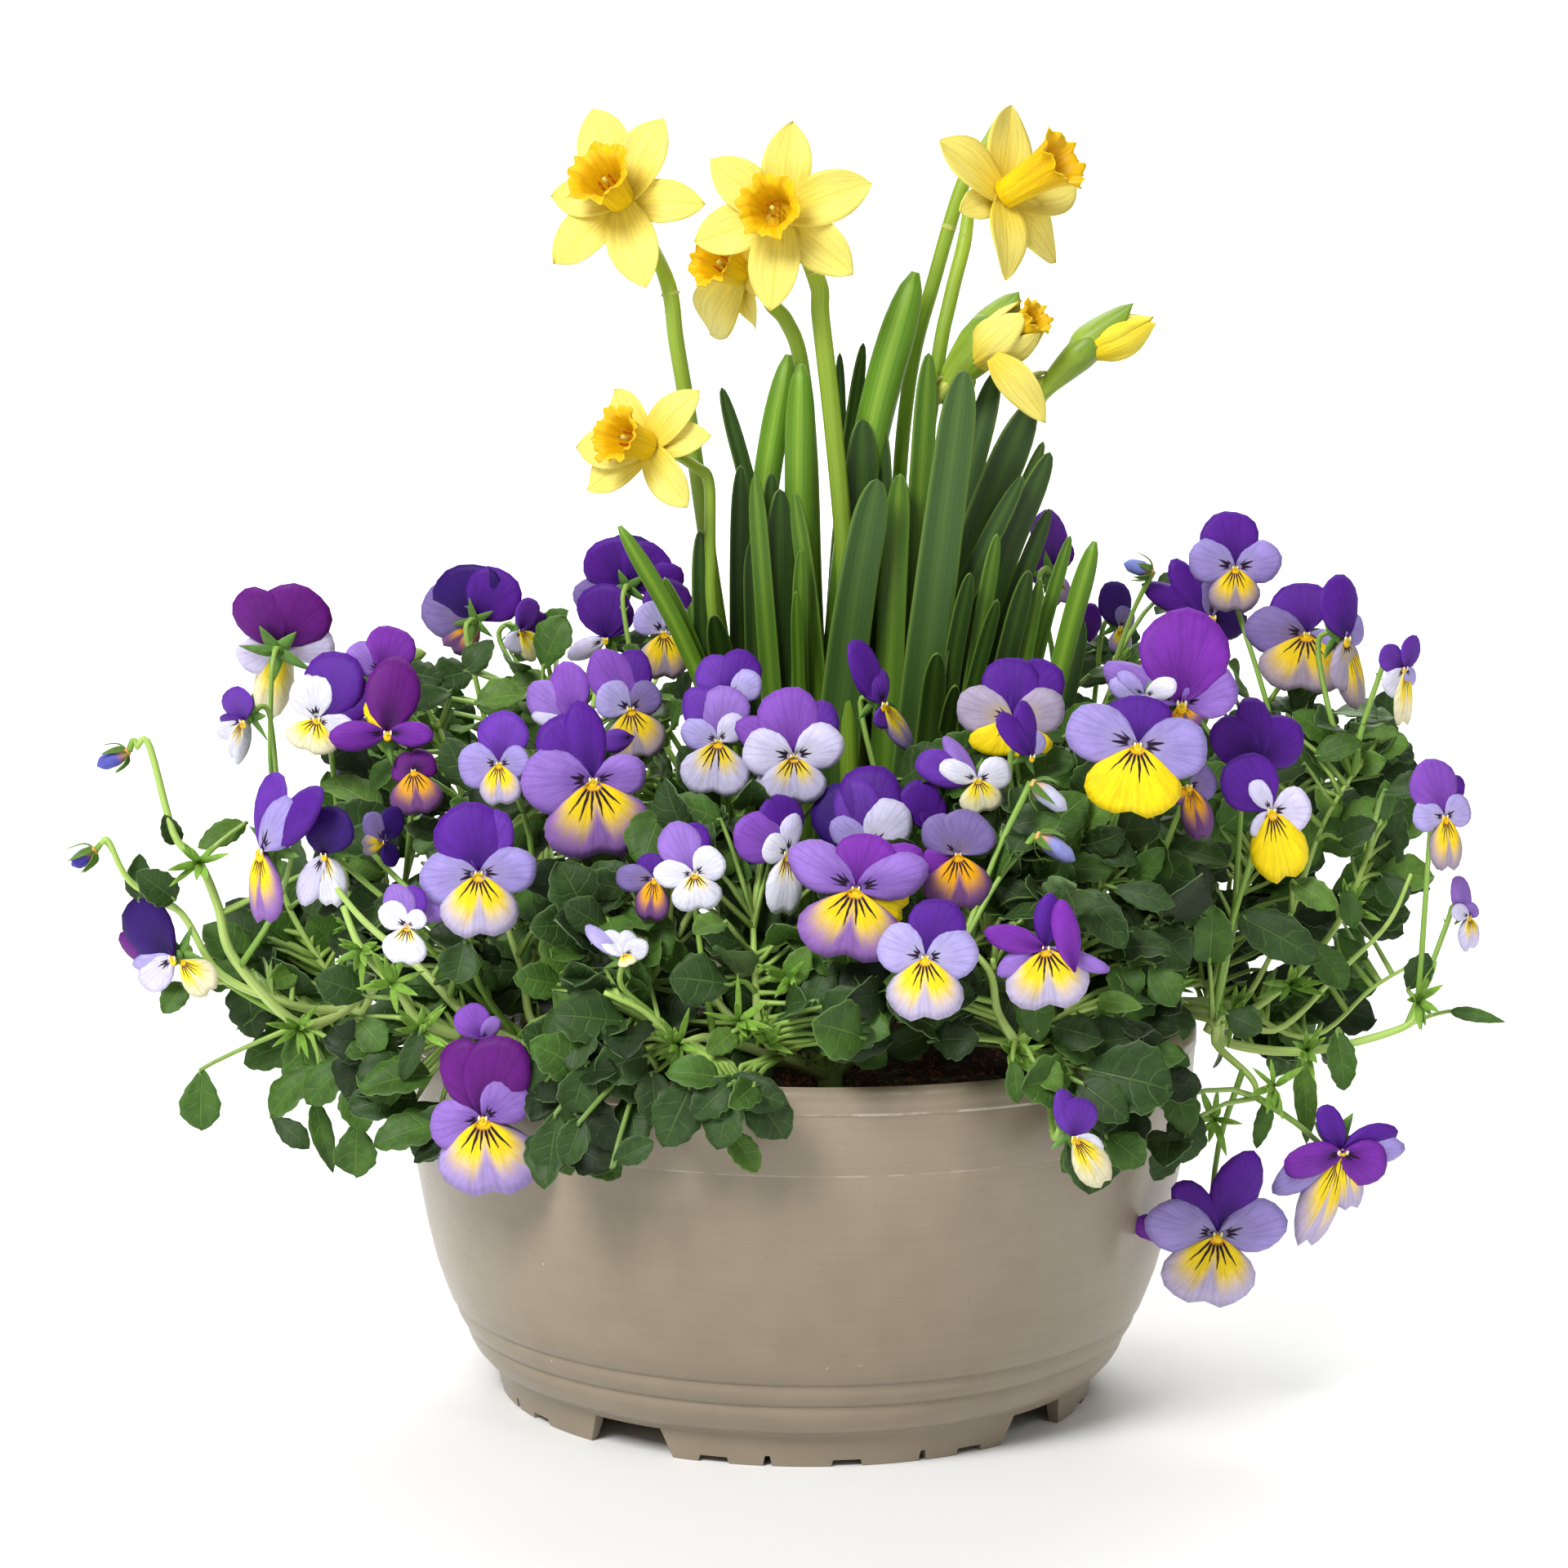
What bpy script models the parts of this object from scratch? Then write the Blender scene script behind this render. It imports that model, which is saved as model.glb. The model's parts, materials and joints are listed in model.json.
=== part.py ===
"""Planter with pansies and daffodils: a round plastic bowl, its soil, a clump of daffodils and six pansies.

Units are metres and +Z is up. The origin is the middle of the bowl's foot, on the surface it stands on,
and -Y is the front. Lengths whose name ends in _MM, and the sizes in the lists of blooms, leaves and stems,
are millimetres. The lists give a place as seen from the front: (u, v) is a point of a 1920 x 1920 picture
of the planter, and the depth behind the bowl's axis sets how far away that point lies.
"""

import math
import random
from typing import NamedTuple

import bpy
from mathutils import Matrix, Vector
from mathutils.bvhtree import BVHTree

MM = 0.001
UP = Vector((0, 0, 1))

# Where the picture was seen from
EYE = Vector((-6.3, -1350, 400)) * MM
EYE_PITCH = math.radians(8.2)
EYE_ROLL = math.radians(0.75)
FOCAL_PIXELS = 4970
MIDDLE_PIXEL = 960

# Bowl
RIM_RADIUS_MM = 134
RIM_HEIGHT_MM = 130.5
WALL_MM = 2.8
FLOOR_MM = 11.5
FOOT_RADIUS_MM = 100.5
BOWL_SIDES = 30
ARCH_ANGLES = (-122, -39, 51, 141)
ARCH_WIDTH_MM = 28
ARCH_MIDDLE_MM = 4.2
ARCH_HALF_HEIGHT_MM = 5.6
CUTTER_HALF_MM = 9
NOTCH_STEP_DEGREES = 18
NOTCH_START_DEGREES = 4
NOTCH_FROM_ARCH_DEGREES = 12
NOTCH_WIDTH_MM = 3.2
NOTCH_HEIGHT_MM = 2.4

# Soil
SOIL_EDGE_MM = 119
SOIL_CROWN_MM = 3.5
SOIL_LUMP_MM = 1.3
GAP_MM = 0.4

# Where the plants stand in the soil
CROWN_RING_MM = 92
CROWN_RADIUS_MM = 5.5
CROWN_DEPTH_MM = 14
CROWN_TOP_MM = 129
CLUMP_MIDDLE_MM = (27, 20)
CLUMP_HALF_MM = (50, 22)
CLUMP_DEPTH_MM = 10

# Blades and stems
PETAL_MM = 0.9
STALK_RADIUS_MM = 1.0
BLOOM_SPAN_MM = 42
MARGIN_MM = 0.35

COLOURS = {
    "taupe": (0.31, 0.27, 0.22),
    "soil": (0.035, 0.018, 0.012),
    "strap": (0.07, 0.15, 0.03),
    "tepal": (0.93, 0.85, 0.22),
    "trumpet": (0.95, 0.55, 0.01),
    "leaf": (0.06, 0.14, 0.03),
    "plum": (0.10, 0.01, 0.20),
    "violet": (0.12, 0.03, 0.34),
    "lilac": (0.38, 0.28, 0.72),
    "white": (0.75, 0.72, 0.85),
    "yellow": (0.90, 0.70, 0.03),
}


class Solid(NamedTuple):
    """A closed triangle mesh that is not yet an object."""

    points: list
    triangles: list


def seen_at(u, v, depth_mm):
    """The point at this depth that lies under the picture's point (u, v)."""
    across = u - MIDDLE_PIXEL
    high = MIDDLE_PIXEL - v
    x = math.cos(EYE_ROLL) * across - math.sin(EYE_ROLL) * high
    y = math.sin(EYE_ROLL) * across + math.cos(EYE_ROLL) * high
    forward = Vector((0, math.cos(EYE_PITCH), -math.sin(EYE_PITCH)))
    upward = Vector((0, math.sin(EYE_PITCH), math.cos(EYE_PITCH)))
    ray = forward + Vector((x, 0, 0)) / FOCAL_PIXELS + upward * (y / FOCAL_PIXELS)
    return EYE + ray * ((depth_mm * MM - EYE.y) / ray.y)


def placed(point, turn, nod, lean):
    """A frame at a point: z faces as turned and nodded; y is up, leaned clockwise seen from its front."""
    turn, nod, lean = (math.radians(a) for a in (turn, nod, lean))
    face = Vector((math.sin(turn) * math.cos(nod), -math.cos(turn) * math.cos(nod), math.sin(nod)))
    side = UP.cross(face).normalized()
    up = face.cross(side)
    leaned_up = up * math.cos(lean) + side * math.sin(lean)
    leaned_side = side * math.cos(lean) - up * math.sin(lean)
    frame = Matrix((leaned_side, leaned_up, face)).transposed().to_4x4()
    frame.translation = point
    return frame


def swept(path, sections, hint):
    """A closed bar along a path: each section is a loop of (side, face) offsets, its side near the hint."""
    sides = len(sections[0])
    points = []
    side = hint
    for i, point in enumerate(path):
        along = (path[min(i + 1, len(path) - 1)] - path[max(i - 1, 0)]).normalized()
        side = (side - along * side.dot(along)).normalized()
        face = along.cross(side)
        points += [point + side * x + face * y for x, y in sections[i]]
    triangles = []
    for i in range(len(path) - 1):
        for k in range(sides):
            a, b = i * sides + k, i * sides + (k + 1) % sides
            triangles += [(a, b, b + sides), (a, b + sides, a + sides)]
    last = (len(path) - 1) * sides
    for k in range(1, sides - 1):
        triangles += [(0, k + 1, k), (last, last + k, last + k + 1)]
    return Solid(points, triangles)


def tube(path, radii, sides=3, flat=1.0):
    """A closed round bar along a path, or an oval one where flat is under 1."""
    angles = [2 * math.pi * k / sides for k in range(sides)]
    sections = [[(r * math.cos(a), r * flat * math.sin(a)) for a in angles] for r in radii]
    return swept(path, sections, Vector((0.9, 0.1, 0.3)))


def keeled(path, widths, depths, facing):
    """A closed blade along a path: flat on the side that it faces, with a keel behind."""
    sections = [[(w, 0), (0, d), (-w, 0)] for w, d in zip(widths, depths)]
    return swept(path, sections, (path[-1] - path[0]).cross(facing))


def plate(outline, middle, facing, thickness):
    """A closed blade: a fan of triangles about a middle point, alike on both faces."""
    count = len(outline)
    front = [*outline, middle]
    points = front + [p - facing * thickness for p in front]
    triangles = []
    for k in range(count):
        n = (k + 1) % count
        triangles += [(k, n, count), (k + count + 1, 2 * count + 1, n + count + 1)]
        triangles += [(k, k + count + 1, n + count + 1), (k, n + count + 1, n)]
    return Solid(points, triangles)


class Garden:
    """Every solid placed so far, by node, with what is needed to keep the nodes clear of each other."""

    def __init__(self):
        self.solids = {}
        self.trees = {}

    def add(self, node, solid):
        """Keeps a solid in its node."""
        self.solids.setdefault(node, []).append(solid)
        points, triangles = [], []
        for part in self.solids[node]:
            triangles += [tuple(i + len(points) for i in t) for t in part.triangles]
            points += part.points
        self.trees[node] = BVHTree.FromPolygons(points, triangles)

    def forget(self, node):
        """Drops what a node holds."""
        del self.solids[node]
        del self.trees[node]

    def fence(self, name, obj):
        """Keeps the shape of a finished object, which other solids stay clear of."""
        points = [obj.matrix_world @ v.co for v in obj.data.vertices]
        self.trees[name] = BVHTree.FromPolygons(points, [tuple(p.vertices) for p in obj.data.polygons])

    def clear(self, node, solid, own=False):
        """Whether a solid, grown by the margin, meets no other node, or with own not even its own node."""
        normals = [Vector() for _ in solid.points]
        for a, b, c in solid.triangles:
            normal = (solid.points[b] - solid.points[a]).cross(solid.points[c] - solid.points[a])
            for i in (a, b, c):
                normals[i] += normal
        grown = [p + n.normalized() * (MARGIN_MM * MM) for p, n in zip(solid.points, normals)]
        tree = BVHTree.FromPolygons(grown, solid.triangles)
        return not any(tree.overlap(other) for name, other in self.trees.items() if own or name != node)

    def crossings(self, node, solid):
        """How many triangles of a solid meet those that its own node already holds."""
        return len(BVHTree.FromPolygons(solid.points, solid.triangles).overlap(self.trees[node]))


def new_object(name, points, faces, colour, roughness=0.5):
    """An object with its own material."""
    mesh = bpy.data.meshes.new(name)
    mesh.from_pydata([tuple(p) for p in points], [], [tuple(f) for f in faces])
    mesh.update()
    material = bpy.data.materials.new(name)
    material.use_nodes = True
    shader = material.node_tree.nodes["Principled BSDF"]
    shader.inputs["Base Color"].default_value = (*COLOURS[colour], 1)
    shader.inputs["Roughness"].default_value = roughness
    shader.inputs["Metallic"].default_value = 0
    mesh.materials.append(material)
    obj = bpy.data.objects.new(name, mesh)
    bpy.context.scene.collection.objects.link(obj)
    return obj


def combine(obj, solids, operation, solver):
    """Applies one Boolean of many closed solids to an object, and removes them."""
    group = bpy.data.collections.new(obj.name + ".pieces")
    bpy.context.scene.collection.children.link(group)
    for solid in solids:
        mesh = bpy.data.meshes.new("piece")
        mesh.from_pydata([tuple(p) for p in solid.points], [], solid.triangles)
        piece = bpy.data.objects.new("piece", mesh)
        piece.hide_render = True
        piece.display_type = "WIRE"
        group.objects.link(piece)
    boolean = obj.modifiers.new("combine", "BOOLEAN")
    boolean.operation = operation
    boolean.solver = solver
    boolean.operand_type = "COLLECTION"
    boolean.collection = group
    bpy.context.view_layer.update()
    graph = bpy.context.evaluated_depsgraph_get()
    result = bpy.data.meshes.new_from_object(obj.evaluated_get(graph))
    obj.modifiers.remove(boolean)
    before = obj.data
    obj.data = result
    bpy.data.meshes.remove(before)
    for piece in list(group.objects):
        bpy.data.objects.remove(piece)
    bpy.data.collections.remove(group)


def fused(name, solids, colour, roughness=0.5):
    """One object from solids that run into each other."""
    obj = new_object(name, solids[0].points, solids[0].triangles, colour, roughness)
    if len(solids) > 1:
        combine(obj, solids[1:], "UNION", "MANIFOLD")
    return obj


# Bowl


def bowl_outside():
    """The bowl's outer profile, from the foot up, as (radius, height) in millimetres."""
    return [
        (FOOT_RADIUS_MM, 0),
        (FOOT_RADIUS_MM + 2.6, 11),
        (107.2, 12.6),
        (112.0, 21.8),
        (113.9, 24.2),
        (115.9, 30.0),
        (117.8, 32.2),
        (122.6, 46),
        (127.6, 68),
        (131.4, 92),
        (132.4, 103),
        (RIM_RADIUS_MM, 122),
        (RIM_RADIUS_MM, RIM_HEIGHT_MM),
    ]


def bowl_inside():
    """The bowl's inner profile, from the lip down to the floor."""
    return [
        (RIM_RADIUS_MM - WALL_MM, RIM_HEIGHT_MM),
        (127.6 - WALL_MM, 68),
        (117.8 - WALL_MM, 32.2),
        (107.2 - WALL_MM - 2, FLOOR_MM + WALL_MM),
    ]


def turned(profile, sides):
    """Points and faces of a closed shape turned about Z; the profile starts and ends on a flat disc."""
    points = []
    for radius, height in profile:
        for k in range(sides):
            a = 2 * math.pi * k / sides
            points.append(Vector((radius * math.cos(a), radius * math.sin(a), height)) * MM)
    faces = [tuple(reversed(range(sides)))]
    for i in range(len(profile) - 1):
        for k in range(sides):
            n = (k + 1) % sides
            faces.append((i * sides + k, i * sides + n, (i + 1) * sides + n, (i + 1) * sides + k))
    faces.append(tuple((len(profile) - 1) * sides + k for k in range(sides)))
    return points, faces


def block(middle, half, angle):
    """A closed box turned about Z, from its middle and half sizes in millimetres."""
    turn = Matrix.Rotation(angle, 4, "Z")
    corners = [(x, y, z) for z in (-1, 1) for x, y in ((-1, -1), (1, -1), (1, 1), (-1, 1))]
    points = [turn @ (Vector([m + c * h for m, c, h in zip(middle, corner, half)]) * MM)
              for corner in corners]
    quads = [(0, 3, 2, 1), (4, 5, 6, 7), (0, 1, 5, 4), (1, 2, 6, 5), (2, 3, 7, 6), (3, 0, 4, 7)]
    return Solid(points, [t for a, b, c, d in quads for t in ((a, b, c), (a, c, d))])


def build_bowl():
    """The bowl with its hollow foot, four arches and a row of small notches under it."""
    profile = [
        (95, FLOOR_MM - 2),
        (FOOT_RADIUS_MM - 3.5, 7),
        (FOOT_RADIUS_MM - 3.5, 0),
        *bowl_outside(),
        *bowl_inside(),
    ]
    points, faces = turned(profile, BOWL_SIDES)
    bowl = new_object("bowl", points, faces, "taupe", 0.38)
    reach = FOOT_RADIUS_MM
    arch = (CUTTER_HALF_MM, ARCH_WIDTH_MM / 2, ARCH_HALF_HEIGHT_MM)
    cutters = [block((reach, 0, ARCH_MIDDLE_MM), arch, math.radians(a)) for a in ARCH_ANGLES]
    for k in range(round(360 / NOTCH_STEP_DEGREES)):
        angle = k * NOTCH_STEP_DEGREES + NOTCH_START_DEGREES
        if min(abs((angle - a + 180) % 360 - 180) for a in ARCH_ANGLES) > NOTCH_FROM_ARCH_DEGREES:
            notch = (CUTTER_HALF_MM, NOTCH_WIDTH_MM / 2, NOTCH_HEIGHT_MM)
            cutters.append(block((reach, 0, 0), notch, math.radians(angle)))
    combine(bowl, cutters, "DIFFERENCE", "EXACT")
    bowl.data.shade_smooth()
    bowl.data.set_sharp_from_angle(angle=math.radians(35))
    return bowl


# Soil


def crown_places():
    """Where the pansies stand, by name, as points on the soil."""
    angles = {"front_left": -128, "front": -84, "front_right": -38, "right": 12, "back": 88, "left": 172}
    return {name: Vector((math.cos(math.radians(a)), math.sin(math.radians(a)), 0)) * (CROWN_RING_MM * MM)
            for name, a in angles.items()}


def soil_height(radius_mm, angle):
    """The soil's height in millimetres: mounded, with lumps that follow a formula."""
    mound = SOIL_CROWN_MM * (1 - (radius_mm / RIM_RADIUS_MM) ** 2)
    lumps = math.sin(radius_mm / 7 + 3 * angle) * math.cos(5 * angle + radius_mm / 11)
    return SOIL_EDGE_MM + mound + SOIL_LUMP_MM * lumps


def build_soil():
    """The soil that fills the bowl, with a plain hole for each crown."""
    sides = 24
    shrink = math.cos(math.pi / BOWL_SIDES)
    profile = [((r - GAP_MM) * shrink, h) for r, h in reversed(bowl_inside()[1:])]
    profile[0] = (profile[0][0] - 1, profile[0][1] + 2 * GAP_MM)
    rings = (128.4, 110, 84, 50)
    points = []
    for radius, height in [*profile, *((r, None) for r in rings)]:
        for k in range(sides):
            a = 2 * math.pi * k / sides
            z = soil_height(radius, a) if height is None else height
            points.append(Vector((radius * math.cos(a), radius * math.sin(a), z)) * MM)
    points.append(Vector((0, 0, soil_height(0, 0))) * MM)
    count = len(profile) + len(rings)
    faces = [tuple(reversed(range(sides)))]
    for i in range(count - 1):
        for k in range(sides):
            n = (k + 1) % sides
            a, b, c, d = i * sides + k, i * sides + n, (i + 1) * sides + n, (i + 1) * sides + k
            faces += [(a, b, c), (a, c, d)] if i >= len(profile) - 1 else [(a, b, c, d)]
    last = (count - 1) * sides
    faces += [(last + k, last + (k + 1) % sides, len(points) - 1) for k in range(sides)]
    soil = new_object("soil", points, faces, "soil", 0.95)
    holes = []
    for place in crown_places().values():
        foot = place + UP * ((SOIL_EDGE_MM - CROWN_DEPTH_MM) * MM)
        radius = (CROWN_RADIUS_MM + GAP_MM) * MM
        holes.append(tube([foot, foot + UP * 40 * MM], [radius, radius], 6))
    holes.append(clump_base(GAP_MM, SOIL_EDGE_MM - CLUMP_DEPTH_MM, 160))
    combine(soil, holes, "DIFFERENCE", "EXACT")
    return soil


def clump_base(grow_mm, low_mm, high_mm):
    """A low block of eight sides for the daffodils' foot, or for the hole that it stands in."""
    cx, cy = CLUMP_MIDDLE_MM
    hx, hy = (h + grow_mm for h in CLUMP_HALF_MM)
    corner = 0.45 * hy
    ring = [(hx, hy - corner), (hx - corner, hy), (corner - hx, hy), (-hx, hy - corner),
            (-hx, corner - hy), (corner - hx, -hy), (hx - corner, -hy), (hx, corner - hy)]
    points = [Vector((cx + x, cy + y, h)) * MM for h in (low_mm, high_mm) for x, y in ring]
    triangles = []
    for k in range(8):
        n = (k + 1) % 8
        triangles += [(k, n, n + 8), (k, n + 8, k + 8)]
    for k in range(1, 7):
        triangles += [(0, k + 1, k), (8, 8 + k, 9 + k)]
    return Solid(points, triangles)


# Daffodils


class Strap(NamedTuple):
    """A strap leaf or a green bud by its tip, a point halfway and its lowest seen point, in the picture."""

    tip: tuple
    half: tuple
    low: tuple
    depth: float
    width: float
    thick: float = 1.7


FLAT_LEAF_MM = 2
STRAP_FREE_SHARE = 0.12
STRAPS = [
    Strap((882, 474), (914, 545), (941, 766), 34, 5.5),
    Strap((925, 583), (925, 680), (952, 833), -4, 6.0),
    Strap((945, 579), (943, 690), (950, 811), 8, 7.0),
    Strap((956, 599), (952, 700), (957, 838), 0, 9.0),
    Strap((971, 603), (993, 690), (990, 842), -6, 6.0),
    Strap((981, 673), (977, 744), (983, 842), -10, 5.0),
    Strap((1041, 557), (1044, 640), (1040, 800), 16, 4.5),
    Strap((1074, 587), (1060, 690), (1026, 833), -8, 12.0),
    Strap((1102, 580), (1096, 680), (1086, 880), 2, 8.5),
    Strap((1057, 513), (1052, 600), (1058, 780), 12, 11.0),
    Strap((1079, 516), (1084, 600), (1079, 780), 16, 6.0),
    Strap((1059, 420), (1040, 500), (1030, 720), 30, 5.0),
    Strap((1137, 432), (1133, 580), (1106, 840), 10, 7.5),
    Strap((1180, 453), (1162, 640), (1106, 945), -10, 12.0),
    Strap((1220, 454), (1196, 540), (1150, 760), 24, 9.0),
    Strap((1264, 492), (1215, 620), (1150, 800), 14, 12.0),
    Strap((1278, 541), (1250, 620), (1200, 760), 24, 5.5),
    Strap((1286, 554), (1244, 659), (1185, 811), 6, 8.5),
    Strap((1252, 583), (1207, 670), (1155, 800), 0, 6.5),
    Strap((1221, 654), (1212, 730), (1185, 840), -6, 5.5),
    Strap((1285, 623), (1258, 700), (1215, 811), 12, 6.0),
    Strap((1310, 656), (1293, 722), (1262, 820), 8, 4.5),
    Strap((1188, 702), (1179, 755), (1160, 840), -10, 6.0),
    Strap((1221, 735), (1212, 775), (1190, 840), -12, 5.0),
    Strap((1260, 699), (1248, 750), (1228, 820), -2, 7.0),
    Strap((1274, 708), (1268, 750), (1250, 830), 2, 4.5),
    Strap((1148, 800), (1143, 850), (1135, 920), -18, 8.0),
    Strap((758, 644), (798, 704), (848, 815), -14, 5.8, 3.0),
    Strap((814, 708), (830, 745), (862, 820), -8, 4.0),
    Strap((858, 650), (856, 720), (866, 810), -4, 6.0),
    Strap((874, 753), (878, 780), (888, 820), -16, 8.0),
    Strap((907, 570), (905, 680), (908, 800), 14, 6.0),
    Strap((923, 660), (925, 730), (930, 820), 8, 8.0),
    Strap((1340, 663), (1324, 733), (1292, 820), 0, 6.5, 4.0),
    Strap((1122, 333), (1097, 415), (1062, 530), 18, 9.0, 7.0),
    Strap((967, 434), (950, 500), (940, 600), 22, 7.5, 6.0),
    Strap((981, 446), (979, 515), (980, 620), 12, 9.0, 7.0),
]


def clump_foot(x, y):
    """The point of the clump's foot that lies nearest to a place in millimetres."""
    cx, cy = CLUMP_MIDDLE_MM
    hx, hy = (h - 6 for h in CLUMP_HALF_MM)
    return Vector((max(cx - hx, min(cx + hx, x)), max(cy - hy, min(cy + hy, y)), SOIL_EDGE_MM - 2)) * MM


def strap_leaf(leaf, depth, start):
    """A strap leaf with a keel, or a plump green bud, to its tip from a share of its way above the foot."""
    cx, cy = CLUMP_MIDDLE_MM
    low = seen_at(*leaf.low, depth * 0.6 + cy * 0.4)
    foot = clump_foot(cx + (low.x / MM - cx) * 0.74, cy + (depth - 8) * 0.6)
    foot = foot.lerp(low, start)
    half = seen_at(*leaf.half, depth * 0.85 + cy * 0.15)
    tip = seen_at(*leaf.tip, depth)
    near_tip = tip + (half - tip) * 0.12
    path = [foot, low, half, near_tip, tip]
    if leaf.thick > FLAT_LEAF_MM:
        radii = [leaf.width * share * MM for share in (0.34, 0.36, 0.52, 0.30, 0.05)]
        return tube(path, radii, 5, leaf.thick / leaf.width)
    widths = [leaf.width * share * MM for share in (0.40, 0.48, 0.50, 0.34, 0.05)]
    return keeled(path, widths, [leaf.thick * MM] * 4 + [0.4 * MM], Vector((0.1, -1, 0.1)))


def grow_strap(garden, leaf):
    """A strap leaf at the first depth where it keeps off the others, above the foot that they share."""
    for offset in depth_steps(14, 1.5):
        if garden.clear("daffodil_clump", strap_leaf(leaf, leaf.depth + offset, STRAP_FREE_SHARE), True):
            break
    else:
        offset = 0
        print("strap leaf", leaf.tip, "crosses another")
    garden.add("daffodil_clump", strap_leaf(leaf, leaf.depth + offset, 0))


class Stem(NamedTuple):
    """A round stem through points of the picture, top first, from one depth at the top to one at the foot."""

    route: tuple
    depth: float
    foot_depth: float
    width: float


FLOWER_STEMS = {
    "left": Stem(((817, 345), (828, 418), (845, 520), (862, 640), (886, 800)), 12, 14, 6.2),
    "middle": Stem(((1001, 345), (1005, 390), (1020, 521), (1034, 679), (1036, 800)), 8, 6, 6.4),
    "behind": Stem(((942, 365), (962, 392), (980, 440), (992, 560), (1000, 780)), 30, 26, 5.4),
    "low": Stem(((852, 572), (868, 592), (870, 680), (880, 810)), -4, -2, 4.6),
    "right": Stem(((1180, 300), (1164, 365), (1146, 460), (1110, 760)), 26, 18, 5.0),
    "opening": Stem(((1186, 462), (1150, 560), (1120, 760)), 22, 18, 6.0),
    "bud": Stem(((1278, 474), (1230, 580), (1170, 780)), 22, 22, 6.0),
}
LONE_STEMS = [
    Stem(((1222, 142), (1200, 190), (1178, 228), (1146, 335), (1113, 470), (1096, 700)), 36, 30, 5.0),
    Stem(((1066, 505), (1052, 620), (1050, 790)), 18, 18, 6.0),
    Stem(((940, 590), (944, 700), (956, 800)), 22, 20, 5.0),
    Stem(((979, 600), (986, 700), (990, 800)), 12, 12, 5.6),
]


def stem_points(stem):
    """A stem's points, from its top down into the clump's foot."""
    count = len(stem.route)
    depths = [stem.depth + (stem.foot_depth - stem.depth) * i / (count - 1) for i in range(count)]
    points = [seen_at(*p, d) for p, d in zip(stem.route, depths)]
    cx = CLUMP_MIDDLE_MM[0]
    return [*points, clump_foot(cx + (points[-1].x / MM - cx) * 0.6, stem.foot_depth)]


def lone_stem(stem):
    """A stem or sheath that carries no flower, drawn to a point."""
    points = stem_points(stem)
    radii = [stem.width / 2 * MM] * len(points)
    radii[0] = 0.5 * MM
    return tube(points, radii, 4)


def flower_stem(stem, socket, back):
    """A stem with the tube and the swelling behind its flower: it ends just short of the flower's back."""
    start = socket + back * (GAP_MM * MM)
    points = [start, start + back * 11 * MM, start + back * 16 * MM, *stem_points(stem)]
    radii = [2.2 * MM, 3.0 * MM, 1.9 * MM] + [stem.width / 2 * MM] * (len(points) - 3)
    radii[3] *= 0.8
    return tube(points, radii, 4)


class Daffodil(NamedTuple):
    """An open daffodil: its middle in the picture, and the way it faces."""

    name: str
    seen: tuple
    depth: float
    reach: float
    turn: float
    nod: float
    lean: float
    trumpet: float


DAFFODILS = [
    Daffodil("left", (763, 248), 10, 28.0, -18, 24, 8, 17),
    Daffodil("middle", (958, 263), -6, 28.0, -12, 6, 4, 15),
    Daffodil("behind", (905, 338), 20, 22.0, -62, -22, 20, 14),
    Daffodil("low", (795, 546), -10, 22.0, -42, 14, 14, 15),
    Daffodil("right", (1228, 238), 16, 29.0, 52, 16, 0, 22),
]

TEPAL_EDGE = ((-0.27, 0.50), (-0.20, 0.78), (0.0, 1.0), (0.20, 0.78), (0.27, 0.50))
TEPAL_NOTCH = 0.30


def tepals(frame, reach, sweep):
    """Six tepals in one closed sheet, three of them behind the other three."""
    tilt = math.radians(sweep)

    def at(angle, x, y, lift):
        spot = Vector((x, y * math.cos(tilt), lift + abs(x) * 0.2 - y * math.sin(tilt))) * (reach * MM)
        return frame @ (Matrix.Rotation(angle, 3, "Z") @ spot)

    outline = []
    for k in range(6):
        lift = 0.05 if k % 2 else -0.02
        outline += [at(math.pi / 3 * k, -x, y, lift) for x, y in TEPAL_EDGE]
        outline.append(at(math.pi / 3 * (k + 0.5), 0, TEPAL_NOTCH, 0))
    facing = (frame.to_3x3() @ Vector((0, 0, 1))).normalized()
    return plate(outline, frame.to_translation(), facing, PETAL_MM * MM)


def cup(frame, low, low_radius, high, high_radius, sides):
    """A closed cup with a frilled mouth along the flower's z, in millimetres."""
    def ring(radius, height, frill=0.0):
        return [frame @ (Vector((radius * (1 + frill * (-1) ** k) * math.cos(a),
                                 radius * (1 + frill * (-1) ** k) * math.sin(a),
                                 height + frill * 6 * (-1) ** k)) * MM)
                for k, a in ((k, 2 * math.pi * k / sides) for k in range(sides))]

    rings = [ring(low_radius, low), ring(high_radius, high, 0.07), ring(high_radius - PETAL_MM, high, 0.07),
             ring(low_radius - PETAL_MM, low + PETAL_MM)]
    points = [p for r in rings for p in r]
    triangles = []
    for i in range(len(rings) - 1):
        for k in range(sides):
            a, b = i * sides + k, i * sides + (k + 1) % sides
            triangles += [(a, b, b + sides), (a, b + sides, a + sides)]
    last = (len(rings) - 1) * sides
    for k in range(1, sides - 1):
        triangles += [(0, k + 1, k), (last, last + k, last + k + 1)]
    return Solid(points, triangles)


def set_flower(garden, nodes, solids_at):
    """Puts a flower's solids, one to a node, at the first depth that is clear; returns the depth moved."""
    for offset in depth_steps(12, 3):
        solids = solids_at(offset)
        if all(garden.clear(node, solid) for node, group in zip(nodes, solids) for solid in group):
            for node, group in zip(nodes, solids):
                for solid in group:
                    garden.add(node, solid)
            return offset
    print("flower", nodes[0], "has no clear place")
    return 0


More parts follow.
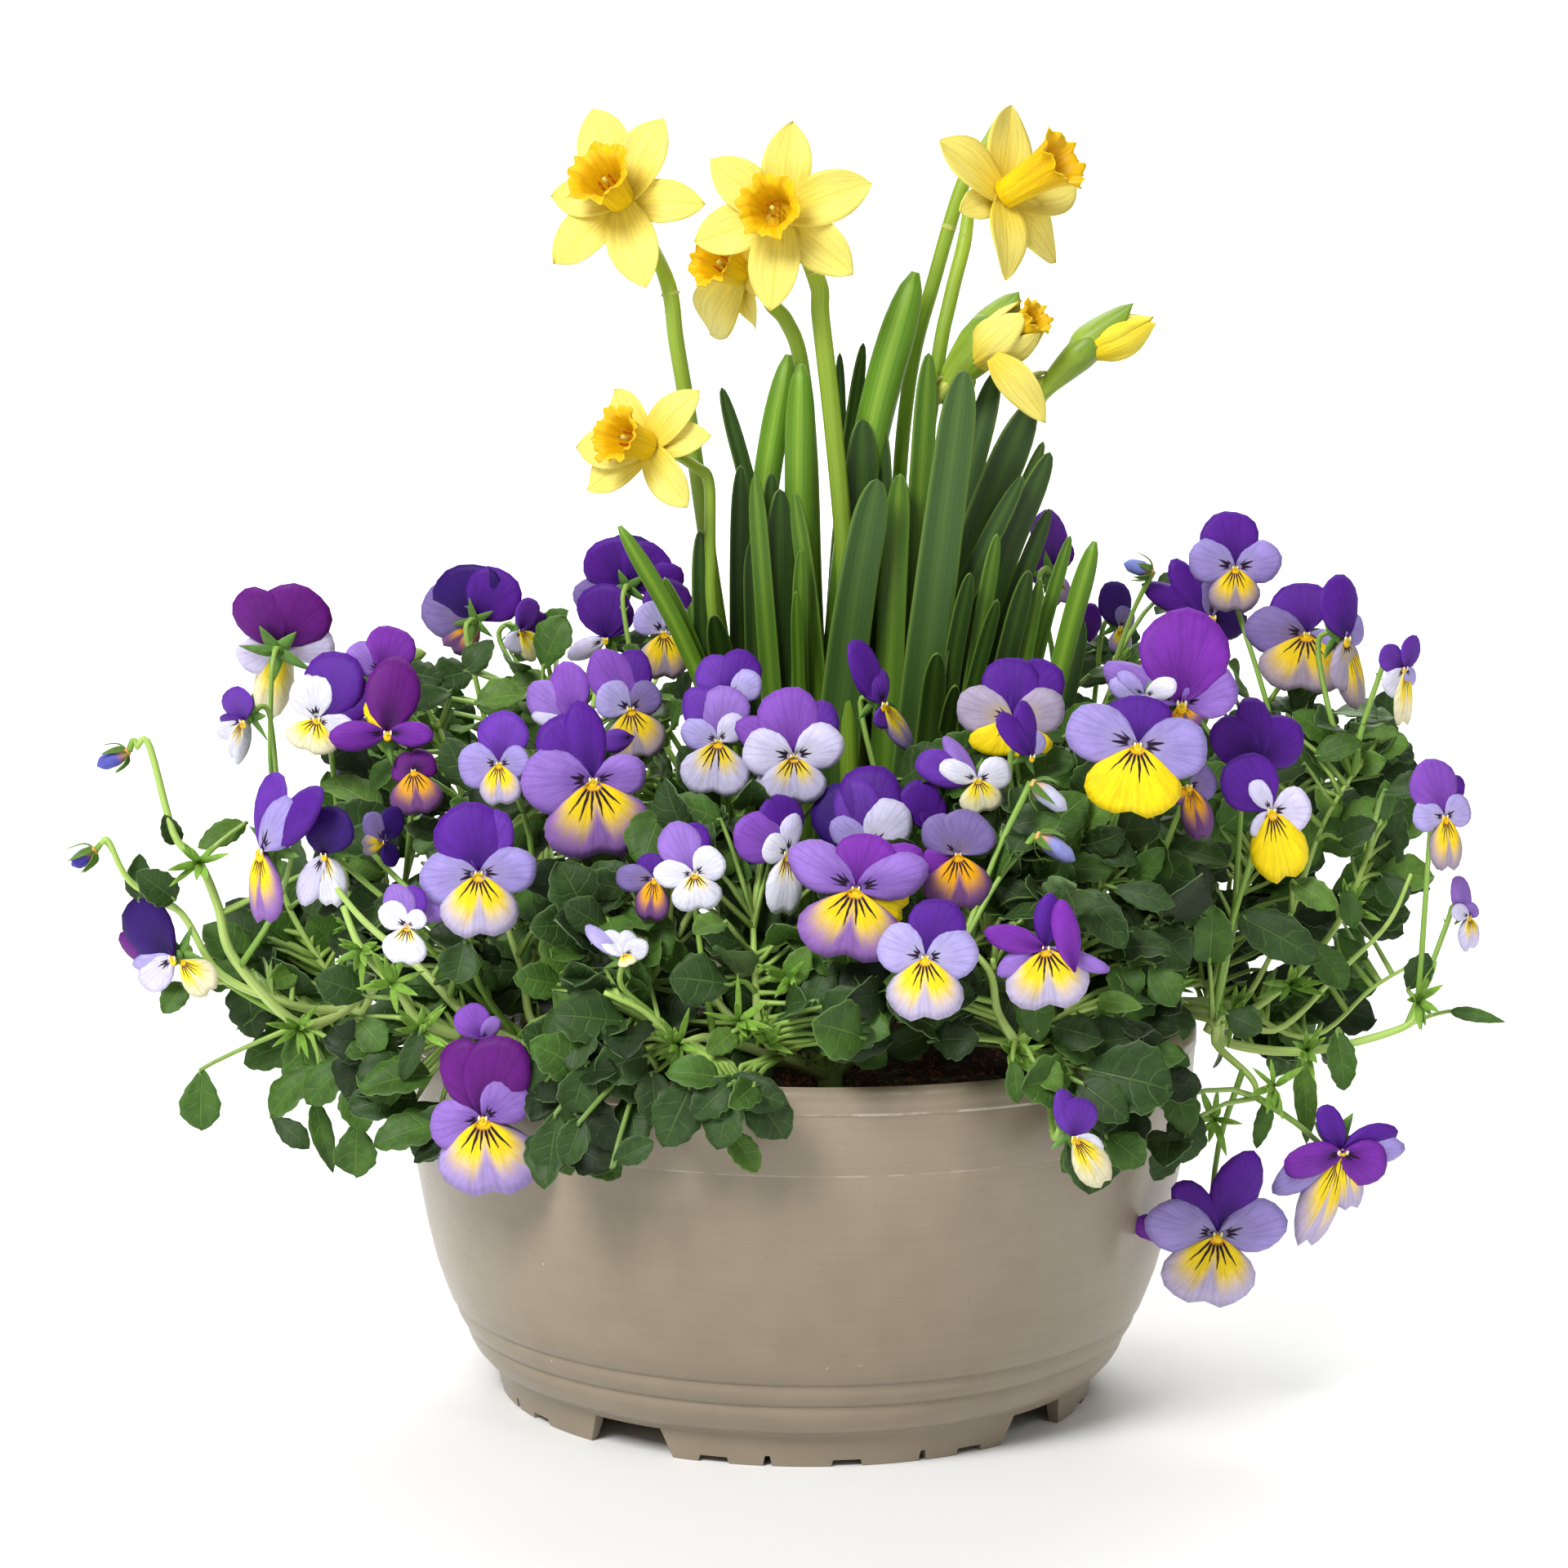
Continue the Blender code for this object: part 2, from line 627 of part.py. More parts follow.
def build_daffodil(garden, flower):
    """Six tepals on their short tube, the trumpet that stands on them, and the stem behind."""
    def frame_at(offset):
        return placed(seen_at(*flower.seen, flower.depth + offset), flower.turn, flower.nod, flower.lean)

    def solids_at(offset):
        frame = frame_at(offset)
        trumpet = cup(frame, GAP_MM + 0.2, 5.0, flower.trumpet, 8.6, 10)
        return [[tepals(frame, flower.reach, 7)], [trumpet]]

    nodes = ["daffodil_" + flower.name + suffix for suffix in ("_petals", "_trumpet")]
    frame = frame_at(set_flower(garden, nodes, solids_at))
    socket = frame @ Vector((0, 0, -(PETAL_MM + 0.6) * MM))
    add_stem(garden, flower.name, socket, -(frame.to_3x3() @ Vector((0, 0, 1))))


def add_stem(garden, name, socket, back):
    """Adds a flower's stem to the clump, and says so where it meets something."""
    solid = flower_stem(FLOWER_STEMS[name], socket, back)
    if not garden.clear("daffodil_clump", solid):
        print("the stem of", name, "meets another node")
    garden.add("daffodil_clump", solid)


def build_half_open_daffodils(garden):
    """The daffodil that is opening and the one still in bud, each with its stem."""
    def opening_at(offset):
        return placed(seen_at(1236, 404, 14 + offset), 58, 8, 0)

    def opening(offset):
        frame = opening_at(offset)
        body = [frame @ (Vector((0, 0, z)) * MM) for z in (-10, -4, 4, 9)]
        hang = frame @ Matrix.Rotation(math.radians(150), 4, "Z")
        outline = [hang @ (Vector((-x * 30, 5 + y * 26, -1 - 14 * y + abs(x) * 5)) * MM)
                   for x, y in ((-0.1, 0), *TEPAL_EDGE, (0.1, 0))]
        facing = (hang.to_3x3() @ Vector((0, 0.4, 0.9))).normalized()
        petal = plate(outline, hang @ (Vector((0, 19, -8)) * MM), facing, PETAL_MM * MM)
        trumpet = cup(frame, 9 + GAP_MM, 6.2, 14, 7.4, 8)
        return [[tube(body, [4 * MM, 8.5 * MM, 9.5 * MM, 7.5 * MM], 7), petal], [trumpet]]

    frame = opening_at(set_flower(garden, ["daffodil_opening_petals", "daffodil_opening_trumpet"], opening))
    back = -(frame.to_3x3() @ Vector((0, 0, 1)))
    add_stem(garden, "opening", frame @ Vector((0, 0, -10 * MM)), back)
    bud = [seen_at(u, v, 20) for u, v in ((1340, 420), (1356, 416), (1384, 406), (1412, 392))]
    garden.add("daffodil_bud_petals", tube(bud, [4.5 * MM, 9 * MM, 8.5 * MM, 2 * MM], 7))
    add_stem(garden, "bud", bud[0], (bud[0] - bud[1]).normalized())


# Pansies


class Bloom(NamedTuple):
    """A pansy bloom: where it is seen, its span, the way it faces and how far its petals fold."""

    seen: tuple
    depth: float
    span: float
    turn: float = 0
    nod: float = 5
    lean: float = 0
    upper: float = 12
    lip: float = 8
    wing: float = 8


BLOOM_GROUPS = {
    "pansy_bloom_01": ("plum", [Bloom((347, 800), 30, 38, 172, 25, 0)]),
    "pansy_bloom_02": ("white", [Bloom((388, 868), -34, 36, -12, 8, 18),
                                 Bloom((468, 880), -18, 46, 12, 30, 6, 14)]),
    "pansy_bloom_03": ("plum", [Bloom((582, 755), 62, 44, 165, 12, -12),
                                Bloom((640, 775), 54, 30, 110, 0, 20)]),
    "pansy_bloom_04": ("plum", [Bloom((772, 705), 88, 48, 172, 16, -8),
                                Bloom((738, 748), 66, 26, 160, 0, 10)]),
    "pansy_bloom_05": ("white", [Bloom((806, 785), 30, 34, 12, 4, 0)]),
    "pansy_bloom_06": ("lilac", [Bloom((340, 1045), -62, 52, -62, 0, 0),
                                 Bloom((405, 1030), -40, 32, 150, -10, 12)]),
    "pansy_bloom_08": ("lilac", [Bloom((583, 1072), -110, 45, 4, 4, 0),
                                 Bloom((495, 1130), -112, 29, -8, 0, -6)]),
    "pansy_bloom_09": ("lilac", [Bloom((728, 972), -84, 52, 6, 4, -14),
                                 Bloom((612, 935), -64, 38, -14, 6, -14)]),
    "pansy_bloom_10": ("yellow", [Bloom((505, 958), -42, 28, 6, 14, 0),
                                  Bloom((470, 1018), -52, 24, 70, 0, 0)]),
    "pansy_bloom_11": ("lilac", [Bloom((770, 872), -34, 42, 4, 4, -6),
                                 Bloom((684, 838), -18, 34, -18, 12, -8)]),
    "pansy_bloom_12": ("white", [Bloom((970, 925), -66, 42, 2, 4, 0), Bloom((877, 915), -52, 40, -6, 2, 0),
                                 Bloom((895, 842), -34, 34, 2, 10, 4)]),
    "pansy_bloom_13": ("violet", [Bloom((288, 885), -4, 30, -75, -20, -30)]),
    "pansy_bloom_14": ("white", [Bloom((955, 1055), -104, 42, 48, 0, -6, 14)]),
    "pansy_bloom_15": ("white", [Bloom((848, 1068), -122, 33, 4, 4, 0),
                                 Bloom((790, 1080), -96, 30, -20, 0, 0)]),
    "pansy_bloom_16": ("white", [Bloom((752, 1162), -142, 26, 10, 58, 0)]),
    "pansy_bloom_17": ("violet", [Bloom((1050, 1000), -74, 44, -4, 4, -4),
                                  Bloom((1130, 1000), -62, 34, 12, 0, 10)]),
    "pansy_bloom_18": ("violet", [Bloom((1050, 1095), -132, 48, -2, 6, 8),
                                  Bloom((1176, 1060), -92, 40, 12, 2, 4)]),
    "pansy_bloom_19": ("lilac", [Bloom((1134, 1182), -152, 40, -4, 4, 12)]),
    "pansy_bloom_20": ("violet", [Bloom((1284, 1170), -146, 42, 6, -8, 4, 30)]),
    "pansy_bloom_21": ("violet", [Bloom((1082, 865), -50, 40, 74, 0, -24, 10)]),
    "pansy_bloom_22": ("white", [Bloom((1192, 952), -92, 34, 12, 8, -18),
                                 Bloom((1250, 905), -82, 30, 84, 0, 6),
                                 Bloom((1240, 868), -66, 42, 0, 4, 0)]),
    "pansy_bloom_24": ("yellow", [Bloom((1393, 930), -96, 48, 0, 8, 0),
                                  Bloom((1378, 858), -78, 28, -30, 0, 0),
                                  Bloom((1450, 820), -62, 48, 4, 8, 8)]),
    "pansy_bloom_26": ("violet", [Bloom((1588, 788), 22, 42, -6, 4, -6),
                                  Bloom((1648, 792), 14, 42, 78, 0, -14),
                                  Bloom((1512, 702), 40, 38, 4, 2, 0),
                                  Bloom((1448, 718), 36, 30, 160, 0, 10)]),
    "pansy_bloom_28": ("white", [Bloom((1712, 832), -4, 34, 76, -10, -10)]),
    "pansy_bloom_29": ("violet", [Bloom((1372, 745), 74, 30, 60, 0, 0)]),
    "pansy_bloom_30": ("plum", [Bloom((1288, 690), 84, 40, 150, 0, -14)]),
    "pansy_bloom_31": ("plum", [Bloom((1566, 1010), -62, 44, 6, 0, -24, 16),
                                Bloom((1540, 905), -46, 38, 20, 14, 8),
                                Bloom((1450, 980), -52, 30, 0, 0, 0)]),
    "pansy_bloom_33": ("lilac", [Bloom((1764, 1008), -44, 38, 26, 2, -4)]),
    "pansy_bloom_34": ("lilac", [Bloom((1793, 1125), -20, 28, 66, -6, -14)]),
    "pansy_bloom_35": ("violet", [Bloom((1482, 1515), -62, 52, 8, -4, 8, 16),
                                  Bloom((1632, 1450), -34, 46, 18, -26, 14, 16)]),
    "pansy_bloom_36": ("lilac", [Bloom((597, 1400), -118, 52, -4, -6, -2, -14),
                                 Bloom((580, 1268), -108, 36, 10, 0, 8)]),
    "pansy_bloom_37": ("plum", [Bloom((200, 1170), -28, 38, -42, -10, -62, 14)]),
    "pansy_bloom_38": ("violet", [Bloom((1330, 1398), -152, 34, 34, -10, -24)]),
}

# Blooms round the back, which the picture does not show: place in millimetres, span, turn and nod
BACK_BLOOMS = {
    "pansy_bloom_39": ("lilac", [((-160, 84, 196), 42, -108, 14), ((-148, 100, 178), 36, -134, -4)]),
    "pansy_bloom_40": ("violet", [((-96, 136, 196), 42, -138, 14), ((-76, 144, 180), 36, -160, -4)]),
    "pansy_bloom_41": ("yellow", [((-16, 158, 198), 42, -166, 12), ((6, 160, 182), 36, 168, -4)]),
    "pansy_bloom_42": ("lilac", [((74, 146, 200), 42, 146, 12), ((94, 138, 182), 36, 162, -4)]),
    "pansy_bloom_43": ("violet", [((158, 88, 196), 42, 110, 12), ((142, 106, 180), 36, 134, -4)]),
}
BACK_PAIR_OFFSET = 0.55

# Half of a bloom's edge, from the notch between its upper petals round to the notch of its lip
UPPER_EDGE = ((8, 21), (18, 15))
WING_EDGE = ((20, 4.5), (17.5, -8))
LIP_EDGE = ((12, -12.5), (8, -20))
TOP_NOTCH = 14
SIDE_NOTCH = (10, 3.4)
LOW_NOTCH = (7.5, -6.2)
LIP_NOTCH = -18
HINGE_MM = 3


def bent(distance, degrees):
    """How far out and how far forward a petal's point lies once the petal bends at its hinge."""
    beyond = max(0, abs(distance) - HINGE_MM)
    out = math.copysign(min(abs(distance), HINGE_MM) + beyond * math.cos(math.radians(degrees)), distance)
    return out, beyond * math.sin(math.radians(degrees))


def bloom_solid(frame, bloom):
    """Five petals in one closed sheet: two upper ones behind, one each side, and the broad lip in front."""
    scale = bloom.span / BLOOM_SPAN_MM
    facing = frame.to_3x3() @ Vector((0, 0, 1))

    def at(x, y, z):
        return frame @ (Vector((x, y, z)) * (scale * MM))

    def upper(x, y):
        out, forward = bent(y, bloom.upper)
        return at(x, out, -0.8 - forward)

    def wing(x, y):
        out, forward = bent(x, bloom.wing)
        return at(out, y, 0.4 + forward)

    def lip(x, y):
        out, forward = bent(y, bloom.lip)
        return at(x, out, 0.8 + forward - abs(x) * 0.1)

    right = [upper(x, y) for x, y in UPPER_EDGE] + [at(*SIDE_NOTCH, 0)] + [wing(x, y) for x, y in WING_EDGE]
    right += [at(*LOW_NOTCH, 0)] + [lip(x, y) for x, y in LIP_EDGE]
    left = [upper(-x, y) for x, y in UPPER_EDGE] + [at(-SIDE_NOTCH[0], SIDE_NOTCH[1], 0)]
    left += [wing(-x, y) for x, y in WING_EDGE] + [at(-LOW_NOTCH[0], LOW_NOTCH[1], 0)]
    left += [lip(-x, y) for x, y in LIP_EDGE]
    clockwise = [upper(0, TOP_NOTCH), *right, lip(0, LIP_NOTCH), *reversed(left)]
    return plate(list(reversed(clockwise)), at(0, 0, 0), facing, PETAL_MM * MM)


# The room kept free behind each bloom until its stalk is grown
STALK_ROOM = "room for stalks"
STALK_ROOM_MM = 7
LEAST_CROSSINGS = 6


class Stalk(NamedTuple):
    """Where a bloom's stalk starts and which way it leaves the bloom."""

    start: Vector
    back: Vector


def depth_steps(count, step):
    """Offsets in depth to try in turn: none, then further and further both ways."""
    return [0] + [sign * step * k for k in range(1, count) for sign in (1, -1)]


def place_bloom(garden, node, bloom, point_at):
    """Puts a bloom at a depth that is clear of other nodes and, in a group, crosses its own node a little."""
    best = None
    for offset in depth_steps(16, 2):
        frame = placed(point_at(offset), bloom.turn, bloom.nod, bloom.lean)
        solid = bloom_solid(frame, bloom)
        back = -(frame.to_3x3() @ Vector((0, 0, 1)))
        start = frame @ Vector((0, 0, -(PETAL_MM + GAP_MM + 0.1) * MM))
        room = tube([start + back * (0.3 * MM), start + back * (STALK_ROOM_MM * MM)], [1.2 * MM, 1.2 * MM])
        if not (garden.clear(node, solid) and garden.clear(node, room, True)):
            continue
        if node not in garden.solids:
            best = (0, solid, room, Stalk(start, back))
            break
        crossed = garden.crossings(node, solid)
        cost = crossed + abs(offset) / 4
        if crossed >= LEAST_CROSSINGS and (best is None or cost < best[0]):
            best = (cost, solid, room, Stalk(start, back))
    if best is None:
        print("bloom", node, bloom.seen, "has no clear place")
        return None
    garden.add(node, best[1])
    garden.add(STALK_ROOM, best[2])
    return best[3]


def place_blooms(garden):
    """Every bloom, front ones first, then those round the back; returns where their stalks start."""
    stalks = []
    for node, (_, blooms) in BLOOM_GROUPS.items():
        for bloom in blooms:
            stalks.append(place_bloom(garden, node, bloom,
                                      lambda step, b=bloom: seen_at(*b.seen, b.depth + step)))
    for node, (_, blooms) in BACK_BLOOMS.items():
        for spot, span, turn, nod in blooms:
            middle = Vector(spot) * MM
            outward = Vector((middle.x, middle.y, 0)).normalized()
            bloom = Bloom((0, 0), 0, span, turn, nod)
            stalks.append(place_bloom(garden, node, bloom,
                                      lambda step, m=middle, o=outward: m + o * (step * MM * BACK_PAIR_OFFSET)))
    return [stalk for stalk in stalks if stalk]


class Shoot(NamedTuple):
    """A leafy shoot of one pansy: its route in the picture, outwards from the crown, each point with a depth."""

    plant: str
    width: float
    route: tuple


SHOOTS = [
    Shoot("left", 4.4, ((412, 1243, 0), (360, 1251, -12), (286, 1173, -22), (267, 1110, -26),
                        (244, 1056, -30),
                        (213, 1021, -32), (182, 911, -34), (166, 916, -34))),
    Shoot("left", 3.6, ((412, 1236, 4), (340, 1225, -10), (267, 1190, -18), (221, 1117, -24),
                        (160, 1080, -30),
                        (133, 1030, -34), (124, 1032, -34))),
    Shoot("left", 3.4, ((440, 1240, 10), (400, 1190, 14), (347, 1094, 20), (340, 1000, 26))),
    Shoot("front_left", 4.4, ((560, 1268, -92), (511, 1247, -96), (488, 1213, -96), (443, 1163, -90),
                              (420, 1110, -84))),
    Shoot("front_left", 3.6, ((600, 1262, -92), (515, 1186, -84), (443, 1125, -74), (392, 1060, -60))),
    Shoot("front_left", 3.4, ((660, 1262, -84), (640, 1190, -80), (618, 1120, -72), (604, 1020, -58))),
    Shoot("front", 3.6, ((938, 1276, -118), (925, 1200, -116), (922, 1120, -104))),
    Shoot("front", 3.4, ((880, 1272, -118), (831, 1276, -128), (790, 1240, -134), (740, 1215, -138))),
    Shoot("front", 3.4, ((900, 1250, -96), (850, 1180, -92), (800, 1120, -72))),
    Shoot("front_right", 3.8, ((1248, 1282, -120), (1222, 1240, -126), (1212, 1190, -126),
                               (1176, 1150, -118))),
    Shoot("front_right", 3.6, ((1300, 1262, -96), (1318, 1180, -84), (1350, 1090, -70))),
    Shoot("right", 4.4, ((1500, 1275, -30), (1600, 1287, -30), (1716, 1259, -30), (1738, 1230, -30))),
    Shoot("right", 3.8, ((1480, 1262, -20), (1540, 1232, -22), (1601, 1180, -20), (1650, 1110, -14),
                         (1680, 1030, -8))),
    Shoot("right", 3.4, ((1470, 1240, 0), (1500, 1160, -10), (1530, 1060, -8), (1580, 960, 6))),
    Shoot("right", 3.6, ((1490, 1280, -44), (1532, 1320, -52), (1540, 1346, -54))),
    Shoot("back", 3.6, ((930, 1190, 110), (860, 1060, 130), (800, 960, 120))),
    Shoot("back", 3.6, ((1150, 1190, 110), (1260, 1060, 128), (1330, 960, 112))),
    Shoot("back", 3.6, ((1010, 1190, 130), (1010, 1080, 150))),
]


class Leaf(NamedTuple):
    """A leaf by the foot and the tip of its blade in the picture, its depth and its width."""

    plant: str
    foot: tuple
    tip: tuple
    depth: float
    width: float
    tip_nearer: float = 6


LEAVES = [
    Leaf("left", (248, 1308), (245, 1385), -20, 14.5, 2),
    Leaf("left", (226, 1203), (200, 1241), -22, 9.5),
    Leaf("left", (215, 1102), (168, 1068), -26, 12),
    Leaf("left", (366, 1259), (383, 1347), -14, 16, 2),
    Leaf("left", (366, 1163), (305, 1117), 24, 16),
    Leaf("left", (421, 1167), (377, 1125), 22, 14),
    Leaf("front_left", (450, 1220), (387, 1197), -96, 13.5),
    Leaf("front_left", (437, 1247), (471, 1285), -92, 12),
    Leaf("front_left", (458, 1285), (466, 1340), -72, 15, 2),
    Leaf("front_left", (437, 1373), (435, 1442), -66, 15, 2),
    Leaf("front_left", (423, 1331), (450, 1385), -74, 11, 2),
    Leaf("front_left", (570, 1151), (558, 1203), -112, 14),
    Leaf("front_left", (692, 1190), (700, 1240), -104, 12),
    Leaf("front_left", (686, 1206), (629, 1196), -112, 12),
    Leaf("front_left", (770, 1252), (677, 1242), -132, 17.5),
    Leaf("front_left", (793, 1292), (730, 1312), -138, 15.5),
    Leaf("front_left", (692, 1285), (640, 1262), -116, 13),
    Leaf("front_left", (720, 1300), (700, 1364), -140, 13, 2),
    Leaf("front_left", (682, 1360), (672, 1438), -146, 14.5, 2),
    Leaf("front_left", (712, 1370), (692, 1428), -150, 10, 2),
    Leaf("front_left", (655, 1290), (650, 1350), -128, 12, 2),
    Leaf("front", (895, 1206), (820, 1196), -128, 17.5),
    Leaf("front", (918, 1160), (856, 1136), -112, 10),
    Leaf("front", (840, 1180), (790, 1160), -104, 11),
    Leaf("front", (848, 1325), (812, 1405), -152, 16.5, 2),
    Leaf("front", (908, 1319), (962, 1395), -148, 15, 2),
    Leaf("front", (1000, 1225), (1014, 1275), -124, 12),
    Leaf("front", (1033, 1263), (1085, 1304), -110, 13),
    Leaf("front", (1031, 1246), (1091, 1222), -112, 12),
    Leaf("front_right", (1147, 1263), (1085, 1287), -100, 12.5),
    Leaf("front_right", (1284, 1256), (1350, 1273), -126, 12.5),
    Leaf("front_right", (1312, 1284), (1400, 1267), -118, 17),
    Leaf("front_right", (1326, 1308), (1436, 1335), -124, 24),
    Leaf("front_right", (1322, 1325), (1382, 1372), -136, 14),
    Leaf("front_right", (1265, 1298), (1300, 1335), -136, 10),
    Leaf("front_right", (1450, 1377), (1412, 1446), -104, 10, 2),
    Leaf("front_right", (1353, 1390), (1401, 1425), -136, 13),
    Leaf("front_right", (1322, 1093), (1379, 1160), -104, 12.5),
    Leaf("front_right", (1360, 1086), (1439, 1108), -92, 10),
    Leaf("front_right", (1370, 1180), (1388, 1225), -96, 12.5),
    Leaf("front_right", (1410, 1180), (1440, 1232), -96, 12.5),
    Leaf("right", (1481, 1180), (1485, 1109), -66, 15),
    Leaf("right", (1516, 1121), (1615, 1176), -50, 16),
    Leaf("right", (1582, 1079), (1637, 1113), -52, 10),
    Leaf("right", (1639, 1028), (1686, 1008), -14, 11),
    Leaf("right", (1601, 892), (1645, 951), 14, 13),
    Leaf("right", (1690, 1070), (1716, 1110), -6, 13),
    Leaf("right", (1724, 1212), (1748, 1168), -28, 10),
    Leaf("right", (1775, 1238), (1843, 1251), -8, 5),
    Leaf("right", (1637, 1263), (1647, 1336), -34, 10, 2),
    Leaf("right", (1600, 1150), (1650, 1210), -30, 11),
    Leaf("right", (1500, 1240), (1545, 1262), -56, 12),
]


class Bud(NamedTuple):
    """A closed bud by its base and its tip in the picture, its depth and its width."""

    plant: str
    base: tuple
    tip: tuple
    depth: float
    width: float


BUDS = [
    Bud("left", (158, 920), (119, 938), -34, 7.5),
    Bud("left", (118, 1040), (86, 1062), -34, 7.5),
    Bud("front_right", (1262, 958), (1306, 992), -108, 8),
    Bud("front_right", (1268, 1022), (1316, 1054), -110, 8),
    Bud("right", (1412, 700), (1376, 690), 34, 7),
    Bud("left", (478, 806), (522, 800), 40, 7),
]

# Leaves round the back and sides: the plant, how many, and the span of angles they fill
ROOT_SHARES = (0.1, 0.35, 0.6, 0.85)
ROOT_REACH_MM = 4
BACK_LEAVES = (("back", 9, 48, 134), ("left", 4, 140, 176), ("right", 3, 4, 42))
LEAF_SEED = 7
LEAF_STATIONS = ((0.0, 0.10), (0.28, 0.92), (0.68, 0.94), (1.0, 0.05))
LEAF_KEEL_MM = 1.3
LEAF_ARCH = 0.07
PETIOLE_MM = 0.85


def over_the_lip(a, b):
    """The points of a way from a to b, led over the bowl's lip where b hangs outside it."""
    def radius(p):
        return math.hypot(p.x, p.y)

    lip = (RIM_RADIUS_MM + 4) * MM
    if radius(a) > lip or radius(b) < lip or b.z > (RIM_HEIGHT_MM + 12) * MM:
        return [a, b]
    outward = Vector((b.x, b.y, 0)).normalized()
    return [a, outward * lip + UP * ((RIM_HEIGHT_MM + 6) * MM), b]


def grow_shoots(garden):
    """The crowns and the leafy shoots; returns points along each plant that stalks and leaves can root on."""
    roots = {name: [] for name in crown_places()}
    for name, place in crown_places().items():
        node = "pansy_leaves_" + name
        heights = (SOIL_EDGE_MM - CROWN_DEPTH_MM + GAP_MM, SOIL_EDGE_MM - 2, CROWN_TOP_MM)
        axis = [place + UP * (h * MM) for h in heights]
        garden.add(node, tube(axis, [CROWN_RADIUS_MM * MM] * 2 + [3.2 * MM], 6))
        roots[name].append(axis[-1] - UP * 2 * MM)
    for shoot in SHOOTS:
        node = "pansy_leaves_" + shoot.plant
        start = crown_places()[shoot.plant] + UP * ((CROWN_TOP_MM - 4) * MM)
        for offset in depth_steps(9, 4):
            route = [seen_at(u, v, d + offset) for u, v, d in shoot.route]
            path = [*over_the_lip(start, route[0]), *route[1:]]
            radii = [shoot.width / 2 * MM * (1 - 0.55 * i / (len(path) - 1)) for i in range(len(path))]
            solid = tube(path, radii, 3)
            if garden.clear(node, solid):
                garden.add(node, solid)
                roots[shoot.plant] += [a.lerp(b, t) for a, b in zip(path, path[1:]) for t in ROOT_SHARES]
                break
        else:
            print("shoot", shoot.plant, shoot.route[-1], "has no clear way")
    return roots


def nearest_roots(roots, target, count):
    """The root points nearest to a target, with those below it preferred, as (plant, point)."""
    found = []
    for plant, points in roots.items():
        for point in points:
            away = (target - point).length
            climb = max(0, point.z - target.z) * 1.5
            found.append((away + climb, plant, point))
    found.sort(key=lambda item: item[0])
    return [(plant, point) for _, plant, point in found[:count]]


def stalk_solid(stalk, root, reach, sway):
    """A bloom's stalk: straight back, then over and down to its root; and the same short of the root."""
    bend = stalk.start + stalk.back * (reach * MM)
    middle = (bend + root) / 2 + sway
    short = root + (middle - root).normalized() * (ROOT_REACH_MM * MM)
    radius = STALK_RADIUS_MM * MM
    radii = [1.3 * radius, radius, radius, 0.9 * radius]
    return [tube([stalk.start, bend, middle, end], radii, 3) for end in (root, short)]


def grow_stalks(garden, roots, stalks):
    """A stalk from each bloom back and down to a shoot near it, by the first clear way."""
    draw = random.Random(LEAF_SEED)
    for stalk in stalks:
        near = nearest_roots(roots, stalk.start + stalk.back * 20 * MM, 90)
        for attempt, (plant, root) in enumerate(near * 4):
            node = "pansy_leaves_" + plant
            sway = Vector((draw.uniform(-1, 1), draw.uniform(-1, 1), draw.uniform(-0.3, 0.6)))
            solid, short = stalk_solid(stalk, root, 6 + draw.random() * 8, sway * ((2 + attempt * 0.2) * MM))
            if garden.clear(node, solid) and garden.clear(node, short, True):
                garden.add(node, solid)
                roots[plant].remove(root)
                break
        else:
            print("stalk at", [round(c / MM) for c in stalk.start], "has no clear way")


def bud_solid(way, tip, width):
    """A closed bud with its stalk, from its root by the given way to the bud's base, then to its tip."""
    path = [*way, way[-1].lerp(tip, 0.45), tip]
    radii = [STALK_RADIUS_MM * MM] * len(way) + [width / 2 * MM, 0.5 * MM]
    return tube(path, radii, 4)


def grow_buds(garden, roots):
    """The closed buds, each on the first root from which it is clear."""
    for bud in BUDS:
        node = "pansy_leaves_" + bud.plant
        for offset in depth_steps(9, 3):
            base, tip = (seen_at(*spot, bud.depth + offset) for spot in (bud.base, bud.tip))
            for _, root in nearest_roots({bud.plant: roots[bud.plant]}, base, 24):
                near = root + (base - root).normalized() * (ROOT_REACH_MM * MM)
                solid = bud_solid([root, base], tip, bud.width)
                short = bud_solid([near, base], tip, bud.width)
                if garden.clear(node, solid) and garden.clear(node, short, True):
                    break
            else:
                continue
            garden.add(node, solid)
            roots[bud.plant].remove(root)
            break
        else:
            print("bud", bud.base, "has no clear place")


def leaf_solid(way, tip, width, facing):
    """A leaf with its stalk in one blade: from its root by the given way to the blade's foot, then its tip."""
    foot = way[-1]
    along = tip - foot
    lift = (facing - along.normalized() * facing.dot(along.normalized())).normalized() * along.length
    path = way[:-1]
    widths = [PETIOLE_MM * MM] * len(path)
    depths = [PETIOLE_MM * MM * 1.6] * len(path)
    for share, part in LEAF_STATIONS:
        path.append(foot + along * share + lift * (LEAF_ARCH * 4 * share * (1 - share)))
        widths.append(max(PETIOLE_MM, part * width / 2) * MM)
        depths.append(LEAF_KEEL_MM * MM)
    widths[-1] = 0.4 * MM
    depths[-1] = 0.5 * MM
    return keeled(path, widths, depths, facing)


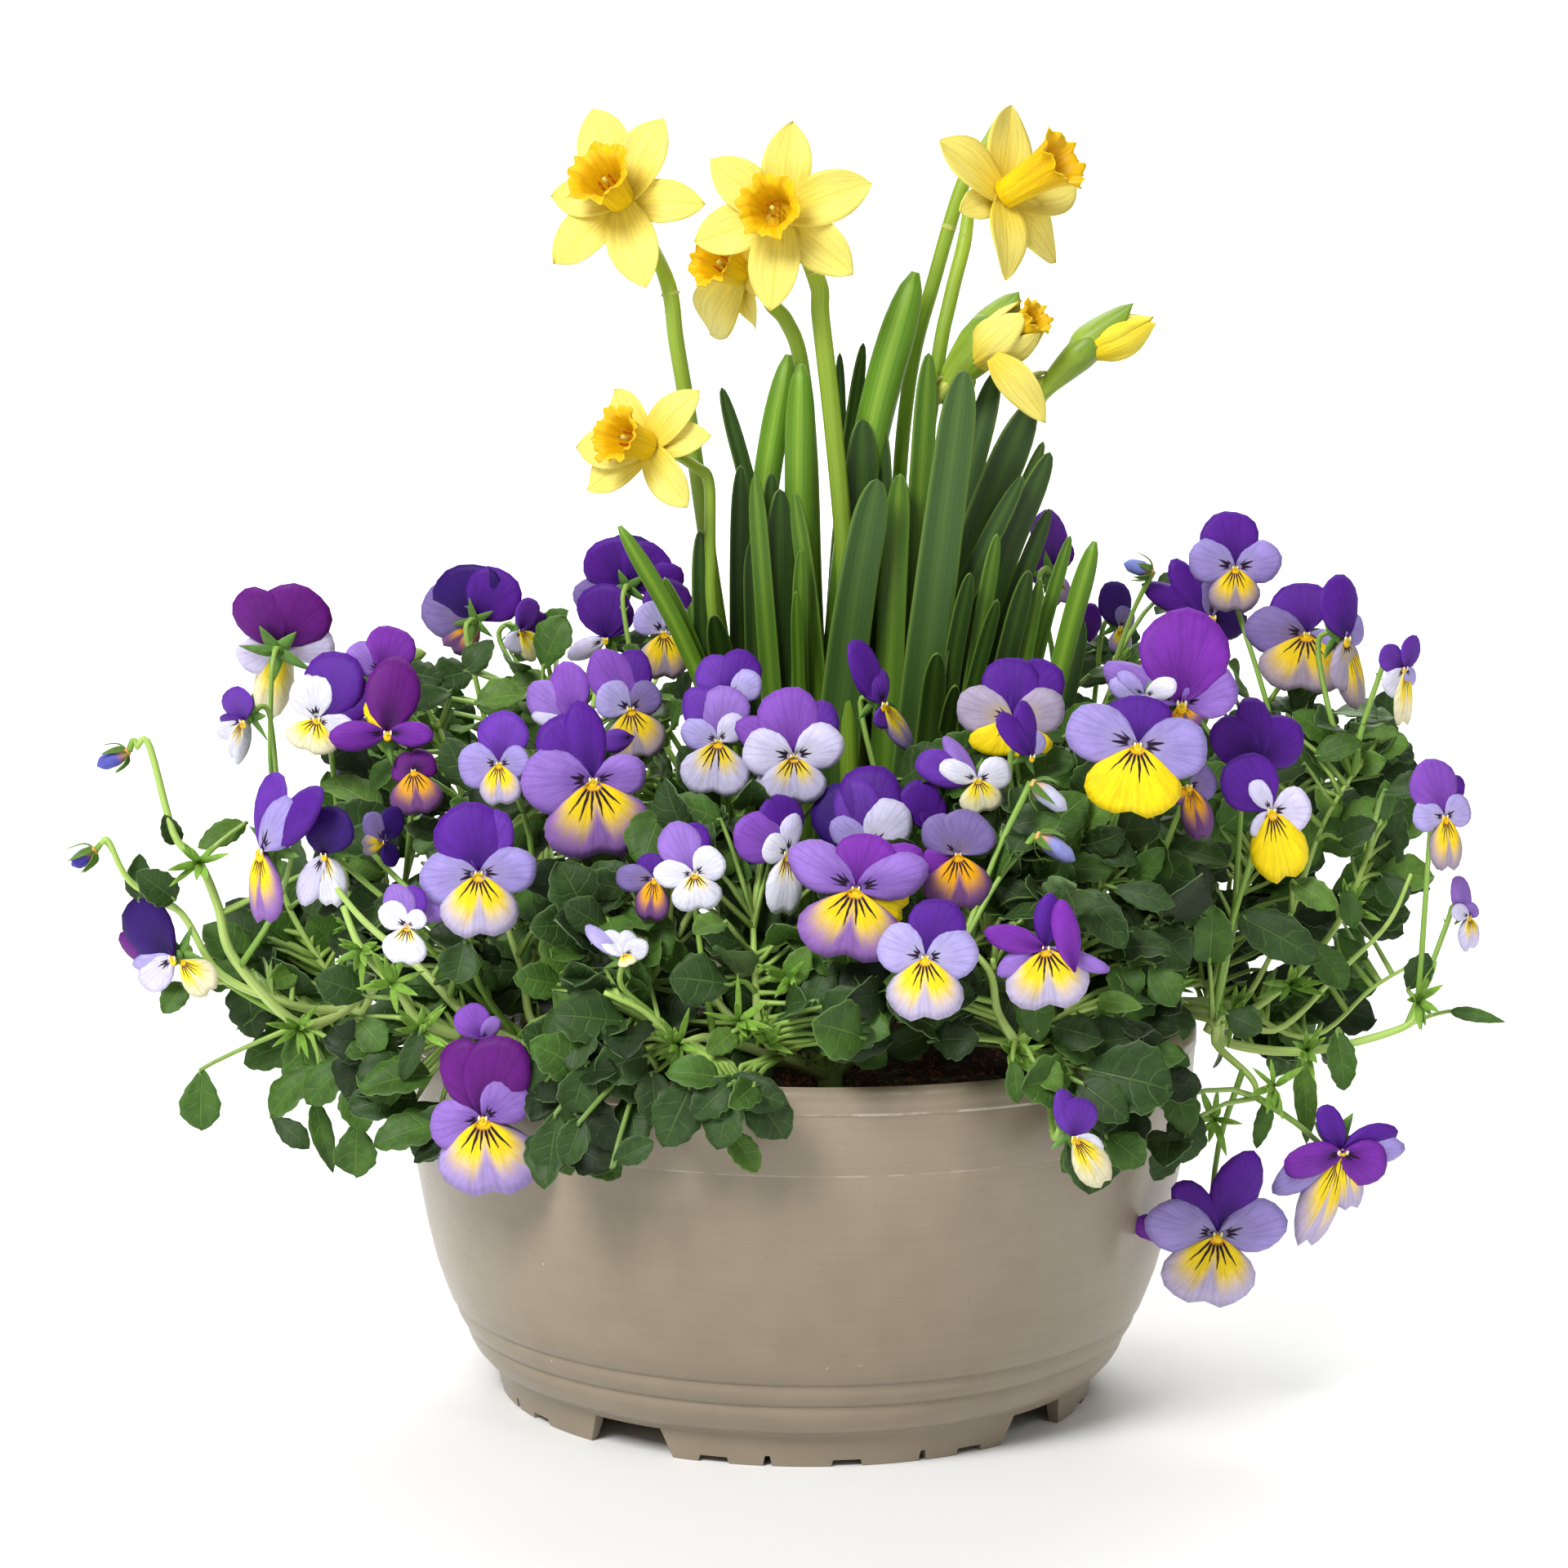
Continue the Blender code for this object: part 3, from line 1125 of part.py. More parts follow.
def grow_leaf(garden, roots, plant, foot, tip, width, facing):
    """One leaf on the first root from which it is clear; tells whether it grew."""
    node = "pansy_leaves_" + plant
    blade = leaf_solid([foot + (foot - tip) * 0.15, foot], tip, width, facing)
    if not garden.clear(node, blade, True):
        return False
    for _, root in nearest_roots({plant: roots[plant]}, foot, 24):
        way = over_the_lip(root, foot)
        short = [root + (way[1] - root).normalized() * (ROOT_REACH_MM * MM), *way[1:]]
        solid = leaf_solid(way, tip, width, facing)
        if garden.clear(node, solid) and garden.clear(node, leaf_solid(short, tip, width, facing), True):
            garden.add(node, solid)
            roots[plant].remove(root)
            return True
    return False


def grow_leaves(garden, roots):
    """The leaves seen from the front at their places, then those round the back by a seeded rule."""
    eye_side = Vector((0, -1, 0.35))
    for leaf in LEAVES:
        for offset in depth_steps(11, 3):
            foot = seen_at(*leaf.foot, leaf.depth + offset)
            tip = seen_at(*leaf.tip, leaf.depth + offset - leaf.tip_nearer)
            if grow_leaf(garden, roots, leaf.plant, foot, tip, leaf.width, eye_side):
                break
        else:
            print("leaf", leaf.plant, leaf.foot, "has no clear place")
    draw = random.Random(LEAF_SEED)
    for plant, count, low, high in BACK_LEAVES:
        grown = 0
        for _ in range(count * 12):
            angle = math.radians(draw.uniform(low, high))
            radius = draw.uniform(118, 150)
            height = draw.uniform(134, 172)
            outward = Vector((math.cos(angle), math.sin(angle), 0))
            foot = outward * (radius * MM) + UP * (height * MM)
            droop = draw.uniform(-0.9, 0.2)
            swing = Vector((-outward.y, outward.x, 0)) * draw.uniform(-0.6, 0.6)
            tip = foot + (outward * 0.8 + swing + UP * droop).normalized() * (draw.uniform(21, 27) * MM)
            if grow_leaf(garden, roots, plant, foot, tip, draw.uniform(13, 17), outward * 0.5 + UP):
                grown += 1
            if grown == count:
                break


def main():
    """Builds every node of the planter."""
    for obj in list(bpy.data.objects):
        bpy.data.objects.remove(obj)
    garden = Garden()
    garden.fence("bowl", build_bowl())
    garden.fence("soil", build_soil())
    garden.add("daffodil_clump", clump_base(0, SOIL_EDGE_MM - CLUMP_DEPTH_MM + GAP_MM, SOIL_EDGE_MM + 2))
    for leaf in STRAPS:
        grow_strap(garden, leaf)
    for stem in LONE_STEMS:
        garden.add("daffodil_clump", lone_stem(stem))
    for flower in DAFFODILS:
        build_daffodil(garden, flower)
    build_half_open_daffodils(garden)
    stalks = place_blooms(garden)
    garden.forget(STALK_ROOM)
    roots = grow_shoots(garden)
    grow_stalks(garden, roots, stalks)
    grow_buds(garden, roots)
    grow_leaves(garden, roots)
    colours = {node: colour for groups in (BLOOM_GROUPS, BACK_BLOOMS) for node, (colour, _) in groups.items()}
    for node, solids in garden.solids.items():
        if node.endswith("trumpet"):
            colour = "trumpet"
        elif node.endswith("petals"):
            colour = "tepal"
        elif node.startswith("pansy_leaves"):
            colour = "leaf"
        else:
            colour = colours.get(node, "strap")
        fused(node, solids, colour)


main()
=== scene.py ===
"""The looks of a planter with pansies and daffodils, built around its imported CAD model.

Units are metres, +Z is up and -Y is the front. The lists of flowers, leaves and stems, and the sizes of the
classes that build them, are in millimetres. Those lists give a place as seen from the front: (u, v) is a
point of a 1920 x 1920 picture of the planter, and the depth behind the bowl's axis sets how far away that
point lies.
"""

from __future__ import annotations

import json
import logging
import math
import random
from dataclasses import dataclass, field
from enum import Enum
from functools import cache
from typing import Callable, Iterable, NamedTuple, Sequence

import bpy
import numpy as np
from mathutils import Matrix, Vector, noise
from mathutils.bvhtree import BVHTree

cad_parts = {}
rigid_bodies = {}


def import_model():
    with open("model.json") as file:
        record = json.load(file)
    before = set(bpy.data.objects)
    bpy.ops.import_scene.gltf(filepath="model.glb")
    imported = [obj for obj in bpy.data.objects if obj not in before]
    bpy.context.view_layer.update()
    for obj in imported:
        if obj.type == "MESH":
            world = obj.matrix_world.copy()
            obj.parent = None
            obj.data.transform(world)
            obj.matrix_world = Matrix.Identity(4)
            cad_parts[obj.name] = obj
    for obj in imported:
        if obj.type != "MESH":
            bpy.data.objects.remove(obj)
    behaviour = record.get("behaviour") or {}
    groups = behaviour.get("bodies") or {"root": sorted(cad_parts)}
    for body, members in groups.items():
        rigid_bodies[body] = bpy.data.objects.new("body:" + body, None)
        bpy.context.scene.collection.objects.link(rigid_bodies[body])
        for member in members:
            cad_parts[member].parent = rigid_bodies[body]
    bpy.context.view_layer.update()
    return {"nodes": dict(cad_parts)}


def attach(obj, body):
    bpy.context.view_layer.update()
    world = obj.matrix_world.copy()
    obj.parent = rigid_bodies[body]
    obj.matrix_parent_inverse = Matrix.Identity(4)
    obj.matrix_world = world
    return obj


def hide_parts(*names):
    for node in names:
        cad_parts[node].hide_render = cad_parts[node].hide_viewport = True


LOG = logging.getLogger("planter")
MM = 0.001
UP = np.array((0.0, 0.0, 1.0))
Pair = tuple[float, float]
Triple = tuple[float, float, float]
Colour = Triple
Array = np.ndarray
Thing = bpy.types.Object
Socket = bpy.types.NodeSocket
Painted = tuple[Socket, Socket]
Draw = random.Random


def srgb(red: float, green: float, blue: float) -> Colour:
    """A linear colour from 0 to 255 screen values."""
    def linear(value: float) -> float:
        share = value / 255
        return share / 12.92 if share <= 0.04045 else ((share + 0.055) / 1.055) ** 2.4
    return linear(red), linear(green), linear(blue)


def unit(vector: Array) -> Array:
    """Vectors of length one along the last axis."""
    return vector / np.maximum(np.linalg.norm(vector, axis=-1, keepdims=True), 1e-9)


def vec(x: float, y: float, z: float) -> Array:
    """A point or a direction."""
    return np.array((x, y, z))


def mm(*sizes: float) -> list[float]:
    """Sizes in metres, from millimetres."""
    return [size * MM for size in sizes]


# Where things are seen


@dataclass(frozen=True)
class Viewpoint:
    """Where the picture is seen from, and how its points lie in space."""

    eye: Triple = (-0.0063, -1.35, 0.40)
    pitch: float = math.radians(8.2)
    roll: float = math.radians(0.75)
    focal: float = 4970.0
    middle: float = 960.0
    sensor: float = 36.0

    def axes(self) -> tuple[Array, Array, Array]:
        """The picture's right, up and forward directions."""
        forward = vec(0, math.cos(self.pitch), -math.sin(self.pitch))
        level_up = vec(0, math.sin(self.pitch), math.cos(self.pitch))
        level_right = vec(1.0, 0, 0)
        right = math.cos(self.roll) * level_right + math.sin(self.roll) * level_up
        up = -math.sin(self.roll) * level_right + math.cos(self.roll) * level_up
        return right, up, forward

    def ray(self, u: float, v: float) -> Array:
        """The direction in which a point of the picture lies."""
        right, up, forward = self.axes()
        return forward + right * ((u - self.middle) / self.focal) + up * ((self.middle - v) / self.focal)

    def at(self, u: float, v: float, depth: float) -> Array:
        """The point under (u, v) that lies the given millimetres behind the bowl's axis."""
        ray = self.ray(u, v)
        return np.array(self.eye) + ray * ((depth * MM - self.eye[1]) / ray[1])

    def on_plane(self, u: float, v: float, point: Array, normal: Array) -> Array:
        """The point under (u, v) that lies on a plane."""
        ray = self.ray(u, v)
        eye = np.array(self.eye)
        return eye + ray * (np.dot(point - eye, normal) / np.dot(ray, normal))

    def seen(self, points: Array) -> Array:
        """Where points are seen.

        Args:
            points: points in space, one to a row.

        Returns:
            Their (u, v) in the picture, one to a row.
        """
        right, up, forward = self.axes()
        away = points - np.array(self.eye)
        reach = away @ forward
        return np.stack((self.middle + away @ right / reach * self.focal,
                         self.middle - away @ up / reach * self.focal), axis=-1)

    def add_camera(self) -> None:
        """Adds the camera at this viewpoint."""
        right, up, forward = self.axes()
        data = bpy.data.cameras.new("camera")
        data.sensor_width = self.sensor
        data.lens = self.focal / (2 * self.middle) * self.sensor
        data.clip_end = 50
        camera = bpy.data.objects.new("camera", data)
        turn = Matrix((right, up, -forward)).transposed().to_4x4()
        camera.matrix_world = Matrix.Translation(self.eye) @ turn
        bpy.context.scene.collection.objects.link(camera)
        bpy.context.scene.camera = camera


VIEW = Viewpoint()


def heading(angle: float) -> Array:
    """The level direction at an angle from the planter's right."""
    return vec(math.cos(angle), math.sin(angle), 0)


def axes_towards(face: Array) -> Array:
    """Axes to the right, up and along a direction, as the rows of an array."""
    side = unit(np.cross(UP, face))
    return np.array((side, np.cross(face, side), face))


def flower_axes(turn: float, nod: float) -> Array:
    """The axes of a flower that faces so many degrees to the viewer's right, and so many up."""
    turn, nod = math.radians(turn), math.radians(nod)
    level = math.cos(nod)
    return axes_towards(vec(math.sin(turn) * level, -math.cos(turn) * level, math.sin(nod)))


# Meshes that are modelled once and copied


def start_modelling() -> None:
    """Leaves edit mode and deselects everything."""
    if bpy.context.object and bpy.context.object.mode != "OBJECT":
        bpy.ops.object.mode_set(mode="OBJECT")
    bpy.ops.object.select_all(action="DESELECT")


@dataclass
class Template:
    """A small closed mesh that is modelled once: its points, face corners and each face's corner count."""

    points: Array
    corners: Array
    counts: Array

    @classmethod
    def taken(cls, obj: Thing) -> Template:
        """The mesh of an object, which is then removed."""
        mesh = obj.data
        points = np.empty(len(mesh.vertices) * 3)
        mesh.vertices.foreach_get("co", points)
        corners = np.empty(len(mesh.loops), dtype=np.int64)
        mesh.loops.foreach_get("vertex_index", corners)
        counts = np.empty(len(mesh.polygons), dtype=np.int64)
        mesh.polygons.foreach_get("loop_total", counts)
        bpy.data.objects.remove(obj)
        bpy.data.meshes.remove(mesh)
        return cls(points.reshape(-1, 3), corners, counts)

    @classmethod
    @cache
    def sheet(cls, columns: int, rows: int) -> Template:
        """A flat closed sheet: x and y run across and along it from -1 to 1, z through it from 0 to -1."""
        start_modelling()
        bpy.ops.mesh.primitive_grid_add(x_subdivisions=columns, y_subdivisions=rows, size=2)
        obj = bpy.context.object
        wall = obj.modifiers.new("wall", "SOLIDIFY")
        wall.thickness = 1
        wall.offset = -1
        bpy.ops.object.modifier_apply(modifier=wall.name)
        return cls.taken(obj)

    @classmethod
    @cache
    def bar(cls, sides: int, rings: int) -> Template:
        """A closed round bar of radius one that runs from z = 0 to z = 1 in equal rings."""
        start_modelling()
        bpy.ops.mesh.primitive_circle_add(vertices=sides, radius=1, fill_type="NGON")
        obj = bpy.context.object
        bpy.ops.object.mode_set(mode="EDIT")
        bpy.ops.mesh.select_all(action="SELECT")
        for _ in range(rings):
            bpy.ops.mesh.extrude_region_move(TRANSFORM_OT_translate={"value": (0, 0, 1 / rings)})
        bpy.ops.mesh.select_all(action="SELECT")
        bpy.ops.mesh.normals_make_consistent(inside=False)
        bpy.ops.object.mode_set(mode="OBJECT")
        return cls.taken(obj)

    @classmethod
    @cache
    def ball(cls, segments: int, rings: int) -> Template:
        """A round ball of radius one."""
        start_modelling()
        bpy.ops.mesh.primitive_uv_sphere_add(segments=segments, ring_count=rings, radius=1)
        return cls.taken(bpy.context.object)


@dataclass(frozen=True)
class Look:
    """What a copy shows: its colours near its root and at its edge."""

    inner: Colour
    outer: Colour


class Pile:
    """Copies of templates, gathered into the mesh of one piece."""

    def __init__(self) -> None:
        """Starts empty."""
        self.points: list[Array] = []
        self.corners: list[Array] = []
        self.counts: list[Array] = []
        self.slots: list[Array] = []
        self.uvs: list[Array] = []
        self.values: dict[str, list[Array]] = {"inner": [], "outer": [], "marks": []}
        self.size = 0

    def add(self, template: Template, points: Array, uvs: Array, slot: int, look: Look,
            **varied: Array) -> None:
        """Adds a copy of a template.

        Args:
            template: what is copied.
            points: its points in place.
            uvs: each point's place across and along.
            slot: the number of its finish.
            look: its colours.
            varied: colours given point by point in place of the look's, or four marks that its finish reads.
        """
        count = len(points)
        self.points.append(points)
        self.corners.append(template.corners + self.size)
        self.counts.append(template.counts)
        self.slots.append(np.full(len(template.counts), slot))
        self.uvs.append(uvs[template.corners])
        plain = {"inner": (*look.inner, 1), "outer": (*look.outer, 1), "marks": (0, 0, 0, 0)}
        for name, rows in self.values.items():
            rows.append(varied.get(name, np.tile(np.array(plain[name], dtype=float), (count, 1))))
        self.size += count

    def build(self, name: str, finishes: Sequence[bpy.types.Material]) -> Thing:
        """Makes the object.

        Args:
            name: its name.
            finishes: its materials, in the order of the slot numbers.

        Returns:
            The object, at the origin.
        """
        points = np.concatenate(self.points)
        corners = np.concatenate(self.corners)
        counts = np.concatenate(self.counts)
        mesh = bpy.data.meshes.new(name)
        mesh.vertices.add(len(points))
        mesh.vertices.foreach_set("co", points.astype(np.float32).ravel())
        mesh.loops.add(len(corners))
        mesh.loops.foreach_set("vertex_index", corners.astype(np.int32))
        mesh.polygons.add(len(counts))
        starts = np.concatenate(([0], np.cumsum(counts)[:-1]))
        mesh.polygons.foreach_set("loop_start", starts.astype(np.int32))
        mesh.polygons.foreach_set("material_index", np.concatenate(self.slots).astype(np.int32))
        mesh.update(calc_edges=True)
        mesh.uv_layers.new(name="place")
        mesh.uv_layers["place"].data.foreach_set("uv", np.concatenate(self.uvs).astype(np.float32).ravel())
        for key, rows in self.values.items():
            values = mesh.attributes.new(key, "FLOAT_COLOR", "POINT")
            values.data.foreach_set("color", np.concatenate(rows).astype(np.float32).ravel())
        for finish in finishes:
            mesh.materials.append(finish)
        mesh.shade_smooth()
        obj = bpy.data.objects.new(name, mesh)
        bpy.context.scene.collection.objects.link(obj)
        return obj


def smooth(path: Array, shares: Array) -> Array:
    """Points on a smooth curve.

    Args:
        path: the points that the curve runs through.
        shares: how far along each wanted point lies, from 0 to 1.

    Returns:
        The points, one to a row.
    """
    ends = np.vstack((2 * path[0] - path[1], path, 2 * path[-1] - path[-2]))
    way = np.clip(shares, 0, 1) * (len(path) - 1)
    index = np.minimum(way.astype(int), len(path) - 2)
    t = (way - index)[:, None]
    a, b, c, d = (ends[index + k] for k in range(4))
    square, cube = 2 * a - 5 * b + 4 * c - d, 3 * b - a - 3 * c + d
    return 0.5 * (2 * b + (c - a) * t + square * t ** 2 + cube * t ** 3)


def add_bar(pile: Pile, path: Sequence[Array], radii: Sequence[float], slot: int, look: Look,
            sides: int = 6, rings: int = 10, flat: float = 1.0) -> None:
    """Adds a round bar along a smooth path.

    Args:
        pile: what it is added to.
        path: the points that it runs through.
        radii: its radius at equal steps along it, in metres.
        slot: the number of its finish.
        look: its colours.
        sides: how many sides it has.
        rings: how many rings it has.
        flat: its thickness over its width.
    """
    template = Template.bar(sides, rings)
    path = np.array(path)
    shares = np.linspace(0, 1, rings + 1)
    middles = smooth(path, shares)
    along = unit(smooth(path, shares + 0.02) - smooth(path, shares - 0.02))
    side = unit(np.cross(along[0], (0.31, 0.17, 0.93) if abs(along[0][2]) < 0.8 else (0.2, 0.97, 0.1)))
    frames = []
    for direction in along:
        side = unit(side - direction * np.dot(side, direction))
        frames.append((side, np.cross(direction, side)))
    frames = np.array(frames)
    ring = np.rint(template.points[:, 2] * rings).astype(int)
    radius = np.interp(shares, np.linspace(0, 1, len(radii)), radii)[ring][:, None]
    points = middles[ring] + radius * (template.points[:, :1] * frames[ring, 0]
                                       + template.points[:, 1:2] * frames[ring, 1] * flat)
    uvs = np.stack((0.5 + 0.5 * template.points[:, 0], template.points[:, 2]), axis=-1)
    pile.add(template, points, uvs, slot, look)


@dataclass(frozen=True)
class Blade:
    """How a sheet is shaped along its path: its outline and how it cups, waves and twists."""

    outline: Callable[[Array], Array]
    columns: int = 6
    rows: int = 12
    thickness: float = 0.35
    cup: float = 0.15
    wave: float = 0.0
    waves: float = 2.0
    teeth: int = 0
    tooth: float = 0.0
    twist: float = 0.0
    crowd: float = 1.0


def add_blade(pile: Pile, path: Sequence[Array], width: float, facing: Array, blade: Blade,
              slot: int, look: Look, under: Look | None = None, phase: float = 0.0) -> None:
    """Adds a thin blade along a smooth path.

    Args:
        pile: what it is added to.
        path: the points that its middle line runs through.
        width: its full width, in metres.
        facing: the way that its upper side faces.
        blade: its shape.
        slot: the number of its finish.
        look: its colours.
        under: the colours of its lower side, where they differ.
        phase: where its waves start.
    """
    template = Template.sheet(blade.columns, blade.rows)
    path = np.array(path)
    across, through = template.points[:, 0], -template.points[:, 2]
    share = 1 - (0.5 - 0.5 * template.points[:, 1]) ** blade.crowd

    def surface(s: Array, t: Array) -> Array:
        middle = smooth(path, t)
        along = unit(smooth(path, t + 0.03) - smooth(path, t - 0.03))
        side = unit(np.cross(along, facing))
        up = np.cross(side, along)
        turn = (blade.twist * (t - 0.3))[:, None]
        side, up = side * np.cos(turn) + up * np.sin(turn), up * np.cos(turn) - side * np.sin(turn)
        half = 0.5 * width * blade.outline(t)
        reach = s * half
        if blade.teeth:
            edge = np.abs(s) ** 6
            reach = reach * (1 - edge * blade.tooth * np.abs(np.cos(math.pi * blade.teeth * t)) ** 4)
        lift = blade.cup * half * np.abs(s) ** 1.5
        lift = lift + blade.wave * width * s * np.abs(s) * np.sin(math.pi * blade.waves * t + phase)
        return middle + side * reach[:, None] + up * lift[:, None]

    points = surface(across, share)
    step = 0.02
    s, t = across * 0.9, 0.04 + share * 0.9
    right = surface(s + step, t) - surface(s - step, t)
    ahead = surface(s, t + step) - surface(s, t - step)
    normal = unit(np.cross(right, ahead))
    points = points - normal * (through * blade.thickness * MM)[:, None]
    uvs = np.stack((0.5 + 0.5 * across, share), axis=-1)
    varied = {}
    if under is not None:
        lower = through[:, None]
        for name in ("inner", "outer"):
            top, bottom = (np.array((*getattr(item, name), 1)) for item in (look, under))
            varied[name] = top * (1 - lower) + bottom * lower
    pile.add(template, points, uvs, slot, look, **varied)


def add_ball(pile: Pile, middle: Array, axes: Array, slot: int, look: Look,
             segments: int = 8, rings: int = 6) -> None:
    """Adds a ball stretched along three axes, which are the rows of an array."""
    template = Template.ball(segments, rings)
    points = middle + template.points @ axes
    uvs = np.stack((0.5 + 0.5 * template.points[:, 0], 0.5 + 0.5 * template.points[:, 2]), axis=-1)
    pile.add(template, points, uvs, slot, look)


# Outlines, as the share of the half width that a blade has at a share of its length


def strap_outline(t: Array) -> Array:
    """A strap that is widest halfway and tapers to a blunt tip."""
    t = np.clip(t, 0, 1)
    taper = np.clip((1 - t) / 0.10, 0, 1)
    return (0.78 + 0.22 * np.sin(math.pi * t ** 0.9)) * np.clip(1 - (1 - taper) ** 2.4, 0, 1) ** 0.5


def spoon_outline(t: Array) -> Array:
    """A spoon-shaped leaf: widest past its middle, with a round end."""
    t = np.clip(t, 0, 1)
    return np.clip(np.sin(math.pi * t ** 1.15), 0, 1) ** 0.62 * (0.72 + 0.28 * np.sin(math.pi * t ** 1.4))


def oval_outline(t: Array) -> Array:
    """A broad leaf: widest below its middle."""
    t = np.clip(t, 0, 1)
    return np.clip(np.sin(math.pi * t ** 0.82), 0, 1) ** 0.68


def lance_outline(t: Array) -> Array:
    """A narrow pointed leaf."""
    t = np.clip(t, 0, 1)
    return np.clip(np.sin(math.pi * t ** 0.7), 0, 1) ** 0.9


def tepal_outline(t: Array) -> Array:
    """A daffodil's tepal: narrow at its foot, widest past its middle, with a small point."""
    t = np.clip(t, 0, 1)
    body = np.clip(np.sin(math.pi * (0.10 + 0.90 * t) ** 1.05), 0, 1) ** 0.75
    return body * (1 - 0.35 * np.exp(-((1 - t) / 0.05) ** 2))


# Shader nodes


class Tree:
    """A node tree with short ways to add nodes to it."""

    def __init__(self, tree: bpy.types.NodeTree) -> None:
        """Takes the tree."""
        self.tree = tree

    def node(self, kind: str, **settings: object) -> bpy.types.Node:
        """A new node with some of its settings."""
        new = self.tree.nodes.new(kind)
        for name, value in settings.items():
            setattr(new, name, value)
        return new

    def put(self, socket: Socket, value: object) -> None:
        """Links a socket to another, or sets its value."""
        if isinstance(value, Socket):
            self.tree.links.new(value, socket)
        elif isinstance(value, tuple) and len(value) == 3 and socket.type == "RGBA":
            socket.default_value = (*value, 1)
        else:
            socket.default_value = value

    def math(self, operation: str, *values: object) -> Socket:
        """The result of a Math node."""
        new = self.node("ShaderNodeMath", operation=operation)
        for socket, value in zip(new.inputs, values):
            self.put(socket, value)
        return new.outputs[0]

    def times(self, a: object, b: object) -> Socket:
        """The product of two values."""
        return self.math("MULTIPLY", a, b)

    def plus(self, a: object, b: object) -> Socket:
        """The sum of two values."""
        return self.math("ADD", a, b)

    def minus(self, a: object, b: object) -> Socket:
        """The first value less the second."""
        return self.math("SUBTRACT", a, b)

    def line(self, value: object, slope: object, start: object) -> Socket:
        """A value times a slope, plus a start."""
        return self.math("MULTIPLY_ADD", value, slope, start)

    def size(self, value: object) -> Socket:
        """A value without its sign."""
        return self.math("ABSOLUTE", value)

    def mix(self, factor: object, a: object, b: object) -> Socket:
        """The result of a Mix node on colours."""
        new = self.node("ShaderNodeMix", data_type="RGBA", clamp_factor=True)
        for index, value in ((0, factor), (6, a), (7, b)):
            self.put(new.inputs[index], value)
        return new.outputs[2]

    def span(self, value: object, low: object, high: object, start: object = 0.0,
             end: object = 1.0) -> Socket:
        """A value carried smoothly from one span to another."""
        new = self.node("ShaderNodeMapRange", interpolation_type="SMOOTHSTEP", clamp=True)
        for index, item in enumerate((value, low, high, start, end)):
            self.put(new.inputs[index], item)
        return new.outputs[0]

    def noise(self, vector: object, scale: object, detail: float = 3.0,
              roughness: float = 0.55) -> Socket:
        """The value of a Noise Texture."""
        new = self.node("ShaderNodeTexNoise")
        names = ("Vector", "Scale", "Detail", "Roughness")
        for name, value in zip(names, (vector, scale, detail, roughness)):
            self.put(new.inputs[name], value)
        return new.outputs["Fac"]

    def named(self, name: str) -> bpy.types.Node:
        """The piece's own attribute of that name."""
        return self.node("ShaderNodeAttribute", attribute_name=name)

    def parts(self, vector: Socket) -> bpy.types.NodeOutputs:
        """The x, y and z of a vector."""
        new = self.node("ShaderNodeSeparateXYZ")
        self.put(new.inputs[0], vector)
        return new.outputs

    def place(self) -> tuple[Socket, Socket, Socket]:
        """A piece's own map: the vector, then how far across and along a point lies, from 0 to 1."""
        whole = self.node("ShaderNodeUVMap", uv_map="place").outputs[0]
        return whole, *tuple(self.parts(whole))[:2]

    def objects(self) -> Socket:
        """The object's own coordinates."""
        return self.node("ShaderNodeTexCoord").outputs["Object"]

    def colours(self) -> list[Socket]:
        """A piece's colours near its root and at its edge."""
        return [self.named(key).outputs["Color"] for key in ("inner", "outer")]

    def tint(self, colour: object, value: object) -> Socket:
        """A colour made darker or lighter by a value."""
        new = self.node("ShaderNodeVectorMath", operation="SCALE")
        self.put(new.inputs[0], colour)
        self.put(new.inputs["Scale"], value)
        return new.outputs[0]

    def beside(self, across: Socket) -> Socket:
        """How far from its middle line a point of a blade lies, from 0 to 1."""
        return self.size(self.line(across, 2.0, -1.0))

    def about(self, value: object, size: float) -> Socket:
        """A value about one half, moved to lie about 0 and made as large as wanted."""
        return self.line(value, size, -size / 2)

    def group(self, group: bpy.types.NodeTree, **values: object) -> Socket:
        """The first output of a node group."""
        new = self.node("ShaderNodeGroup", node_tree=group)
        for name, value in values.items():
            self.put(new.inputs[name], value)
        return new.outputs[0]

    def close(self, value: Socket) -> bpy.types.NodeTree:
        """Sends a value to the output of a node group, which is then whole."""
        out = self.node("NodeGroupOutput")
        self.put(out.inputs[0], value)
        return self.tree


def new_group(name: str, output: str, **numbers: float) -> tuple[Tree, bpy.types.NodeOutputs]:
    """Starts a node group that reads a place and some numbers, and gives one number.

    Args:
        name: the group's name.
        output: the name of what it gives.
        numbers: each number's default value, by name.

    Returns:
        The tree, and the sockets that bring its inputs.
    """
    tree = bpy.data.node_groups.new(name, "ShaderNodeTree")
    tree.interface.new_socket(name="Place", in_out="INPUT", socket_type="NodeSocketVector")
    for key, value in numbers.items():
        socket = tree.interface.new_socket(name=key, in_out="INPUT", socket_type="NodeSocketFloat")
        socket.default_value = value
    tree.interface.new_socket(name=output, in_out="OUTPUT", socket_type="NodeSocketFloat")
    return Tree(tree), tree.nodes.new("NodeGroupInput").outputs


def streaks_group() -> bpy.types.NodeTree:
    """Fine uneven streaks that run along a blade, as a value about one half."""
    tree, given = new_group("Streaks", "Value", Count=30.0, Length=2.0)
    joined = tree.node("ShaderNodeCombineXYZ")
    for socket, part, count in zip(joined.inputs, tree.parts(given["Place"]), ("Count", "Length")):
        tree.put(socket, tree.times(part, given[count]))
    return tree.close(tree.noise(joined.outputs[0], 1.0, 3.0, 0.6))


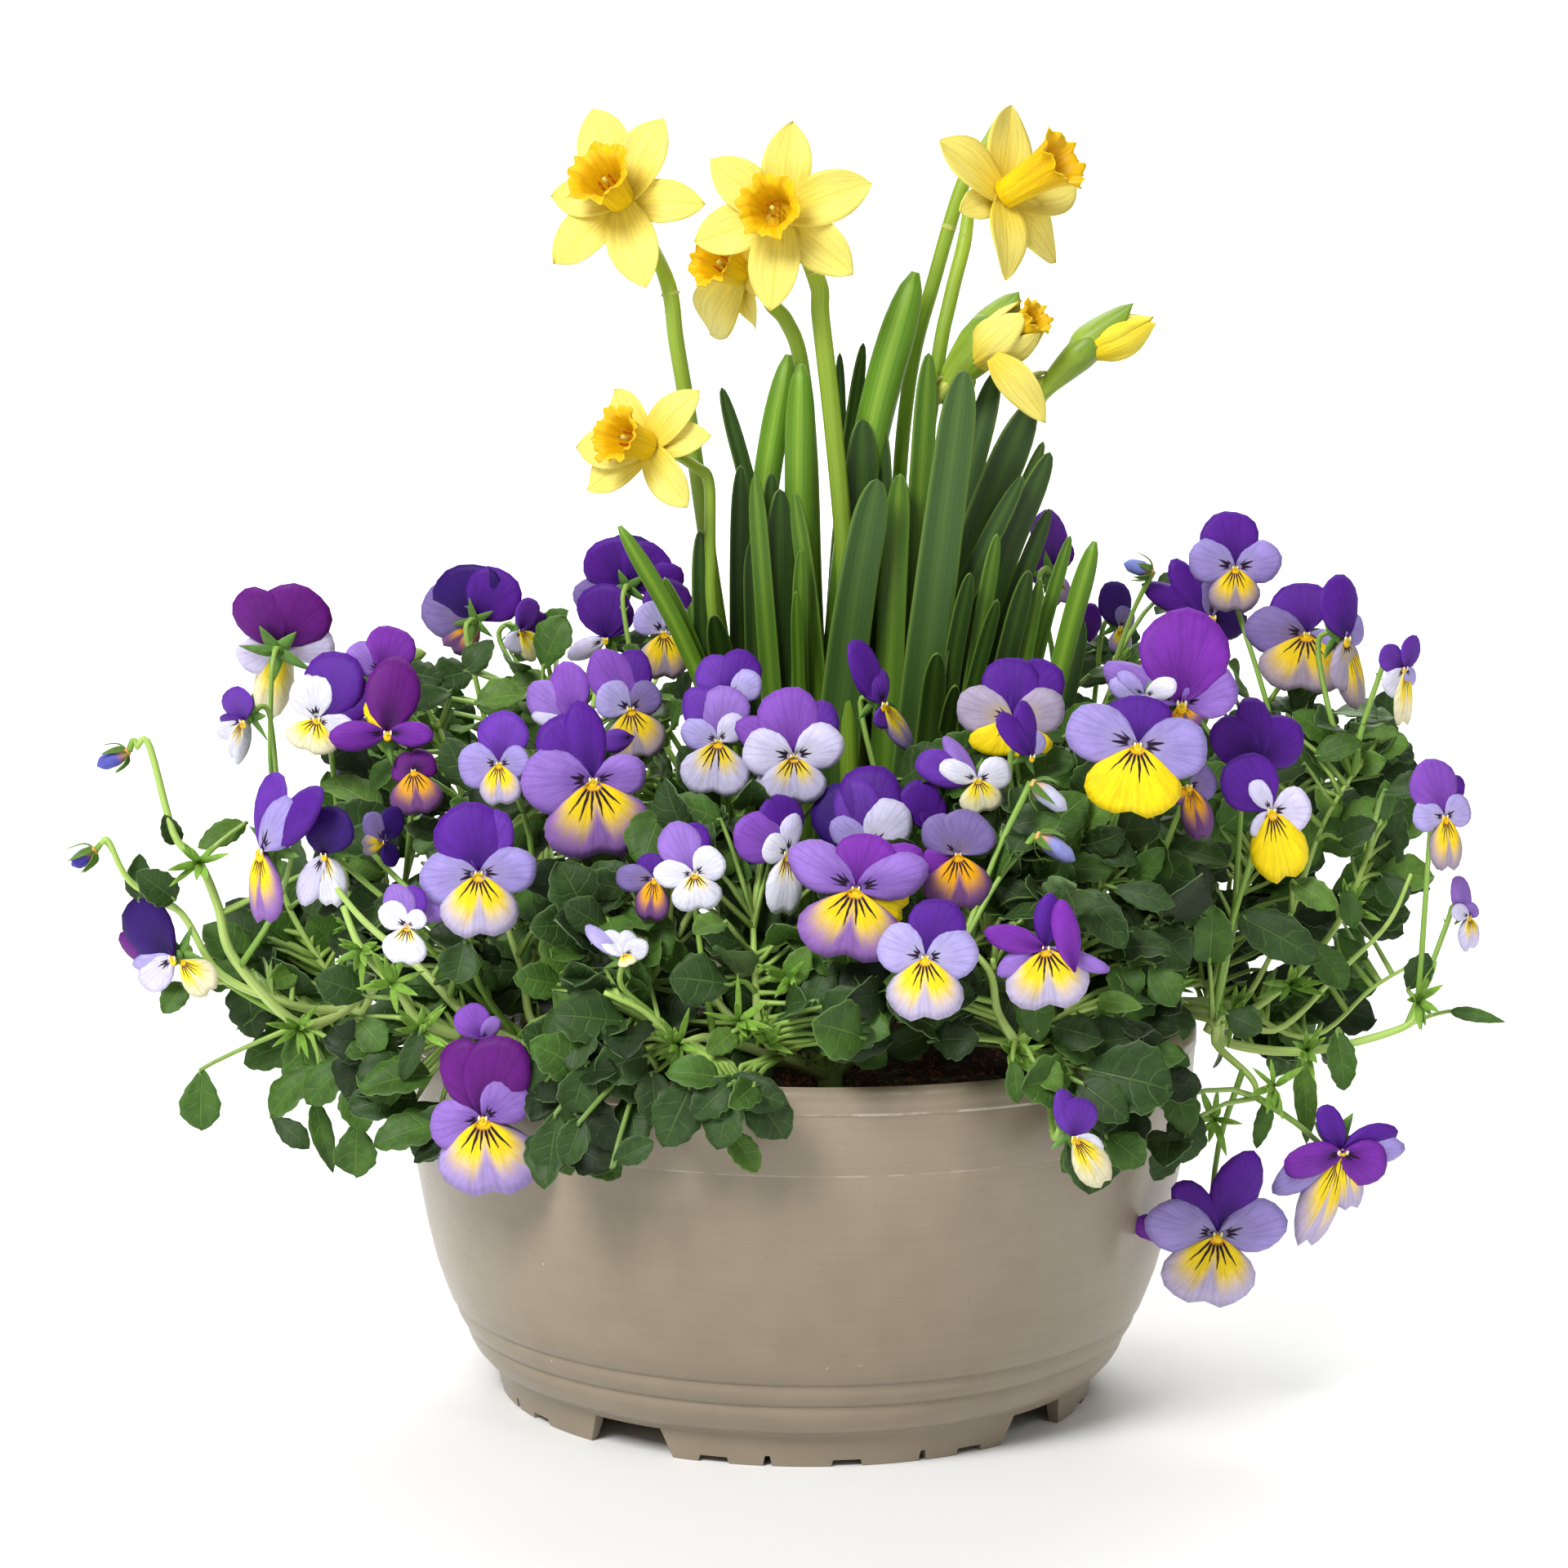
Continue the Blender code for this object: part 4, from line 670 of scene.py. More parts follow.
def lines_group() -> bpy.types.NodeTree:
    """Dark tapering lines that radiate from a petal's foot, each of its own length."""
    tree, given = new_group("Radiating lines", "Mask", Count=7.0, Width=0.05, From=0.1, To=0.55, Spread=0.8,
                            Seed=0.0)
    across, y, _ = tree.parts(given["Place"])
    wobble = tree.about(tree.noise(given["Place"], 5.0, 1.0), 0.04)
    x = tree.times(tree.plus(across, wobble), given["Count"])
    offset = tree.size(tree.minus(tree.math("FRACT", x), 0.5))
    chance = tree.node("ShaderNodeTexWhiteNoise", noise_dimensions="1D")
    tree.put(chance.inputs["W"], tree.plus(tree.math("FLOOR", x), tree.times(given["Seed"], 37.7)))
    end = tree.times(given["To"], tree.line(chance.outputs["Value"], 0.45, 0.70))
    taper = tree.span(y, tree.times(end, 0.45), end, 1.0, 0.0)
    rise = tree.span(y, given["From"], tree.plus(given["From"], 0.05))
    reach = tree.times(tree.math("DIVIDE", offset, given["Count"]), y)
    width = tree.times(given["Width"], tree.line(taper, 0.7, 0.3))
    line = tree.span(reach, tree.times(width, 0.45), width, 1.0, 0.0)
    inside = tree.span(tree.beside(across), given["Spread"], tree.plus(given["Spread"], 0.08), 1.0, 0.0)
    return tree.close(tree.times(tree.times(line, tree.span(taper, 0.0, 0.15)), tree.times(rise, inside)))


def veins_group() -> bpy.types.NodeTree:
    """A leaf's midrib and its side veins."""
    tree, given = new_group("Leaf veins", "Mask", Pairs=5.0, Slant=0.9)
    across, y, _ = tree.parts(given["Place"])
    far = tree.beside(across)
    rib = tree.span(far, 0.02, tree.line(y, -0.06, 0.10), 1.0, 0.0)
    bent = tree.times(tree.math("POWER", far, 1.4), given["Slant"])
    wave = tree.about(tree.noise(given["Place"], 6.0, 1.0), 0.4)
    way = tree.plus(tree.minus(tree.times(y, given["Pairs"]), bent), wave)
    offset = tree.size(tree.minus(tree.math("FRACT", way), 0.5))
    side = tree.times(tree.span(offset, 0.02, 0.10, 0.45, 0.0), tree.span(far, 0.75, 1.0, 1.0, 0.2))
    return tree.close(tree.math("MAXIMUM", rib, side))


def mottle_group() -> bpy.types.NodeTree:
    """Soft blotches at two sizes, as a value between two limits."""
    tree, given = new_group("Mottle", "Value", Scale=60.0, Low=0.8, High=1.2)
    large = tree.noise(given["Place"], given["Scale"], 2.0)
    small = tree.noise(given["Place"], tree.times(given["Scale"], 6.0), 3.0)
    both = tree.line(small, 0.4, tree.times(large, 0.6))
    return tree.close(tree.span(both, 0.32, 0.68, given["Low"], given["High"]))


class Effects:
    """The node groups that the finishes share."""

    def __init__(self) -> None:
        """Builds them."""
        self.streaks = streaks_group()
        self.lines = lines_group()
        self.veins = veins_group()
        self.mottle = mottle_group()


@dataclass(frozen=True)
class Finish:
    """What every finish has: how rough and shiny it is, its bump, and how much light goes through it."""

    name: str
    rough: Pair = (0.46, 0.56)
    specular: float = 0.4
    bump: Pair = (0.3, 0.0005)
    through: float = 0.0
    through_radius: Colour = (0.5, 1.0, 0.2)

    def paint(self, tree: Tree, effects: Effects) -> Painted:
        """The colour, and a value about one half that sets the height and the roughness."""
        raise NotImplementedError

    def make(self, effects: Effects) -> bpy.types.Material:
        """The material."""
        material = bpy.data.materials.new(self.name)
        material.use_nodes = True
        tree = Tree(material.node_tree)
        shader = material.node_tree.nodes["Principled BSDF"]
        colour, height = self.paint(tree, effects)
        bump = tree.node("ShaderNodeBump")
        strength, distance = self.bump
        for socket, value in ((shader.inputs["Base Color"], colour), (bump.inputs["Height"], height),
                              (bump.inputs["Strength"], strength), (bump.inputs["Distance"], distance),
                              (shader.inputs["Normal"], bump.outputs[0]),
                              (shader.inputs["Roughness"], tree.span(height, 0.25, 0.75, *self.rough)),
                              (shader.inputs["Specular IOR Level"], self.specular),
                              (shader.inputs["Subsurface Weight"], self.through),
                              (shader.inputs["Subsurface Radius"], self.through_radius),
                              (shader.inputs["Subsurface Scale"], 0.0012)):
            tree.put(socket, value)
        return material


@dataclass(frozen=True)
class Veined(Finish):
    """Fine streaks along a blade or stem, which runs from its root colour to its edge colour."""

    count: float = 9.0
    length: float = 3.0
    tone: Pair = (0.80, 1.12)
    run: Pair = (0.0, 1.0)
    rib: Pair = (0.3, 0.0)
    edge: float = 0.0
    # foot is painted shade: the share of its colour that a blade keeps at its foot.
    foot: float = 1.0

    def paint(self, tree: Tree, effects: Effects) -> Painted:
        """The streaks on the blade's two colours, with its rib, its pale edge and a painted shade at its
        foot.
        """
        place, across, along = tree.place()
        inner, outer = tree.colours()
        streaks = tree.group(effects.streaks, Place=place, Count=self.count, Length=self.length)
        beside = tree.beside(across)
        colour = tree.mix(tree.span(along, *self.run), inner, outer)
        width, amount = self.rib
        colour = tree.mix(tree.span(beside, 0.0, width, amount, 0.0), colour, inner)
        colour = tree.tint(colour, tree.span(streaks, 0.25, 0.75, *self.tone))
        colour = tree.mix(tree.span(beside, 0.80, 1.0, 0.0, self.edge), colour, srgb(146, 178, 70))
        # Painted shade: the blade darkens towards its foot by the factor foot.
        return tree.tint(colour, tree.span(along, 0.15, 0.7, self.foot, 1.0)), streaks


@dataclass(frozen=True)
class Velvet(Finish):
    """A pansy's petal: two colours that run into each other, fine veins, and dark lines by the throat."""

    def paint(self, tree: Tree, effects: Effects) -> Painted:
        """The petal's colours; its marks give the inner one's reach, and the lines' strength and length."""
        place, _, along = tree.place()
        inner, outer = tree.colours()
        marks = tree.named("marks")
        parts = tree.node("ShaderNodeSeparateColor")
        tree.put(parts.inputs[0], marks.outputs["Color"])
        reach, whiskers, length = parts.outputs
        seed = marks.outputs["Alpha"]
        side = tree.math("GREATER_THAN", seed, 1.5)
        streaks = tree.group(effects.streaks, Place=place, Count=34.0, Length=2.2)
        ragged = tree.plus(along, tree.about(streaks, 0.30))
        near = tree.span(ragged, tree.minus(reach, 0.28), tree.plus(reach, 0.20), 1.0, 0.0)
        colour = tree.mix(near, outer, inner)
        colour = tree.tint(colour, tree.span(streaks, 0.25, 0.75, 0.76, 1.08))
        blotch = tree.group(effects.mottle, Place=tree.objects(), Scale=45.0, Low=0.88, High=1.08)
        colour = tree.tint(colour, blotch)
        # Upper petals and wings grow darker towards the foot and lighter at the rim: partly their own tone,
        # partly a painted sheen at the rim.
        shaded = tree.tint(colour, tree.span(along, 0.0, 0.85, 0.74, 1.05))
        colour = tree.mix(side, colour, shaded)
        throat = tree.times(tree.span(along, 0.05, 0.34, 0.75, 0.0), tree.minus(1.0, side))
        colour = tree.mix(throat, colour, srgb(250, 172, 4))
        dark = tree.group(effects.lines, Place=place, Count=tree.line(side, -2.0, 8.0),
                          Width=tree.line(side, 0.014, 0.012), From=0.11, To=length,
                          Spread=tree.line(side, -0.30, 0.74), Seed=seed)
        return tree.mix(tree.times(dark, whiskers), colour, (0.010, 0.001, 0.016)), streaks


@dataclass(frozen=True)
class LeafBlade(Finish):
    """A pansy's leaf: a lighter midrib and side veins, a pale edge and blotches."""

    def paint(self, tree: Tree, effects: Effects) -> Painted:
        """The leaf's colour with its veins, which also lie lower than the blade."""
        place, across, _ = tree.place()
        inner, outer = tree.colours()
        veins = tree.group(effects.veins, Place=place, Pairs=5.0, Slant=0.9)
        blotch = tree.group(effects.mottle, Place=tree.objects(), Scale=70.0, Low=0.66, High=1.24)
        colour = tree.mix(tree.times(veins, 0.34), tree.tint(outer, blotch), inner)
        colour = tree.mix(tree.span(tree.beside(across), 0.93, 1.0, 0.0, 0.35), colour, inner)
        return colour, tree.minus(1.0, veins)


@dataclass(frozen=True)
class Peat(Finish):
    """Dark peat with reddish crumbs."""

    def paint(self, tree: Tree, effects: Effects) -> Painted:
        """Crumbs at two sizes."""
        inner, outer = tree.colours()
        crumbs = tree.noise(tree.objects(), 420.0, 6.0, 0.7)
        patches = tree.noise(tree.objects(), 60.0, 3.0)
        colour = tree.mix(tree.span(crumbs, 0.42, 0.66), inner, outer)
        return tree.mix(tree.span(patches, 0.45, 0.75, 0.0, 0.6), colour, srgb(74, 44, 32)), crumbs


@dataclass(frozen=True)
class MouldedPlastic(Finish):
    """The bowl's satin taupe plastic, with fine scratches, pale specks, and pale lines along its lip and
    crease that are partly wear and partly painted highlight.
    """

    base: Colour = srgb(145, 132, 111)
    deep: Colour = srgb(136, 123, 103)
    scuff_and_highlight: Colour = srgb(214, 208, 196)
    lip_height: float = 0.1222
    crease_height: float = 0.1026

    def paint(self, tree: Tree, effects: Effects) -> Painted:
        """Soft blotches, then specks, scratches and the pale edge lines, partly wear and partly painted
        highlight.
        """
        objects = tree.objects()
        height = tree.parts(objects)[2]
        colour = tree.mix(tree.group(effects.mottle, Place=objects, Scale=14.0, Low=0.0, High=1.0), self.deep,
                          self.base)
        specks = tree.node("ShaderNodeTexVoronoi")
        tree.put(specks.inputs["Vector"], objects)
        tree.put(specks.inputs["Scale"], 150.0)
        dots = tree.times(tree.span(specks.outputs["Distance"], 0.03, 0.08, 1.0, 0.0),
                          tree.math("GREATER_THAN", tree.noise(objects, 40.0, 2.0), 0.62))
        colour = tree.mix(tree.times(dots, 0.55), colour, self.scuff_and_highlight)
        scratch = tree.node("ShaderNodeMapping")
        tree.put(scratch.inputs["Vector"], objects)
        scratch.inputs["Rotation"].default_value = (0.5, 0.3, 0.9)
        scratch.inputs["Scale"].default_value = (40.0, 900.0, 900.0)
        lines = tree.times(tree.span(tree.noise(scratch.outputs[0], 1.0, 2.0), 0.72, 0.78),
                           tree.math("GREATER_THAN", tree.noise(objects, 25.0, 1.0), 0.55))
        colour = tree.mix(tree.times(lines, 0.30), colour, self.scuff_and_highlight)
        brushed = tree.node("ShaderNodeMapping")
        tree.put(brushed.inputs["Vector"], objects)
        brushed.inputs["Scale"].default_value = (7.0, 7.0, 900.0)
        colour = tree.tint(colour, tree.span(tree.noise(brushed.outputs[0], 1.0, 3.0), 0.3, 0.7, 0.975, 1.02))
        # Pale broken lines at the lip and the crease: partly wear, partly a painted highlight where the edges
        # catch the light.
        for level, width, amount in ((self.lip_height, 0.0006, 0.50), (self.crease_height, 0.0004, 0.25)):
            away = tree.size(tree.minus(height, level))
            worn_and_highlit = tree.times(tree.span(away, width * 0.3, width, 1.0, 0.0),
                              tree.span(tree.noise(objects, 120.0, 4.0), 0.38, 0.62))
            colour = tree.mix(tree.times(worn_and_highlit, amount), colour, self.scuff_and_highlight)
        return colour, tree.noise(objects, 900.0, 3.0)


class Finishes:
    """Every material of the planter."""

    def __init__(self) -> None:
        """Makes them."""
        effects = Effects()
        gold, rose = (1.0, 0.88, 0.25), (1.0, 0.6, 0.9)
        self.petal = Velvet("Pansy petal", (0.52, 0.62), 0.2, (0.3, 0.0006), 0.15, rose).make(effects)
        self.leaf = LeafBlade("Pansy leaf", (0.42, 0.54), 0.28, (0.5, 0.0007), 0.06).make(effects)
        self.heart = Veined("Pansy heart", (0.5, 0.6), 0.3).make(effects)
        self.stem = Veined("Green stem", (0.40, 0.50), 0.4, (0.2, 0.0004), 0.10).make(effects)
        # The strap's foot=0.5 is painted shade: straps darken towards the clump's foot.
        self.strap = Veined("Strap leaf", (0.36, 0.50), 0.36, (0.3, 0.0005), 0.05, count=26.0, length=1.6,
                            tone=(0.76, 1.12), run=(-0.2, -0.1), rib=(0.5, 0.5), edge=0.3,
                            foot=0.5).make(effects)
        self.tepal = Veined("Daffodil tepal", (0.46, 0.56), 0.3, (0.4, 0.0008), 0.3, gold, count=16.0,
                            length=1.8, tone=(0.80, 1.04), run=(0.10, 0.60), rib=(0.16, 0.4)).make(effects)
        self.trumpet = Veined("Daffodil trumpet", (0.46, 0.56), 0.3, (0.5, 0.0010), 0.32, gold, count=40.0,
                              length=1.5, tone=(0.80, 1.06), run=(0.2, 0.95)).make(effects)
        self.sheath = Veined("Papery sheath", (0.55, 0.65), 0.2, tone=(0.6, 1.2)).make(effects)
        self.bowl = MouldedPlastic("Taupe plastic", (0.27, 0.38), 0.55, (0.06, 0.0004)).make(effects)
        self.soil = Peat("Peat", (0.36, 0.50), 0.4, (0.9, 0.0025)).make(effects)


# Turned pieces


def spun(name: str, profile: Sequence[Pair], steps: int) -> Thing:
    """A closed shape turned about Z.

    Args:
        name: the object's name.
        profile: points (radius, height) in millimetres, which start and end on the axis.
        steps: how many faces go round.

    Returns:
        The object.
    """
    start_modelling()
    mesh = bpy.data.meshes.new(name)
    mesh.from_pydata([(r * MM, 0, z * MM) for r, z in profile],
                     [(i, i + 1) for i in range(len(profile) - 1)], [])
    obj = bpy.data.objects.new(name, mesh)
    bpy.context.scene.collection.objects.link(obj)
    bpy.context.view_layer.objects.active = obj
    obj.select_set(True)
    bpy.ops.object.mode_set(mode="EDIT")
    bpy.ops.mesh.select_all(action="SELECT")
    bpy.ops.mesh.spin(steps=steps, angle=2 * math.pi, center=(0, 0, 0), axis=(0, 0, 1))
    bpy.ops.mesh.select_all(action="SELECT")
    bpy.ops.mesh.remove_doubles(threshold=1e-6)
    bpy.ops.mesh.normals_make_consistent(inside=False)
    bpy.ops.object.mode_set(mode="OBJECT")
    return obj


def cut(obj: Thing, cutters: Sequence[Thing]) -> None:
    """Cuts other objects out of one, and removes them."""
    start_modelling()
    bpy.context.view_layer.objects.active = cutters[0]
    for cutter in cutters:
        cutter.select_set(True)
    bpy.ops.object.join()
    joined = bpy.context.object
    start_modelling()
    bpy.context.view_layer.objects.active = obj
    obj.select_set(True)
    boolean = obj.modifiers.new("cut", "BOOLEAN")
    boolean.operation = "DIFFERENCE"
    boolean.solver = "EXACT"
    boolean.object = joined
    bpy.ops.object.modifier_apply(modifier=boolean.name)
    bpy.data.objects.remove(joined)


def paint_evenly(obj: Thing, look: Look) -> None:
    """Gives a piece one colour near its root and one at its edge, for the finishes that read them."""
    count = len(obj.data.vertices)
    for name, colour in (("inner", look.inner), ("outer", look.outer)):
        values = obj.data.attributes.new(name, "FLOAT_COLOR", "POINT")
        values.data.foreach_set("color", np.tile(np.array((*colour, 1), dtype=np.float32), count))


@dataclass
class Bowl:
    """The round plastic bowl with its lip, its two low ridges and its notched foot."""

    steps: int = 180
    foot_radius: float = 100.5
    arch_angles: tuple[float, ...] = (-122, -39, 51, 141)
    arch_top: float = 25.0
    arch_foot: float = 34.0
    arch_height: float = 9.8
    wide_notches: tuple[float, ...] = (-24.5, 0.0, 24.5)
    wide_notch: Triple = (12, 9, 2.3)
    narrow_notches: tuple[float, ...] = (-14.5, 14.5)
    narrow_notch: Triple = (4.2, 1.6, 3.6)
    cutter_half: float = 9.0
    cutter_floor: float = -3.0
    smooth_angle: float = math.radians(32)
    profile: tuple[Pair, ...] = (
        (0, 9.5), (94, 9.5), (96.0, 9.0), (97, 8), (97, 0.4), (97.4, 0), (100.1, 0), (100.5, 0.4), (101.6, 6),
        (102.6, 10.4), (103.4, 11.6), (105.2, 12.4), (107.2, 13.3), (109.6, 16.0), (111.3, 18.9),
        (112.1, 21.2), (111.9, 22.3), (111.9, 23.0), (112.9, 23.8), (114.0, 25.0), (115.3, 27.2),
        (115.9, 29.2), (115.7, 30.3), (115.8, 31.0), (116.8, 31.8), (117.9, 33.0), (119.8, 38), (122.6, 46),
        (125.4, 57), (127.6, 68), (129.7, 80), (131.4, 92), (132.3, 101.8), (132.2, 102.5), (132.4, 103.2),
        (133.2, 112), (133.6, 120.8), (133.5, 121.5), (133.9, 122.0), (134.0, 122.6), (133.8, 123.4),
        (134.0, 125.4), (133.9, 127.0), (133.4, 128.6), (132.5, 129.9), (131.3, 130.5), (130.2, 130.2),
        (129.5, 129.2), (129.2, 127.6), (128.7, 100), (124.8, 68), (115.0, 32.2), (102.4, 14.3), (0, 14.3))

    def prism(self, angle: float, low: float, high: float, height: float) -> Thing:
        """A wedge through the foot: low wide at the floor and high wide at its top, in millimetres."""
        start_modelling()
        bpy.ops.mesh.primitive_cube_add(size=2)
        obj = bpy.context.object
        turn = Matrix.Rotation(math.radians(angle), 4, "Z")
        for vertex in obj.data.vertices:
            top = vertex.co.z > 0
            spot = Vector((self.foot_radius + self.cutter_half * vertex.co.x,
                           (high if top else low) / 2 * vertex.co.y, height if top else self.cutter_floor))
            vertex.co = turn @ (spot * MM)
        return obj

    def build(self, finishes: Finishes) -> None:
        """The bowl in place of its plainer solid."""
        bowl = spun("bowl_moulded", self.profile, self.steps)
        cutters = [self.prism(angle, self.arch_foot, self.arch_top, self.arch_height)
                   for angle in self.arch_angles]
        for start, end in zip(self.arch_angles, (*self.arch_angles[1:], self.arch_angles[0] + 360)):
            middle = (start + end) / 2
            cutters += [self.prism(middle + offset, *self.wide_notch) for offset in self.wide_notches]
            cutters += [self.prism(middle + offset, *self.narrow_notch) for offset in self.narrow_notches]
        cut(bowl, cutters)
        bowl.data.materials.clear()
        bowl.data.materials.append(finishes.bowl)
        start_modelling()
        bpy.context.view_layer.objects.active = bowl
        bowl.select_set(True)
        bpy.ops.object.shade_smooth_by_angle(angle=self.smooth_angle)
        settle(bowl, "bowl")


@dataclass
class Soil:
    """The peat that fills the bowl, with crumbs and fibres on it."""

    edge: float = 119.0
    radius: float = 128.2
    steps: int = 150
    rings: int = 44
    mound: float = 3.5
    mound_radius: float = 134.0
    fibres: int = 1200
    crumbs: int = 620
    scatter_radius: float = 126.4
    fibre_limit: float = 127.2
    front_share: float = 0.6
    pale_share: float = 0.14
    seed: int = 3
    dark: Look = Look(srgb(40, 23, 16), srgb(110, 62, 42))
    fibre: Look = Look(srgb(112, 62, 40), srgb(178, 106, 70))
    pale_fibre: Look = Look(srgb(150, 108, 78), srgb(200, 160, 124))

    def height(self, x: float, y: float) -> float:
        """The soil's height in metres at a place in metres."""
        radius = math.hypot(x, y) / MM
        angle = math.atan2(y, x)
        mound = self.mound * (1 - (radius / self.mound_radius) ** 2)
        lumps = math.sin(radius / 7 + 3 * angle) * math.cos(5 * angle + radius / 11)
        fine = noise.fractal(Vector((x, y, 0.3)) * 160, 0.8, 2.1, 4)
        return (self.edge + mound + 0.8 * lumps + 1.5 * fine) * MM

    def build(self, finishes: Finishes) -> None:
        """The soil in place of its plainer solid."""
        side = [(0, 15.2), (101.2, 15.2), (114.0, 33), (123.6, 68), (127.2, 100), (self.radius, 116)]
        top = [(self.radius * (1 - i / self.rings), self.edge) for i in range(self.rings)] + [(0, self.edge)]
        soil = spun("soil_peat", [*side, *top], self.steps)
        for vertex in soil.data.vertices:
            if vertex.co.z > (self.edge - 1) * MM:
                vertex.co.z = self.height(vertex.co.x, vertex.co.y)
        paint_evenly(soil, self.dark)
        soil.data.materials.clear()
        soil.data.materials.append(finishes.soil)
        soil.data.shade_smooth()
        settle(soil, "soil")
        self.scatter(finishes)

    def scatter(self, finishes: Finishes) -> None:
        """Fibres and crumbs that lie on the soil, more of them towards the front."""
        draw = Draw(self.seed)
        pile = Pile()
        for index in range(self.fibres + self.crumbs):
            in_front = draw.random() < self.front_share
            angle = draw.gauss(-math.pi / 2, 0.9) if in_front else draw.uniform(0, 2 * math.pi)
            radius = self.scatter_radius * math.sqrt(draw.uniform(0.25, 1)) * MM
            x, y = radius * math.cos(angle), radius * math.sin(angle)
            ground = vec(x, y, self.height(x, y))
            look = self.pale_fibre if draw.random() < self.pale_share else self.fibre
            if index < self.fibres:
                way = draw.uniform(0, 2 * math.pi)
                step = heading(way) * draw.uniform(1.2, 3.4) * MM
                bend = vec(draw.uniform(-1, 1), draw.uniform(-1, 1), draw.uniform(0.2, 1.6)) * MM
                path = np.array((ground - step - UP * 0.4 * MM, ground + bend, ground + step + bend * 0.3))
                if np.linalg.norm(path[:, :2], axis=1).max() < self.fibre_limit * MM:
                    add_bar(pile, path, mm(0.16, 0.24, 0.10), 0, look, 4, 3)
            else:
                size = draw.uniform(0.5, 1.5) * MM
                axes = np.array([[draw.gauss(0, 1) for _ in range(3)] for _ in range(3)])
                add_ball(pile, ground + UP * size * 0.3, unit(axes) * size, 0, look, 6, 4)
        piece = pile.build("soil_fibres", [finishes.heart])
        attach(piece, "root")


def settle(piece: Thing, node: str) -> None:
    """Attaches a piece to the root body, hides the CAD node that it replaces, and logs its face count.

    Args:
        piece: the finished piece.
        node: the CAD node that it replaces.
    """
    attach(piece, "root")
    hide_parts(node)
    LOG.info("%s: %d faces", piece.name, len(piece.data.polygons))


# Daffodils

# Strap colours by a strap's tone: partly the leaves' own variation, partly painted light; tone 1 is a strap
# painted as sunlit, tone 2 a greyer green.
STRAP_TONES_AND_LIGHT = (Look(srgb(72, 103, 30), srgb(42, 69, 18)), Look(srgb(122, 154, 44), srgb(74, 112, 24)),
               Look(srgb(86, 117, 50), srgb(60, 92, 35)))
STRAP_UNDER = Look(srgb(90, 122, 46), srgb(60, 92, 32))
STRAP_BUD = Look(srgb(146, 180, 56), srgb(95, 138, 32))
SCAPE = Look(srgb(108, 140, 30), srgb(150, 176, 54))
TEPAL = Look(srgb(234, 208, 68), srgb(235, 220, 112))
TEPAL_BACK = Look(srgb(234, 206, 60), srgb(238, 222, 104))
TRUMPET = Look(srgb(240, 200, 8), srgb(234, 186, 2))
SHEATH = Look(srgb(150, 170, 80), srgb(206, 200, 120))
STRAP_SLOT, SCAPE_SLOT, SHEATH_SLOT = range(3)


class Strap(NamedTuple):
    """A strap leaf by its tip, a point halfway and its lowest seen point in the picture."""

    tip: Pair
    half: Pair
    low: Pair
    depth: float
    width: float
    tone: int = 0
    turn: float = 0.1
    thick: float = 0.0


